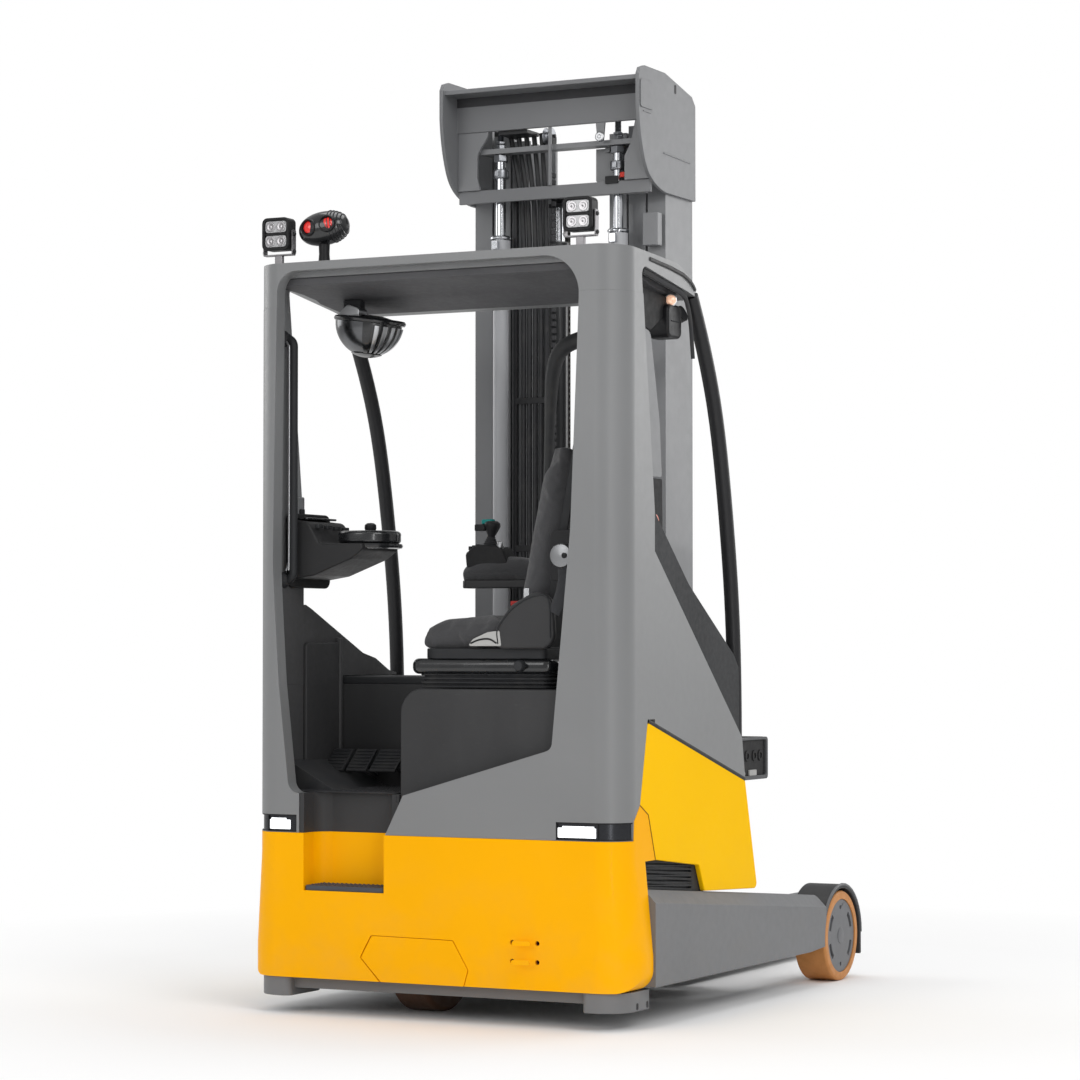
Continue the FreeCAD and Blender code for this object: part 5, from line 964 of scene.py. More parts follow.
def body_point(run, inset):
    """Point on the body's plan outline, a run away from the middle of the rear face."""
    flat = BODY_HALF - CORNER_R
    arc = CORNER_R * math.pi / 2.0
    if run <= flat:
        return Vector((run, inset))
    if run <= flat + arc:
        angle = (run - flat) / CORNER_R
        radius = CORNER_R - inset
        return Vector((flat + radius * math.sin(angle), CORNER_R - radius * math.cos(angle)))
    return Vector((BODY_HALF - inset, CORNER_R + run - flat - arc))


def wrap(start, stop, outer, inner, low, high, steps=14):
    """Strip that follows the body's rear corner, between two insets and two heights."""
    stations = [start + (stop - start) * i / steps for i in range(steps + 1)]
    plan = [body_point(s, outer) for s in stations] + [body_point(s, inner) for s in reversed(stations)]
    return Work().prism(plan, "z", low, high)


def build_headlights():
    """Headlight bars in the rear corners: dark reflector trough, rims and a bright lens."""
    troughs, rims, lenses = Work(), Work(), Work()
    stop = 636
    for side, start, bright in ((1, 398.4, (403, 521)), (-1, 446.4, (469, 541))):
        half = [wrap(start, stop, 5, 38, LAMP_LOW, LAMP_HIGH)]
        edge = [wrap(start, stop, 0.6, 6, LAMP_LOW, LAMP_LOW + 2.6),
                wrap(start, stop, 0.6, 6, LAMP_HIGH - 3.4, LAMP_HIGH),
                wrap(start, start + 3, 0.6, 6, LAMP_LOW, LAMP_HIGH, 2),
                wrap(bright[1] + 6, bright[1] + 8.5, 1.2, 6, LAMP_LOW, LAMP_HIGH, 2)]
        glass = [wrap(*bright, 1.6, 6, LAMP_LOW + 7, LAMP_HIGH - 15),
                 wrap(bright[0] + 14, bright[1] - 6, 1.6, 6, LAMP_HIGH - 15.5, LAMP_HIGH - 10)]
        for group, target in ((half, troughs), (edge, rims), (glass, lenses)):
            for one in group:
                target.take(one if side > 0 else one.flipped())
    piece("headlight_troughs", troughs, "chassis", "lamp_black", "reflector chrome", 0.8, 2,
          replaces=("headlights",))
    piece("headlight_rims", rims, "chassis", "lamp_black", width=0.5)
    piece("headlight_lenses", lenses, "chassis", "lamp_clear", "headlight glow", 1.4, 3)


def build_work_lights():
    """Two square double lamps on brackets: rim, four cups behind two lenses, cooling fins."""
    high = reach_of("work_lights")[1].z
    low = high - 96
    mid = (low + high) / 2
    bezels, lenses, cups, brackets = Work(), Work(), Work(), Work()
    for name, x in (("right", 449), ("left", -544)):
        bezels.block(x - 45, x + 45, 40, 76, low, high, 15, "y")
        bezels.hoop(rounded(box_outline(x - 46, x + 46, low - 0.5, high + 0.5, 17)),
                    rounded(box_outline(x - 37, x + 37, low + 8, high - 8, 11)), "y", 32, 42)
        bezels.block(x - 38, x + 38, 35, 41, mid - 4.5, mid + 4.5, 2, "y")
        for side in (-1, 1):
            z = mid + side * 21.5
            lenses.block(x - 36, x + 36, 35.2, 41, z - 17, z + 17, 9, "y")
            for across in (-1, 1):
                cups.turned([(15, 0), (14.2, 1.3), (10.5, 1.7), (8, 0.8), (4, 0.9), (0, 2.2)],
                            (x + across * 17.5, 35.3, z), (0, -1, 0), 24)
            brackets.block(x + side * 49 - 1.8, x + side * 49 + 1.8, 46, 68, low - 12, mid + 12, 4, "x")
        brackets.block(x - 50, x + 50, 46, 68, low - 15, low - 11, 3, "z")
        brackets.block(x - 13, x + 13, 50, 64, ROOF_HIGH - 8, low - 12, 3, "z")
        brackets.block(x - 27, x + 27, 40, 76, ROOF_HIGH - 8, ROOF_HIGH - 1, 7, "z")
        slats("work_light_fins_" + name, 9, (x - 36, 81, mid), (9, 0, 0), (3, 12, 74), "chassis",
              "lamp_black")
        for title, side in (("bolts", -1), ("screws", 1)):
            bolts("work_light_%s_%s" % (title, name), [(x + side * 50.6, 57, z) for z in (mid, low - 4)],
                  "chassis", (0.0, side * math.pi / 2.0, 0.0), 11, 4.5)
    piece("work_light_housings", bezels, "chassis", "lamp_black", width=2.4, segments=3,
          replaces=("work_lights",))
    piece("work_light_lenses", lenses, "chassis", "lamp_clear", "work lamp glass", 1.6, 2)
    piece("work_light_cups", cups, "chassis", "lamp_clear", "lamp cup")
    piece("work_light_brackets", brackets, "chassis", "bright_rod", "zinc plate", 1)


def build_warning_light():
    """Oval safety lamp with two red spot lenses, cooling ribs, neck and foot."""
    x, y, z = -398, 70, reach_of("warning_light")[1].z - 50
    tilt = pivoted((x, y, z), Matrix.Rotation(math.radians(-9), 4, "Y"),
                   Matrix.Rotation(math.radians(6), 4, "Z"))
    shell = Work().turned([(50 * math.sin(a) ** 0.85, -78 * math.cos(a))
                           for a in (math.pi * i / 20 for i in range(21))], (x, y, z), (1, 0, 0), 40)
    for step in range(5):
        run = 30 + step * 9
        radius = 50 * math.sin(math.acos(run / 78)) ** 0.85
        shell.ring((x, y, z), (1, 0, 0),
                   [(radius - 2, run - 1.6), (radius + 2.2, run - 1.2), (radius + 2.2, run + 1.2),
                    (radius - 2, run + 1.6)], 40)
    cups, glass = Work(), Work()
    for across in (-30, 28):
        centre = (x + across, y - 36, z + 3)
        facing = (across * 0.004, -1, 0.02)
        cups.ring(centre, facing, [(19, -10), (25.5, -10), (26, 9), (24, 13), (21.5, 13), (19, 5)], 36)
        glass.turned([(19.5, -4), (19, 5), (15, 9), (9, 11), (0, 12)], centre, facing, 32)
    for work in (shell, cups, glass):
        work.moved(tilt)
    foot = Work()
    base = ROOF_HIGH - 12
    foot.turned([(26, 0), (26, 8), (20, 12), (17, 22), (15.5, 40), (17, z - base - 34)], (x, y, base),
                (0, 0, 1), 28)
    piece("warning_light_shell", shell, "chassis", "lamp_black", "gloss black", replaces=("warning_light",))
    piece("warning_light_cups", cups, "chassis", "lamp_black")
    piece("warning_light_lenses", glass, "chassis", "lamp_clear", "red spot glass")
    piece("warning_light_foot", foot, "chassis", "lamp_black", width=0.8)
    plate = Work().block(x - 30, x + 30, y - 26, y + 26, base + 4, base + 10, 9, "z")
    piece("warning_light_plate", plate, "chassis", "bright_rod", "zinc plate", 0.8)
    bolts("warning_light_bolts",
          [(x + sx * 23, y + sy * 19, base + 9.6) for sx in (-1, 1) for sy in (-1, 1)], "chassis", across=9,
          height=4, slot="bright_rod")


# ------------------------------------------------------------------ mirror
def pivoted(centre, *turns):
    """Matrix that turns about a centre."""
    matrix = Matrix.Translation(centre)
    for turn in turns:
        matrix = matrix @ turn
    return matrix @ Matrix.Translation(-Vector(centre))


def dome(centre, radius, a0, a1, t0, t1, thick, count=18, rows=9):
    """Patch of a bowl wall: a sweep of azimuth and of angle up from the lowest point."""
    loops = []
    for i in range(count + 1):
        a = math.radians(a0 + (a1 - a0) * i / count)
        outer, inner = [], []
        for j in range(rows + 1):
            t = math.radians(t0 + (t1 - t0) * j / rows)
            for line, r in ((outer, radius), (inner, radius - thick)):
                line.append(Vector(centre) + Vector((r * math.sin(t) * math.cos(a),
                                                     r * math.sin(t) * math.sin(a), -r * math.cos(t))))
        loops.append(outer + inner[::-1])
    return Work().skin(loops)


def build_mirror():
    """Panoramic mirror: polished bowl, ribbed rear housing, dark rim and its roof bracket."""
    low, high = reach_of("panoramic_mirror")
    centre = ((low.x + high.x) / 2, 300, low.z + 96)
    radius = 103
    glass = dome(centre, radius, 170, 291, 24, 88, 3)
    band, ribs = Work(), Work()
    band.take(dome(centre, radius - 5, 0, 360, 2, 88, 5, 36))
    band.take(dome(centre, radius + 2, 289, 303, 6, 90, 9, 4))
    band.take(dome(centre, radius + 3, 0, 360, 2, 26, 10, 36, 4))
    for first in (309, 325, 341, 357, 373):
        ribs.take(dome(centre, radius + 1, first, first + 8, 27, 84, 6, 3))
    cx, cy, cz = centre
    lift = cz + radius * 0.05
    brim = Work().ring((cx, cy, lift), (0, 0, 1),
                       [(radius - 8, -7), (radius + 3, -7), (radius + 6, 0), (radius + 2, 7),
                        (radius - 8, 7)], 48)
    brim.turned([(radius - 7, -3), (radius - 7, 3), (40, 16), (0, 18)], (cx, cy, lift), (0, 0, 1), 40)
    slope = pivoted(centre, Matrix.Rotation(math.radians(7), 4, "Y"))
    for work in (glass, band, ribs, brim):
        work.moved(slope)
    bracket = Work().prism([(cx - 100, high.z - 48, 6), (cx - 60, high.z - 14, 10),
                            (cx - 18, high.z - 30, 10), (cx - 24, lift + 14, 10), (cx - 84, lift + 8, 10)],
                           "y", cy - 30, cy + 20)
    arm = Work().block(cx - 84, cx - 22, cy - 20, cy + 14, lift + 8, high.z - 2, 8, "z")
    piece("mirror_bowl", glass, "chassis", "bright_rod", "mirror face", replaces=("panoramic_mirror",))
    piece("mirror_housing", band, "chassis", "lamp_black", "gloss black", 0.8)
    piece("mirror_ribs", ribs, "chassis", "bright_rod", "satin alloy", 1.2)
    piece("mirror_brim", brim, "chassis", "lamp_black", "gloss black", 1)
    piece("mirror_bracket", bracket, "chassis", "bright_rod", "satin alloy", 2)
    piece("mirror_arm", arm, "chassis", "dark_plastic", width=1.6)


# ------------------------------------------------------------------ cab linings
def build_linings():
    """Inner linings of the cab, seals in the window, door slit, handle trim and side pocket."""
    floor = reach_of("foot_well")[1].z
    lid = reach_of("battery_lid")[1].z
    board = Work()
    edge = [(217.5, 642), (217.5, 1196, 12), (262, 1180, 30), (573, 1046, 60), (650, 1030, 20),
            (735, 992, 30), (782, 985, 4), (782, lid + 1), (430, lid + 1), (430, 642)]
    board.prism(edge, "x", -586.5, -INNER + 2)
    board.block(-586.5, -INNER - 1, 52, 226, 634, 900)
    board.block(-INNER + 0.3, -INNER + 3, 96, 216, 660, 1060)
    board.take(wrap(558, 780, 46.4, 50, floor, 1250, 22).flipped())
    piece("left_lining", board, "chassis", "dark_plastic", "cab lining", 4, 3)
    pocket = Work().block(-INNER + 1, -INNER + 15, 214, 430, 700, 1078, 16, "x")
    piece("side_pocket", pocket, "chassis", "dark_plastic", "pocket grey", 5, 3)
    rib = Work().block(-INNER + 1, -INNER + 20, 404, 420, 700, 1092, 5, "x")
    piece("pocket_rib", rib, "chassis", "dark_plastic", "cab lining", 5, 3)
    pillar = Work().prism([(180, 1552, 10), (136, 1990, 6), (290, 1968, 30), (352, 1712, 200),
                           (366, 1552, 10)], "x", INNER - 5, INNER)
    piece("window_board", pillar, "chassis", "shell_grey", "pillar board", 2)
    upper = Work().prism([(130, 1994), (122, 2104, 6), (420, 2074, 20), (400, 2030, 30), (292, 1972)], "x",
                         INNER - 6, INNER)
    piece("window_board_head", upper, "chassis", "dark_plastic", "black lining", 2)
    lower = Work().prism([(200, 1238, 6), (190, 1548, 6), (368, 1548, 6), (372, 1268, 10)], "x", INNER - 5,
                         INNER)
    piece("window_board_foot", lower, "chassis", "dark_plastic", "black lining", 2)
    disc = Work().turned([(27, 0), (27, 1.6), (25, 2.2), (0, 2.2)], (INNER + 0.1, 316, 1418), (1, 0, 0), 32)
    piece("blank_disc", disc, "chassis", "dark_plastic", "disc red")
    face = Work().turned([(18, 0), (18, 0.8), (0, 0.8)], (INNER + 2.2, 316, 1418), (1, 0, 0), 32)
    piece("blank_disc_face", face, "chassis", "lamp_clear", "plate white")
    slit = Work()
    slit.tube([(BODY_HALF + 0.1, 186, 2162), (BODY_HALF + 0.1, 330, 2151), (BODY_HALF + 0.1, 420, 2140),
               (BODY_HALF + 0.1, 470, 2125), (BODY_HALF - 0.3, 490, 2114), (BODY_HALF - 2, 506, 2104)], 6,
              10, 0.3, (0, 0, 1))
    piece("roof_rail_slit", slit, "chassis", "lamp_black", width=0)
    seals = Work()
    seals.tube([(BODY_HALF + 0.3, 172, 856.6), (BODY_HALF + 0.3, BATTERY_END, 668.6)], 5.6, 8, 0.28,
               (0, 0.27, 1))
    piece("cover_seal", seals.mirrored(), "chassis", "lamp_black")
    frame_run = [(INNER + 34, 160, 2128), (INNER + 34, 300, 2108), (INNER + 34, 430, 2088),
                 (INNER + 34, 466, 2064), (INNER + 34, 490, 2010), (INNER + 34, 508, 1905)]
    piece("window_seal", Work().tube(smooth_path(frame_run, 5), 9, 10, 0.6, (0, 1, 0)), "chassis",
          "tread_rubber")
    strip = [(-INNER + 17, 92, 1290), (-INNER + 25, 91, 1312), (-INNER + 27, 91, 1340),
             (-INNER + 27, 91, 1900), (-INNER + 25, 92, 1950), (-INNER + 16, 94, 1968)]
    piece("handle_strip", Work().tube(smooth_path(strip, 6), 3.4, 10), "chassis", "bright_rod",
          "satin alloy")
    boots = Work()
    for z in (1262, 1978):
        boots.turned([(24, 0), (24, 6), (17, 14), (14, 20)], (-INNER - 0.5, 104, z), (1, 0, 0), 28)
    piece("handle_boots", boots, "chassis", "tread_rubber", width=1)
    latch = Work().block(-INNER, -INNER + 7, 178, 214, 1398, 1512, 6, "x")
    piece("pillar_latch", latch, "chassis", "bright_rod", "satin alloy", 2)
    keep = Work().block(-INNER + 6, -INNER + 12, 184, 208, 1440, 1476, 3, "x")
    piece("pillar_latch_keep", keep, "chassis", "dark_plastic", width=1.5)


# ------------------------------------------------------------------ seat and controls
PRESSURE = 4.0                # air that blows up a soft piece
FINE_ENOUGH = 24000           # faces from which a soft piece is left as it is
SETTLE = 20                   # steps of the cloth simulation


def inflated(name, work, cap, voxel):
    """Soft piece blown up by a cloth simulation, at most by a cap in millimetres, and then smoothed."""
    thing = placed(name, work)
    grain = thing.modifiers.new("grain", "REMESH")
    grain.mode = "VOXEL"
    grain.voxel_size = voxel / 1000.0
    plain_mesh(thing)
    start = [v.co.copy() for v in thing.data.vertices]
    cloth = thing.modifiers.new("air", "CLOTH")
    cloth.settings.quality = 4
    cloth.settings.mass = 0.3
    cloth.settings.use_pressure = True
    cloth.settings.uniform_pressure_force = PRESSURE
    cloth.settings.effector_weights.gravity = 0.0
    cloth.point_cache.frame_start = 1
    cloth.point_cache.frame_end = SETTLE
    scene = bpy.context.scene
    for number in range(1, SETTLE + 1):
        scene.frame_set(number)
    plain_mesh(thing)
    scene.frame_set(1)
    for vertex, before in zip(thing.data.vertices, start):
        move = vertex.co - before
        if move.length > cap / 1000.0:
            vertex.co = before + move * (cap / 1000.0 / move.length)
    soft = bmesh.new()
    soft.from_mesh(thing.data)
    for _ in range(4):
        bmesh.ops.smooth_vert(soft, verts=soft.verts, factor=0.5, use_axis_x=True, use_axis_y=True,
                              use_axis_z=True)
    soft.to_mesh(thing.data)
    soft.free()
    return thing


def channelled(thing, lines, depth, width, floor=None):
    """Press sewn channels into a soft piece along lines of points, and flatten what rests on a plate."""
    segments = [(at(*a), at(*b)) for a, b in lines]
    low = at(0, 0, floor).z if floor is not None else None
    centre = sum((v.co for v in thing.data.vertices), Vector()) / len(thing.data.vertices)
    for vertex in thing.data.vertices:
        pull = 0.0
        for a, b in segments:
            along = b - a
            share = max(0.0, min(1.0, (vertex.co - a).dot(along) / along.length_squared))
            gap = (vertex.co - (a + along * share)).length * 1000.0
            pull = max(pull, math.exp(-(gap / width) ** 2))
        if pull > 0.01:
            inward = (centre - vertex.co).normalized()
            vertex.co += inward * pull * depth / 1000.0
        if low is not None and vertex.co.z < low:
            vertex.co.z = low


def upholstered(thing, fill, *nodes):
    """Finish a soft piece: one subdivision where it was simulated, the cloth finish, the body it rides on
    and the nodes it stands for.
    """
    if len(thing.data.polygons) < FINE_ENOUGH:
        finer = thing.modifiers.new("finer", "SUBSURF")
        finer.levels = finer.render_levels = 1
        plain_mesh(thing)
    thing.data.shade_smooth()
    dressed(thing, "seat cloth", "chassis", "seat_fabric", *nodes)


SEAT_LOW, SEAT_HIGH = reach_of("seat_cushion")
BACK_LOW, BACK_HIGH = reach_of("seat_backrest")
REEL_X = 386.0                # belt reel, across the truck
REEL_Z = 1322.0


def build_seat():
    """Seat: cushion and backrest with sewn channels, side bolsters, shell, rails and bellows."""
    y0, y1 = SEAT_LOW.y, SEAT_HIGH.y
    tip, back, low, high = SEAT_LOW.x, SEAT_HIGH.x, SEAT_LOW.z, SEAT_HIGH.z
    loops = []
    for run in range(13):
        share = run / 12
        x = tip + 26 + (back - tip - 34) * share
        nose = min(1, math.sqrt(max(0, 1 - (1 - min(1, share / 0.22)) ** 2)) + 0.18)
        crown = low + (high - low - 16) * (0.66 + 0.34 * share) * nose + 6
        loops.append([Vector((x, y, z))
                      for y, z in ((y0 + 24, low + 4), (y1 - 24, low + 4), (y1 - 16, (low + crown) / 2),
                                   (y1 - 26, crown + 6), (y1 - 70, crown), (y0 + 70, crown),
                                   (y0 + 26, crown + 6), (y0 + 16, (low + crown) / 2))])
    cushion = inflated("seat_cushion_soft", Work().skin(loops), 24, 5.5)
    top = high + 2
    seams = [((tip + 60, y0 + 74, top - 22), (back, y0 + 74, top)),
             ((tip + 60, y1 - 74, top - 22), (back, y1 - 74, top)),
             ((tip + 62, y0 + 74, top - 22), (tip + 62, y1 - 74, top - 22)),
             ((tip + 150, y0 + 80, top - 12), (tip + 150, y1 - 80, top - 12))]
    channelled(cushion, seams, 7, 9, low - 0.2)
    upholstered(cushion, 0.8, "seat_cushion")

    lean = (BACK_HIGH.x - BACK_LOW.x - 84) / (BACK_HIGH.z - BACK_LOW.z)
    loops = []
    for run in range(15):
        share = run / 14
        z = BACK_LOW.z + 18 + (BACK_HIGH.z - BACK_LOW.z - 34) * share
        rear = BACK_LOW.x + 82 + lean * (z - BACK_LOW.z) - 6
        thick = 62 - 16 * share
        if share > 0.86:
            thick *= 0.8
        waist = 14 * math.sin(math.pi * share) + 26 * max(0, share - 0.72) / 0.28
        ya, yb = y0 + 16 + waist, y1 - 16 - waist
        loops.append([Vector((x, y, z))
                      for x, y in ((rear, ya + 14), (rear, yb - 14), (rear - thick * 0.5, yb),
                                   (rear - thick - 14, yb - 22), (rear - thick, yb - 70),
                                   (rear - thick, ya + 70), (rear - thick - 14, ya + 22),
                                   (rear - thick * 0.5, ya))])
    rest = inflated("seat_backrest_soft", Work().skin(loops), 22, 6)

    def face(z):
        return BACK_LOW.x + 12 + lean * (z - BACK_LOW.z)

    mid = BACK_LOW.z + 250
    seams = [((face(BACK_LOW.z), y0 + 92, BACK_LOW.z), (face(BACK_HIGH.z), y0 + 104, BACK_HIGH.z)),
             ((face(BACK_LOW.z), y1 - 92, BACK_LOW.z), (face(BACK_HIGH.z), y1 - 104, BACK_HIGH.z))]
    for z in (BACK_LOW.z + 96, mid, mid + 130):
        seams.append(((face(z), y0 + 92, z), (face(z), y1 - 92, z)))
    channelled(rest, seams, 7, 9)
    upholstered(rest, 0.8, "seat_backrest")

    shell = Work()
    outline = [(178, low - 2, 20), (176, low + 62, 30), (226, high + 38, 60), (300, high + 76, 50),
               (356, high + 60, 40), (364, low + 20, 40), (330, low - 2, 10)]
    for y in (y0 - 4, y1 - 20):
        shell.prism(outline, "y", y, y + 24)
    piece("seat_side_shells", shell, "chassis", "dark_plastic", "seat shell", 10, 4)
    lip = Work()
    for y in (y0 - 5, y1 + 5):
        lip.tube(smooth_path([(186, y, low + 12), (186, y, low + 58), (236, y, high + 30),
                              (302, y, high + 62), (346, y, high + 50), (352, y, low + 30)], 5), 2.4, 8)
    piece("seat_shell_trims", lip, "chassis", "dark_plastic")
    flap = Work().prism([(88, low + 6, 4), (104, low + 26, 20), (152, low + 46, 20), (190, low + 50, 4),
                         (196, low + 6, 4)], "y", y0 - 6, y0 + 30)
    piece("seat_lever_plate", flap, "chassis", "bright_rod", "pale moulding", 2.6, 3)
    slot_line = [(98, y0 - 6.4, low + 14), (126, y0 - 6.4, low + 24), (158, y0 - 6.4, low + 26),
                 (182, y0 - 6.4, low + 14)]
    piece("seat_lever_slot", Work().tube(smooth_path(slot_line, 5), 2.6, 8, 0.5, (0, 0, 1)), "chassis",
          "lamp_black")
    reel = Work().turned([(36, 0), (36, 10), (32, 17), (20, 20), (0, 21)], (REEL_X, y0 + 8, REEL_Z),
                         (0, -1, 0), 36)
    piece("belt_reel", reel, "chassis", "bright_rod", "reel grey", 0.8)
    hub = Work().turned([(8, 0), (8, 2), (5, 3), (0, 3)], (REEL_X + 14, y0 - 12.5, REEL_Z), (0, -1, 0), 20)
    piece("belt_reel_spot", hub, "chassis", "lamp_black")
    housing = Work().block(REEL_X - 42, REEL_X + 44, y0 + 7, y0 + 52, 1250, 1396, 18, "y")
    piece("belt_housing", housing, "chassis", "lamp_black", width=4, segments=3)
    belt = Work().tube(smooth_path([(REEL_X + 4, y0 + 2, 1300), (REEL_X + 8, y0 - 2, 1258),
                                    (REEL_X - 2, y0 - 4, 1208), (REEL_X - 24, y0 - 4, 1160)], 6), 19, 12,
                       0.10, (1, 0, 0))
    piece("belt_webbing", belt, "chassis", "seat_fabric", "webbing")
    buckle = Work().block(244, 262, y0 + 40, y0 + 52, 1196, 1232, 4, "y")
    piece("belt_tongue", buckle, "chassis", "lamp_clear", "satin alloy", 2)
    tab = Work().block(204, 240, y0 + 36, y0 + 54, 1182, 1196, 4, "y")
    piece("belt_buckle", tab, "chassis", "lamp_clear", "buckle red", 2)

    x0, x1 = (corner.x for corner in reach_of("seat_suspension"))
    bellows = Work()
    base = reach_of("seat_box")[1].z
    for step in range(4):
        z = base + 2 + step * 12
        bellows.block(x0 + 18 - step % 2, x1 - 6, 92, 404, z, z + 7, 34, "z")
        bellows.block(x0 + 26, x1 - 14, 98, 398, z + 6.5, z + 12.5, 30, "z")
    piece("seat_bellows", bellows, "chassis", "tread_rubber", width=2.6, segments=2,
          replaces=("seat_suspension",))
    rail = Work().block(x0 - 4, x1 + 8, 76, 420, base + 42, base + 87, 40, "z")
    piece("seat_rail_box", rail, "chassis", "dark_plastic", "gloss black", 18, 5)
    knob = Work().turned([(16, 0), (16, 18), (13, 24), (0, 25)], (250, 78, base + 66), (0, -1, 0), 28)
    piece("seat_rail_knob", knob, "chassis", "dark_plastic", width=1.2)


def build_controls():
    """Armrest with its pad, control console, lever and the teal push button."""
    y0, y1 = SEAT_HIGH.y + 10, SEAT_HIGH.y + 86
    pan = reach_of("seat_pan")[0].z
    loops = []
    for run in range(11):
        share = run / 10
        x = -142 + 246 * share
        rise = 1 - 0.5 * (1 - min(1, share / 0.2)) ** 2 - 0.35 * max(0, share - 0.85) / 0.15
        loops.append([Vector((x, y, z))
                      for y, z in ((y0 + 8, 1262), (y1 - 8, 1262), (y1 - 2, 1286),
                                   (y1 - 10, 1266 + 64 * rise), (y0 + 10, 1266 + 64 * rise),
                                   (y0 + 2, 1286))])
    pad = inflated("armrest_soft", Work().skin(loops), 14, 4)
    channelled(pad, [((-136, y0, 1284), (110, y0, 1292)), ((-136, y1, 1284), (110, y1, 1292))], 3.5, 4,
               1250)
    upholstered(pad, 0.75)
    tray = Work().block(-145, 108, y0 - 1, y1 + 1, 1240, 1264, 20, "z")
    tray.prism([(60, 1250), (104, 1250), (250, pan + 8, 6), (200, pan + 8, 6)], "y", y0 + 2, y0 + 24)
    tray.block(200, 250, SEAT_HIGH.y - 20, y0 + 26, pan + 2, pan + 28, 6, "y")
    piece("armrest_tray", tray, "chassis", "dark_plastic", "seat shell", 4, 3, replaces=("armrest",))
    head = Work().prism([(-128, 1302, 8), (-132, 1344, 14), (-96, 1372, 16), (-8, 1362, 20), (14, 1304, 8)],
                        "y", y0 + 3, y1 - 3)
    piece("control_console", head, "chassis", "dark_plastic", "black lining", 5, 3,
          replaces=("joystick_console",))
    boot, grip = Work(), Work()
    x, y = -64, (y0 + y1) / 2
    profile = []
    for step in range(6):
        profile += [(27 - step * 2.6, step * 6), (23 - step * 2.6, step * 6 + 3.4)]
    boot.turned(profile + [(9, 38)], (x, y, 1362), (0.08, 0, 1), 28)
    grip.turned([(10, 0), (12, 12), (19, 26), (25, 40), (24, 50), (16, 56), (0, 57)], (x + 2, y, 1386),
                (0.1, 0, 1), 32)
    grip.block(x - 46, x - 8, y - 22, y + 22, 1412, 1432, 9, "z")
    piece("lever_boot", boot, "chassis", "tread_rubber")
    piece("lever_grip", grip, "chassis", "lamp_black", width=3, segments=3)
    button = Work().block(x - 26, x + 12, y - 16, y + 16, 1432, 1447, 10, "z")
    piece("teal_button", button, "chassis", "lamp_clear", "teal moulding", 4, 3)
    knob = Work().turned([(9, 0), (9, 8), (13, 16), (12, 27), (0, 31)], (-18, y0 + 16, 1352),
                         (0.1, -0.1, 1), 24)
    piece("hydraulic_knob", knob, "chassis", "bright_rod", "satin alloy")
    keys = Work()
    for step in range(3):
        keys.block(-124 + step * 12, -114 + step * 12, y0 + 8, y0 + 20, 1354 + step * 3, 1366 + step * 3, 3,
                   "z")
    piece("console_keys", keys, "chassis", "dark_plastic", width=1.2)


def build_steering():
    """Steering console with its display and keys, and the small wheel with its spinner knob."""
    low, high = reach_of("steering_wheel")
    cx, cy, cz = -338, (low.y + high.y) / 2, 1388
    softened("steering_console", 11, 4, "console plastic")
    screen = Work().block(-INNER + 12, -INNER + 58, 146, 320, 1443, 1449, 8, "z")
    piece("display_screen", screen, "chassis", "lamp_black", "gloss black", 1.6)
    root = Work().block(-INNER - 0.5, -INNER + 16, 118, 352, 1240, 1462, 24, "x")
    piece("console_root", root, "chassis", "dark_plastic", "black lining", 6, 3)
    keys = Work()
    for i in range(4):
        keys.block(-476 + i * 5, -462 + i * 5, 150 + i * 42, 178 + i * 42, 1416 - i * 2, 1428 - i * 2, 4,
                   "z")
    piece("console_buttons", keys, "chassis", "dark_plastic", width=2)
    lip = Work().ring((cx, cy, 1363), (0, 0, 1), [(84, -9), (96, -6), (99, 0), (96, 6), (84, 7)], 48)
    piece("console_lip", lip, "chassis", "dark_plastic", "gloss black")
    rim = Work()
    section = [(80 + 13.5 * math.cos(a), 8 + 12 * math.sin(a))
               for a in (math.radians(-20 + 20 * i) for i in range(11))]
    section += [(79.5 + 13.5 * math.cos(a), -8.5 + 10.5 * math.sin(a))
                for a in (math.radians(140 + 20 * i) for i in range(12))]
    rim.ring((cx, cy, cz), (0, 0, 1), section, 56)
    dish = Work().turned([(26, -17.6), (26, -10), (70, -9), (76, -3), (70, 1), (40, 5), (18, 9), (0, 10)],
                         (cx, cy, cz), (0, 0, 1), 48)
    grips = Work()
    for i in range(3):
        a = math.radians(90 + 120 * i)
        out = Vector((math.cos(a), math.sin(a), 0))
        start = Vector((cx, cy, cz + 2))
        grips.tube([start + out * 20, start + out * 74], [15, 10], 12, 0.45, (-out.y, out.x, 0))
    knob = Work().turned([(8, 0), (8, 12), (15, 18), (18, 28), (17, 38), (10, 43), (0, 44)],
                         (cx - 30, cy + 56, cz + 3), (0, 0, 1), 28)
    piece("steering_rim", rim, "steering_wheel", "dark_plastic", "gloss black",
          replaces=("steering_wheel",))
    piece("steering_dish", dish, "steering_wheel", "dark_plastic", width=0)
    piece("steering_spokes", grips, "steering_wheel", "dark_plastic", width=2)
    piece("steering_knob", knob, "steering_wheel", "lamp_black")
    cap = Work().turned([(15, 0), (15, 2), (12, 3.4), (0, 3.8)], (cx, cy, cz + 9), (0, 0, 1), 28)
    piece("steering_cap", cap, "steering_wheel", "bright_rod", "satin alloy")


# ------------------------------------------------------------------ mast
LIFT_X = 203.0                # lift cylinders, off the middle and off the drive-end face
LIFT_Y = 815.0
CROSS_LOW = 2600.0            # underside of the middle mast's crosshead
HEAD_LOW = 2486.2             # between the head frame's two beams
HEAD_HIGH = 2667.0
MAST_REAR = 885.0             # drive-end face of the inner mast
HOSE_Y = 854.0                # hoses and chain guide, off the drive-end face
BRACE = 436.0                 # top of the outer mast's lower brace
CHAIN_PITCH = 19.05


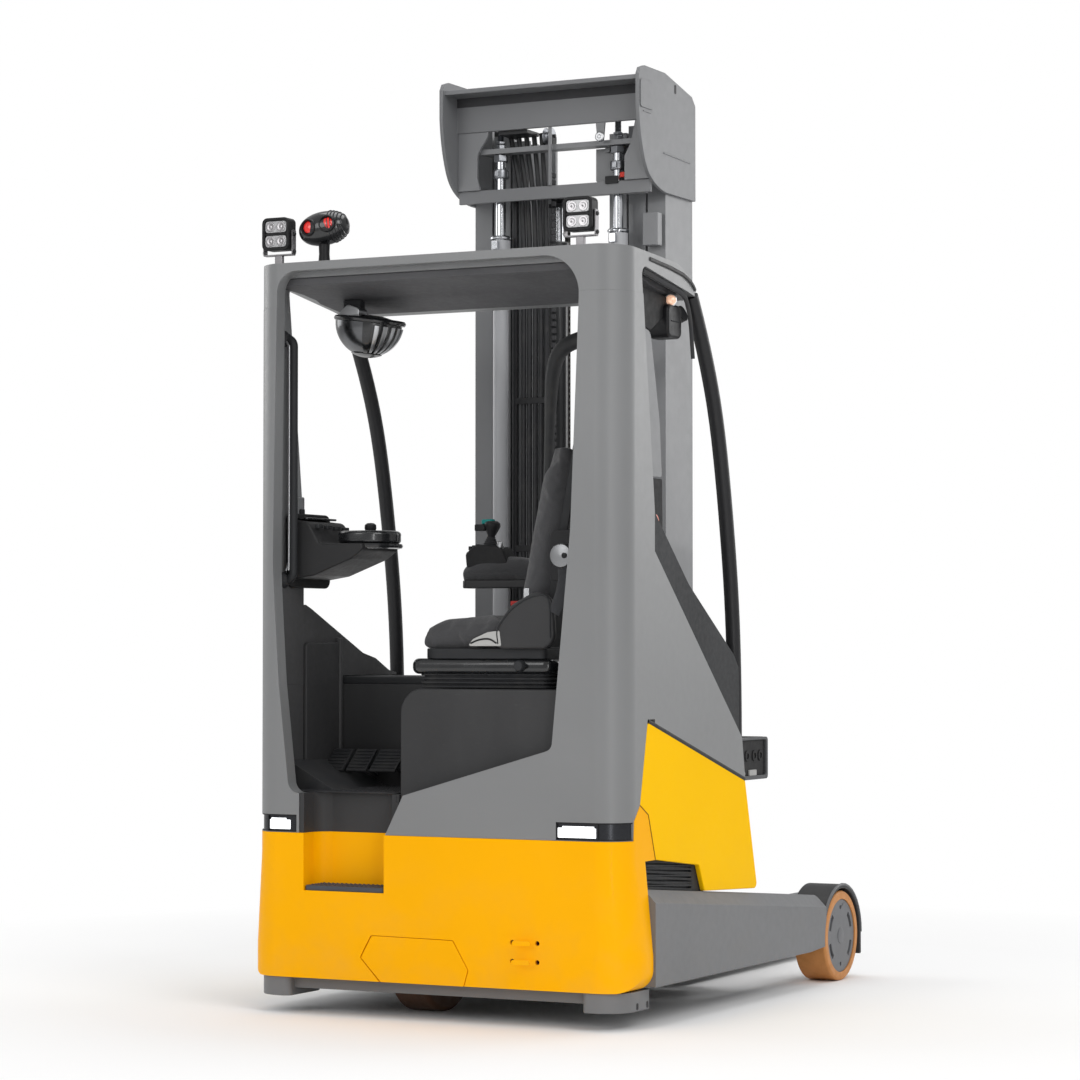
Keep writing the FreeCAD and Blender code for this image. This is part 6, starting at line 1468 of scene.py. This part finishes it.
def nut(work, centre, across, height):
    """Hexagon nut with chamfered ends, on a work."""
    r = across / math.sqrt(3)
    work.turned([(r * 0.88, 0), (r, height * 0.12), (r, height * 0.88), (r * 0.88, height)], centre,
                (0, 0, 1), 6)


def build_mast_head():
    """Head of the mast: studs and nuts on the rods, gussets, guide pulleys, pipes and small plates."""
    studs, nuts, rings, glands = Work(), Work(), Work(), Work()
    for x in (-LIFT_X, LIFT_X):
        thread = []
        for turn in range(16):
            z = 17 + turn * 4
            thread += [(8.6, z), (10.4, z + 2)]
        studs.turned([(10, 0), (10, 16)] + thread + [(8, 82)], (x, LIFT_Y, CROSS_LOW), (0, 0, 1), 20)
        nut(nuts, (x, LIFT_Y, CROSS_LOW + 16), 27, 15)
        nut(nuts, (x, LIFT_Y, CROSS_LOW + 32), 27, 9)
        nut(nuts, (x, LIFT_Y, CROSS_LOW - 24), 40, 23.5)
        rings.ring((x, LIFT_Y, CROSS_LOW - 62), (0, 0, 1),
                   [(16.3, -14), (23, -14), (25, -10), (25, 10), (23, 14), (16.3, 14)], 32)
        rings.block(x - 7, x + 7, LIFT_Y - 29, LIFT_Y - 20, CROSS_LOW - 70, CROSS_LOW - 54, 2, "y")
        glands.ring((x, LIFT_Y, 2336), (0, 0, 1), [(17.2, -2), (33, -2), (33.5, 3), (29, 8), (17.2, 9)], 36)
        glands.ring((x, LIFT_Y, 2286), (0, 0, 1), [(25.2, -3), (32, -3), (32, 6), (25.2, 6)], 36)
        glands.block(x - 10, x + 10, LIFT_Y - 44, LIFT_Y - 28, 2300, 2326, 3, "y")
    piece("rod_studs", studs, "middle_mast", "bright_rod", "dark thread")
    piece("rod_nuts", nuts, "middle_mast", "bright_rod", "zinc nut", 0.6)
    piece("rod_clamps", rings, "middle_mast", "bright_rod", "zinc nut", 0.8)
    piece("cylinder_glands", glands, "outer_mast", "bright_rod", width=0.6)
    cap = Work().turned([(11, 0), (11, 12), (8, 15), (0, 16)], (LIFT_X + 34, LIFT_Y - 36, 2496), (0, 0, 1),
                        24)
    piece("bleed_cap", cap, "outer_mast", "lamp_clear", "cap red", 0.6)
    plates = Work()
    plates.block(LIFT_X + 22, LIFT_X + 104, 789, 826, 2487, 2495, 4, "z")
    plates.block(LIFT_X - 24, LIFT_X + 20, 771, 775.5, 2478, 2502, 3, "y")
    piece("valve_plates", plates, "outer_mast", "lamp_black", width=1)
    blocks = Work()
    blocks.block(LIFT_X + 30, LIFT_X + 100, 791, 824, 2448, 2486.6, 4, "z")
    blocks.block(272, 324, 838, 876, 2292, 2392, 5, "z")
    piece("valve_blocks", blocks, "outer_mast", "mast_grey", width=2)
    gusset = Work()
    gusset.prism([(-329.5, HEAD_LOW), (-252, HEAD_LOW), (-262, 2520, 60), (-262, 2600, 60),
                  (-226, 2650, 40), (-222, HEAD_HIGH), (-329.5, HEAD_HIGH)], "y", 768, 778)
    gusset.prism([(329.5, HEAD_LOW), (329.5, HEAD_HIGH), (282, HEAD_HIGH), (268, 2600, 60), (246, 2560, 30),
                  (246, HEAD_LOW)], "y", 768, 778)
    gusset.block(-14, -5, 768, 778, HEAD_LOW, HEAD_HIGH)
    piece("head_gussets", gusset, "outer_mast", "mast_grey", width=1.4)
    # painted shadow: a thin dark plate on the head beam's face under the top shelf, standing for the shade
    # there
    painted_shadow_plate = Work().block(-329, 329, 761.5, 764.2, 2748, 2776.2)
    piece("head_web", painted_shadow_plate, "outer_mast", "carriage_black", "head shade")
    web = Work().prism([(112, CROSS_LOW - 104, 8), (258, CROSS_LOW - 104, 8), (258, CROSS_LOW - 0.5),
                        (112, CROSS_LOW - 0.5)], "y", 846.5, 855)
    web.block(150, 166, 832, 850, CROSS_LOW - 14, CROSS_LOW - 0.4)
    piece("crosshead_web", web, "middle_mast", "mast_grey", width=1.2)
    wheels, cheeks = Work(), Work()
    wheels.ring((-35, 818, CROSS_LOW + 46), (1, 0, 0),
                [(6, -11), (27, -11), (27, -8), (21, -3), (21, 3), (27, 8), (27, 11), (6, 11)], 40)
    for x in (-51, -19):
        cheeks.prism([(804, CROSS_LOW + 15.8), (832, CROSS_LOW + 15.8), (834, CROSS_LOW + 52, 14),
                      (802, CROSS_LOW + 52, 14)], "x", x - 2.5, x + 2.5)
    cheeks.tube([(-57, 818, CROSS_LOW + 46), (-13, 818, CROSS_LOW + 46)], 6, 16)
    piece("hose_pulley", wheels, "middle_mast", "bright_rod", "zinc nut", 0.6)
    piece("pulley_cheeks", cheeks, "middle_mast", "lamp_black", width=0.8)
    disc = Work().turned([(15, 0), (15, 5), (12, 7), (6, 7), (4, 3), (0, 3)], (166, 764, 2623), (0, -1, 0),
                         32)
    disc.turned([(5, 0), (5, 14)], (166, 772, 2623), (0, -1, 0), 16)
    piece("plug_disc", disc, "outer_mast", "bright_rod", "satin alloy", 0.5)
    strap = Work().prism([(156, 2608, 8), (176, 2608, 8), (182, 2667.2), (150, 2667.2)], "y", 766, 772)
    piece("plug_strap", strap, "outer_mast", "mast_grey", width=0.8)
    outer = reach_of("mast_head")[1].x
    small = Work()
    small.block(outer - 0.3, outer + 3.4, 676, 764, 2690, 2776, 10, "x")
    # the cheek plates take the darker copy of the mast paint: painted shade
    piece("cheek_plate", small.mirrored(), "outer_mast", "mast_grey", "head grey", 1.6)
    slot_mark = Work().block(outer - 0.5, outer + 0.5, 925, 939, 2766, 2794, 5, "x")
    piece("cheek_slot", slot_mark.mirrored(), "outer_mast", "lamp_black")
    weld = Work().tube([(outer, 846, 2572), (outer, 1040, 2566)], 2.6, 8)
    weld.tube([(outer, 700, 2680), (outer, 752, 2680)], 2.2, 8)
    piece("cheek_welds", weld.mirrored(), "outer_mast", "mast_grey")


def build_mast_lines():
    """Hoses and chains up the mast, their clips, and the free lift cylinder with its pulley and chain."""
    hoses, ferrules, clips = Work(), Work(), Work()
    for i in range(5):
        x = -142 + i * 20
        lean = -46 + i * 7
        hoses.tube([Vector((x, HOSE_Y, BRACE + 40)), Vector((x, HOSE_Y, 1300)), Vector((x, HOSE_Y, 2330)),
                    Vector((x + lean * 0.12, HOSE_Y, 2440)), Vector((x + lean * 0.5, HOSE_Y, 2550)),
                    Vector((x + lean, HOSE_Y, 2664))], 8, 14)
        ferrules.turned([(9, 0), (10.2, 3), (10.2, 20), (7, 24), (7, 28)], (x, HOSE_Y, BRACE + 14),
                        (0, 0, 1), 18)
    for z in (BRACE + 60, 900, 1360, 1820, 2230):
        clips.block(-176, -40, 845.5, 861.5, z, z + 20, 4, "z")
    piece("mast_hoses", hoses, "outer_mast", "tread_rubber", "hose cover")
    piece("hose_ferrules", ferrules, "outer_mast", "bright_rod", "zinc nut", 0.5)
    clips.block(-176, -164, 846, 861.5, BRACE - 60, 2480)
    clips.block(-176, -164, 787.5, 861.5, 2452, 2480)
    clips.block(-176, -36, 845.5, 861.5, BRACE + 1, BRACE + 14, 3, "z")
    clips.prism([(-192, 2655, 3), (-92, 2655, 3), (-92, 2668, 3), (-192, 2668, 3)], "y", 778.5, 861.5)
    piece("hose_rail", clips, "outer_mast", "carriage_black", width=1.2)
    beads = Work()
    for i in range(93):
        z = BRACE + 70 + i * 22
        beads.ring((-38, 853, z), (0, 0, 1), [(5, -8.5), (8.2, -8.5), (8.2, 3.5), (7, 6), (5, 6)], 12)
    piece("cable_sleeve", beads, "outer_mast", "tread_rubber", "sleeve grey")
    x, y = -58, 926
    top = reach_of("inner_mast")[1].z - 300
    can = Work().turned([(24, 0), (30, 2), (30, top - 260), (34, top - 258), (34, top - 214),
                         (30, top - 210), (17, top - 209)], (x, y, 190), (0, 0, 1), 40)
    can.block(x - 44, x + 44, MAST_REAR + 1, y + 20, 150, 191, 6, "z")
    can.block(x - 36, x + 36, MAST_REAR + 8, y + 6, 1280, 1310, 6, "z")
    piece("free_lift_barrel", can, "inner_mast", "barrel_dark", width=1)
    rod = Work().turned([(16, 0), (16, 110)], (x, y, top - 20), (0, 0, 1), 32)
    piece("free_lift_rod", rod, "inner_mast", "bright_rod")
    yoke = Work()
    yoke.block(x - 30, x + 30, y - 16, y + 60, top + 88, top + 100, 5, "z")
    for side in (-24, 24):
        yoke.prism([(y + 4, top + 98), (y + 60, top + 98), (y + 60, top + 146, 16), (y + 4, top + 146, 16)],
                   "x", x + side - 3, x + side + 3)
    yoke.tube([(x - 29, y + 32, top + 124), (x + 29, y + 32, top + 124)], 9, 20)
    piece("free_lift_yoke", yoke, "inner_mast", "carriage_black", width=1.2)
    sheave = Work().ring((x, y + 32, top + 124), (1, 0, 0),
                         [(9.5, -12), (34, -12), (36, -10), (30, -8), (30, 8), (36, 10), (34, 12),
                          (9.5, 12)], 40)
    piece("free_lift_sheave", sheave, "inner_mast", "cast_dark", width=0.6)
    run = int((top + 110 - 640) / CHAIN_PITCH)
    grown("free_lift_chain", link_tree, "inner_mast", "bright_rod", "oiled chain", Count=run,
          Start=at(x, y + 62 + 4, 640), Step=Vector((0, 0, CHAIN_PITCH)) / 1000,
          Length=CHAIN_PITCH * 1.06 / 1000, Width=0.014)
    anchor = Work()
    anchor.block(-107, 107, y + 52, y + 80, 470, 500, 5, "x")
    anchor.turned([(8, 0), (8, 120)], (x, y + 66, 498), (0, 0, 1), 20)
    nut(anchor, (x, y + 66, 500), 26, 14)
    piece("chain_anchor", anchor, "lift_carriage", "carriage_black", width=1.2)
    rollers = Work()
    for z in (210, 470):
        rollers.ring((105, 985, z), (1, 0, 0), [(10, -4), (24, -4), (26, 0), (24, 1.5), (10, 1.5)], 32)
    piece("roller_caps", rollers.mirrored(), "lift_carriage", "bright_rod", "zinc nut")
    for name, side in (("right", 1), ("left", -1)):
        bolts("rail_bolts_" + name, [(side * 330, y0, z) for z in (600, 760) for y0 in (930, 1040)],
              "outer_mast", (0.0, side * math.pi / 2.0, 0.0), 20, 9)
    bar_front, bar_top = reach_of("side_shift_frame")[1].yz
    bolts("fork_bar_bolts", [(x0, bar_front, 461) for x0 in (-300, -40, 40, 300)], "side_shift",
          (-math.pi / 2.0, 0.0, 0.0), 19, 9)
    notches = Work()
    for i in range(11):
        notches.block(-330 + i * 66 - 7, -330 + i * 66 + 7, bar_front - 26, bar_front - 12, bar_top - 1,
                      bar_top + 0.6, 3, "z")
    piece("fork_bar_notches", notches, "side_shift", "lamp_black")
    pins, handles = Work(), Work()
    for x0 in (-205, 205):
        handles.turned([(10, 0), (12, 6), (12, 16), (8, 22), (0, 23)], (x0, bar_front + 16, 520.5),
                       (0, 0, 1), 24)
        pins.turned([(6, 0), (6, 40)], (x0, bar_front + 16, 486), (0, 0, 1), 16)
    piece("fork_pins", pins, "side_shift", "bright_rod")
    piece("fork_pin_knobs", handles, "side_shift", "lamp_black", width=0.8)


def build_guard_bar():
    """Padded bar between the seat and the mast, from the roof down to the battery lid."""
    line = smooth_path([(74, 560, 1010), (86, 556, 1300), (98, 548, 1560), (108, 540, 1745),
                        (120, 534, 1880), (150, 528, 1948), (214, 522, 1978), (330, 516, 1996),
                        (470, 512, 2008), (560, 508, 2040)], 6)
    girth = [15 + 9 * max(0, min(1, (p.z - 1700) / 260)) for p in line]
    piece("guard_bar", Work().tube(line, girth, 18), "chassis", "tread_rubber", "bar cover")
    feet = Work().turned([(34, 0), (34, 6), (24, 14), (20, 30)], (74, 560, reach_of("battery_lid")[1].z),
                         (0, 0, 1), 32)
    piece("guard_bar_foot", feet, "chassis", "lamp_black", width=1)


# ------------------------------------------------------------------ chassis and wheels
TOW_X, TOW_Z = 300.5, 210.5   # middle of the four tow sockets
TOW_CORNERS = [(TOW_X + sx * 79.0, TOW_Z + sz * 53.0) for sx in (-0.5, 0.5) for sz in (-0.5, 0.5)]
TOW_LEAN = 0.0947             # the cover's lean behind the bars
DRIVE_X, DRIVE_Y = -141.0, 262.0
GUARD_R = 142.5 + 8.0 + 13.0  # outside of a wheel guard: wheel, gap and wall
# pedal: (middle, half width)
PEDALS = ((-500.0, 34.0), (-420.0, 34.0), (-330.0, 44.0))


def build_cover_details():
    """Step tread, tow sockets, grille ribs, seams, foot slots and charging housing."""
    low, high = reach_of("step_tread")
    softened("step_tread", 2, 2, "tread slate")
    grown("tread_studs", stud_tree, "chassis", "tread_rubber", "tread slate",
          Width=(high.x - low.x - 40) / 1000, Depth=(high.y - low.y - 26) / 1000, Across=16, Deep=5,
          Centre=at((low.x + high.x) / 2, (low.y + high.y) / 2, high.z + 0.8), Radius=0.0042, Height=0.0024)
    sockets = Work()
    bases = Work()
    for x, z in TOW_CORNERS:
        sockets.ring((x, 8, z), (0, 1, 0), [(4.2, 0), (6.8, 0), (6.8, 16), (4.2, 16)], 20)
        bases.turned([(6.6, 0), (6.6, 4)], (x, 22, z), (0, 1, 0), 20)
    bars = Work()
    for sz in (-0.5, 0.5):
        z = TOW_Z + sz * 53
        bars.block(TOW_X - 29, TOW_X + 29, -27 + (z - 200) * TOW_LEAN, -23.6 + (z - 200) * TOW_LEAN, z - 7,
                   z + 7, 6.5, "y")
    piece("tow_bars", bars, "chassis", "cover_yellow", width=1.2)
    piece("tow_sockets", sockets, "chassis", "cast_dark", "socket rust")
    piece("tow_socket_bases", bases, "chassis", "cast_dark")
    side = reach_of("side_covers")[1].x
    for name, x in (("right", side - 17), ("left", -side + 17)):
        slats("grille_ribs_" + name, 9, (x, 346, 384), (0.0, 0.0, 9.4), (6, 330, 3.4), "chassis",
              "dark_plastic", (math.radians(-3.9), 0.0, 0.0))
    seam = Work()
    seam.tube([(BODY_HALF + 0.4, 117, 622), (BODY_HALF + 0.4, 170, 594), (BODY_HALF + 0.4, 217, 466)], 1.5,
              6)
    piece("ear_seams", seam.mirrored(), "chassis", "lamp_black", "seam brown")
    slots = Work()
    foot = reach_of("base_plate")[1].x
    for y in (110, 176):
        slots.block(foot - 3, foot + 0.4, y - 7, y + 7, 54, 73, 5, "x")
    piece("foot_slots", slots.mirrored(), "chassis", "lamp_black")
    low, high = reach_of("charging_socket")
    face = high.x - 7
    shell = Work().block(low.x, face, low.y, high.y, low.z, high.z, 10, "y")
    piece("charging_housing", shell, "chassis", "lamp_black", "black lining", 4, 3,
          replaces=("charging_socket",))
    rim = Work()
    rim.hoop(rounded(box_outline(BATTERY_END + 3, high.y, low.z - 2, high.z, 12)),
             rounded(box_outline(BATTERY_END + 9, high.y - 12, low.z + 10, high.z - 8, 8)), "x", face - 1,
             high.x)
    piece("charging_rim", rim, "chassis", "dark_plastic", "rim grey", 1.6)
    tabs = Work()
    tabs.block(face - 1, high.x - 2, BATTERY_END + 12, BATTERY_END + 50, low.z + 12, low.z + 22, 2, "x")
    tabs.block(face - 1, high.x - 2, BATTERY_END + 84, BATTERY_END + 138, low.z + 10, low.z + 28, 3, "x")
    piece("charging_tabs", tabs, "chassis", "lamp_clear", "pale moulding", 1.4)
    plug = Work()
    for y in (930, 985, 1030):
        plug.ring((face - 1, y, low.z + 70), (1, 0, 0), [(9, 0), (17, 0), (17, 4), (9, 4)], 28)
    piece("charging_contacts", plug, "chassis", "dark_plastic", "black lining", 0.6)


def build_wheel_details():
    """Hub caps and rim lips on the load wheels, guard edge trims in a lighter grey that paints a highlight
    on the guards' outer rims, and bolts on the drive unit.
    """
    hub_low, hub_high = reach_of("load_hub_right")
    out = hub_high.x
    y, z = (hub_low.y + hub_high.y) / 2, (hub_low.z + hub_high.z) / 2
    for name, sign in (("right", 1), ("left", -1)):
        body = "load_wheel_" + name
        cap = Work().turned([(26, -1), (26, 1), (22, 2.4), (0, 3)], (out, y, z), (1, 0, 0), 40)
        lip = Work().ring((out, y, z), (1, 0, 0),
                          [(116.4, -2), (131, -2), (131, 3), (126, 4), (118, 3.6), (116.4, 1)], 64)
        if sign < 0:
            cap.flipped()
            lip.flipped()
        piece("hub_cap_" + name, cap, body, "wheel_grey", width=0.6)
        piece("rim_lip_" + name, lip, body, "load_tyre_tan", "tyre lip")
    guard = reach_of("wheel_guards")[1]
    # the trims carry a lighter grey than the guard: a painted highlight along the outer rim
    trims = Work()
    path = []
    for step in range(18):
        a = math.radians(170 - 10 * step)
        path.append((guard.x - 2, y + (GUARD_R - 0.5) * math.cos(a), z + (GUARD_R - 0.5) * math.sin(a)))
    trims.tube(path, 4.4, 10)
    piece("guard_trims", trims.mirrored(), "chassis", "guard_grey", "guard edge")
    top = reach_of("drive_gearbox")[1].z
    ring = []
    for a in range(15, 360, 30):
        ring.append((DRIVE_X + 104 * math.cos(math.radians(a)), DRIVE_Y + 104 * math.sin(math.radians(a)),
                     top))
    bolts("turntable_bolts", ring, "drive_unit", across=16, height=9)
    fins = Work()
    low, high = reach_of("drive_motor")
    for i in range(7):
        fins.ring((DRIVE_X, DRIVE_Y, low.z + 22 + i * 16), (0, 0, 1), [(88, 0), (94, 0), (94, 5), (88, 5)],
                  48)
    body = frame["nodes"]["drive_motor"]["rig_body"]
    piece("motor_fins", fins, body, "motor_dark")
    cables = Work()
    for i in range(3):
        a = math.radians(40 + 30 * i)
        stations = [(DRIVE_X + run * math.cos(a), DRIVE_Y + run * math.sin(a), high.z + rise)
                    for run, rise in ((60, -4), (70, 16), (84, -2))]
        cables.tube(smooth_path(stations), 6, 10)
    piece("motor_leads", cables, body, "tread_rubber")


def build_foot_well():
    """Floor mat with studs, and pedals with ribbed pads."""
    mat = Work().block(-540, -146, 70, 424, 640, 644, 26, "z")
    piece("floor_mat", mat, "chassis", "tread_rubber", width=1.6)
    grown("floor_mat_studs", stud_tree, "chassis", "tread_rubber", Width=0.34, Depth=0.30, Across=22,
          Deep=20, Centre=at(-343, 247, 645), Radius=0.0042, Height=0.002)
    pads, stalks = Work(), Work()
    for x, wide in PEDALS:
        pads.prism([(300, 690, 4), (372, 752, 4), (366, 759, 4), (294, 697, 4)], "x", x - wide, x + wide)
        stalks.tube([(x, 330, 716), (x, 400, 700), (x, 424, 680)], 8, 12)
    piece("pedal_pads", pads, "chassis", "tread_rubber", width=2)
    piece("pedal_stalks", stalks, "chassis", "bright_rod")
    ribs = Work()
    for x, wide in PEDALS:
        for i in range(6):
            share = 0.12 + i * 0.15
            y, z = 294 + 72 * share, 697 + 62 * share
            ribs.tube([(x - wide + 5, y - 1, z + 1.2), (x + wide - 5, y - 1, z + 1.2)], 2.2, 8)
    piece("pedal_ribs", ribs, "chassis", "tread_rubber")


def build_monitor():
    """Display housing in the right window, with its lamp glass, bar and stem."""
    low, high = reach_of("monitor")
    case = Work().block(low.x, high.x + 14, low.y, high.y, low.z, low.z + 98, 22, "x")
    piece("monitor_case", case, "chassis", "lamp_black", width=9, segments=4, replaces=("monitor",))
    stem = Work().block(520, 545, 405, 440, low.z + 92, high.z - 2, 5, "z")
    piece("monitor_stem", stem, "chassis", "dark_plastic", width=2)
    glass = Work().turned([(15, 0), (15, 4), (11, 9), (0, 11)], (566, 408, low.z + 110), (0.6, -1, 0.1), 28)
    piece("window_lamp", glass, "chassis", "lamp_clear", "warm lamp")
    cup = Work().turned([(10, -22), (18, -16), (18, 1), (15.2, 1.2)], (566, 408, low.z + 110),
                        (0.6, -1, 0.1), 28)
    piece("window_lamp_cup", cup, "chassis", "bright_rod", "satin alloy", 0.6)
    bar = Work().block(548, 556, 300, 352, low.z + 100, low.z + 112, 4, "x")
    piece("window_bar", bar, "chassis", "bright_rod", "satin alloy", 2)
    seam = Work().tube([(high.x + 14.3, low.y + 22, low.z + 49), (high.x + 14.3, high.y - 22, low.z + 49)],
                       2, 8)
    piece("monitor_seam", seam, "chassis", "dark_plastic")


# ------------------------------------------------------------------ add-on
def paint(title, text, red, green, blue):
    """Setting for a paint, from display values."""
    return bpy.props.FloatVectorProperty(name=title, description=text, subtype="COLOR", size=3,
                                         default=linear(red, green, blue)[:3])


def softbox(title, text, watts):
    """Setting for a light's power."""
    return bpy.props.FloatProperty(name=title, description=text, default=watts, min=0.0, subtype="POWER",
                                   unit="POWER")


class ReachTruckColours(bpy.types.PropertyGroup):
    """Paint colours of the truck."""

    covers: paint("Covers", "Paint of the rear and side covers", 252, 178, 0)
    cab: paint("Cab", "Paint of the cab shell and roof", 121, 122, 123)
    chassis: paint("Chassis", "Paint of the wheel arms and base plate", 110, 111, 113)
    mast: paint("Mast", "Paint of the mast rails and head", 124, 125, 127)
    load_tyres: paint("Load tyres", "Compound of the load wheels' tyres", 196, 132, 70)


class ReachTruckStage(bpy.types.PropertyGroup):
    """Light levels of the studio."""

    air: bpy.props.FloatProperty(name="Air", description="Even light from all round", default=0.52, min=0.0)
    key: softbox("Key light", "Softbox at the right rear", 160.0)
    rear: softbox("Rear light", "Softbox behind the drive end", 84.0)
    left: softbox("Left light", "Softbox at the left", 60.0)
    top: softbox("Top light", "Softbox overhead", 150.0)
    forks: softbox("Fork light", "Softbox beyond the forks", 70.0)
    strip: softbox("Strip light", "Tall narrow softbox at the rear corner", 42.0)
    shadow_reach: bpy.props.FloatProperty(name="Shadow reach",
                                          description="Radius of floor that takes a shadow",
                                          default=3.2, min=0.5, subtype="DISTANCE", unit="LENGTH")


class REACHTRUCK_OT_frame(bpy.types.Operator):
    """Round the edges of the frame's nodes and give them their finishes"""

    bl_idname = "reach_truck.frame"
    bl_label = "Frame, covers and mast"

    def execute(self, context):
        soften_frame()
        return {"FINISHED"}


class REACHTRUCK_OT_covers(bpy.types.Operator):
    """Add the step tread, sockets, grille ribs and charging housing"""

    bl_idname = "reach_truck.covers"
    bl_label = "Covers, step and charging housing"

    def execute(self, context):
        build_cover_details()
        return {"FINISHED"}


class REACHTRUCK_OT_wheels(bpy.types.Operator):
    """Add hub caps, lips, guard edge trims with a painted highlight, and the drive unit's bolts and fins"""

    bl_idname = "reach_truck.wheels"
    bl_label = "Wheels and drive unit"

    def execute(self, context):
        build_wheel_details()
        return {"FINISHED"}


class REACHTRUCK_OT_headlights(bpy.types.Operator):
    """Build the headlight troughs, rims and lenses"""

    bl_idname = "reach_truck.headlights"
    bl_label = "Headlights"

    def execute(self, context):
        build_headlights()
        return {"FINISHED"}


class REACHTRUCK_OT_work_lights(bpy.types.Operator):
    """Build the two double work lights on the roof"""

    bl_idname = "reach_truck.work_lights"
    bl_label = "Work lights"

    def execute(self, context):
        build_work_lights()
        return {"FINISHED"}


class REACHTRUCK_OT_warning_light(bpy.types.Operator):
    """Build the oval safety light on the roof"""

    bl_idname = "reach_truck.warning_light"
    bl_label = "Warning light"

    def execute(self, context):
        build_warning_light()
        return {"FINISHED"}


class REACHTRUCK_OT_mirror(bpy.types.Operator):
    """Build the mirror bowl, its housing and bracket"""

    bl_idname = "reach_truck.mirror"
    bl_label = "Panoramic mirror"

    def execute(self, context):
        build_mirror()
        return {"FINISHED"}


class REACHTRUCK_OT_linings(bpy.types.Operator):
    """Add linings, seals, pocket and handle trims in the cab"""

    bl_idname = "reach_truck.linings"
    bl_label = "Cab linings and seals"

    def execute(self, context):
        build_linings()
        return {"FINISHED"}


class REACHTRUCK_OT_foot_well(bpy.types.Operator):
    """Add the floor mat and the pedals"""

    bl_idname = "reach_truck.foot_well"
    bl_label = "Foot well"

    def execute(self, context):
        build_foot_well()
        return {"FINISHED"}


class REACHTRUCK_OT_steering(bpy.types.Operator):
    """Finish the console and build the steering wheel"""

    bl_idname = "reach_truck.steering"
    bl_label = "Steering console"

    def execute(self, context):
        build_steering()
        return {"FINISHED"}


class REACHTRUCK_OT_seat(bpy.types.Operator):
    """Sew and inflate the seat and add its shell, belt and bellows"""

    bl_idname = "reach_truck.seat"
    bl_label = "Seat"

    def execute(self, context):
        build_seat()
        return {"FINISHED"}


class REACHTRUCK_OT_controls(bpy.types.Operator):
    """Build the armrest, console, lever and buttons"""

    bl_idname = "reach_truck.controls"
    bl_label = "Armrest and controls"

    def execute(self, context):
        build_controls()
        return {"FINISHED"}


class REACHTRUCK_OT_monitor(bpy.types.Operator):
    """Build the display housing and lamp in the window"""

    bl_idname = "reach_truck.monitor"
    bl_label = "Monitor"

    def execute(self, context):
        build_monitor()
        return {"FINISHED"}


class REACHTRUCK_OT_guard_bar(bpy.types.Operator):
    """Build the padded bar between seat and mast"""

    bl_idname = "reach_truck.guard_bar"
    bl_label = "Guard bar"

    def execute(self, context):
        build_guard_bar()
        return {"FINISHED"}


class REACHTRUCK_OT_mast_head(bpy.types.Operator):
    """Add studs, nuts, gussets, pulleys and plates at the mast's head"""

    bl_idname = "reach_truck.mast_head"
    bl_label = "Mast head"

    def execute(self, context):
        build_mast_head()
        return {"FINISHED"}


class REACHTRUCK_OT_mast_lines(bpy.types.Operator):
    """Run hoses and chains up the mast and add the free lift cylinder"""

    bl_idname = "reach_truck.mast_lines"
    bl_label = "Hoses and chains"

    def execute(self, context):
        build_mast_lines()
        return {"FINISHED"}


class REACHTRUCK_OT_stage(bpy.types.Operator):
    """Set up the floor, the soft light and the camera"""

    bl_idname = "reach_truck.stage"
    bl_label = "Stage"

    def execute(self, context):
        build_stage()
        return {"FINISHED"}


STEPS = (
    REACHTRUCK_OT_frame,
    REACHTRUCK_OT_covers,
    REACHTRUCK_OT_wheels,
    REACHTRUCK_OT_headlights,
    REACHTRUCK_OT_work_lights,
    REACHTRUCK_OT_warning_light,
    REACHTRUCK_OT_mirror,
    REACHTRUCK_OT_linings,
    REACHTRUCK_OT_foot_well,
    REACHTRUCK_OT_steering,
    REACHTRUCK_OT_seat,
    REACHTRUCK_OT_controls,
    REACHTRUCK_OT_monitor,
    REACHTRUCK_OT_guard_bar,
    REACHTRUCK_OT_mast_head,
    REACHTRUCK_OT_mast_lines,
    REACHTRUCK_OT_stage,
)


class REACHTRUCK_PT_panel(bpy.types.Panel):
    """Lists the building steps of the reach truck"""

    bl_label = "Reach truck"
    bl_space_type = "VIEW_3D"
    bl_region_type = "UI"
    bl_category = "Reach truck"

    def draw(self, context):
        column = self.layout.column(align=True)
        for step in STEPS:
            column.operator(step.bl_idname)
        for settings in (context.scene.reach_truck_colours, context.scene.reach_truck_stage):
            for key in settings.bl_rna.properties.keys():
                if key not in ("rna_type", "name"):
                    self.layout.prop(settings, key)


CLASSES = (ReachTruckColours, ReachTruckStage, *STEPS, REACHTRUCK_PT_panel)


def register():
    for part in CLASSES:
        bpy.utils.register_class(part)
    bpy.types.Scene.reach_truck_colours = bpy.props.PointerProperty(type=ReachTruckColours)
    bpy.types.Scene.reach_truck_stage = bpy.props.PointerProperty(type=ReachTruckStage)


def unregister():
    del bpy.types.Scene.reach_truck_stage
    del bpy.types.Scene.reach_truck_colours
    for part in reversed(CLASSES):
        bpy.utils.unregister_class(part)


def main():
    register()
    for step in STEPS:
        name = step.bl_idname.split(".")[1]
        getattr(bpy.ops.reach_truck, name)()


if __name__ == "__main__":
    main()
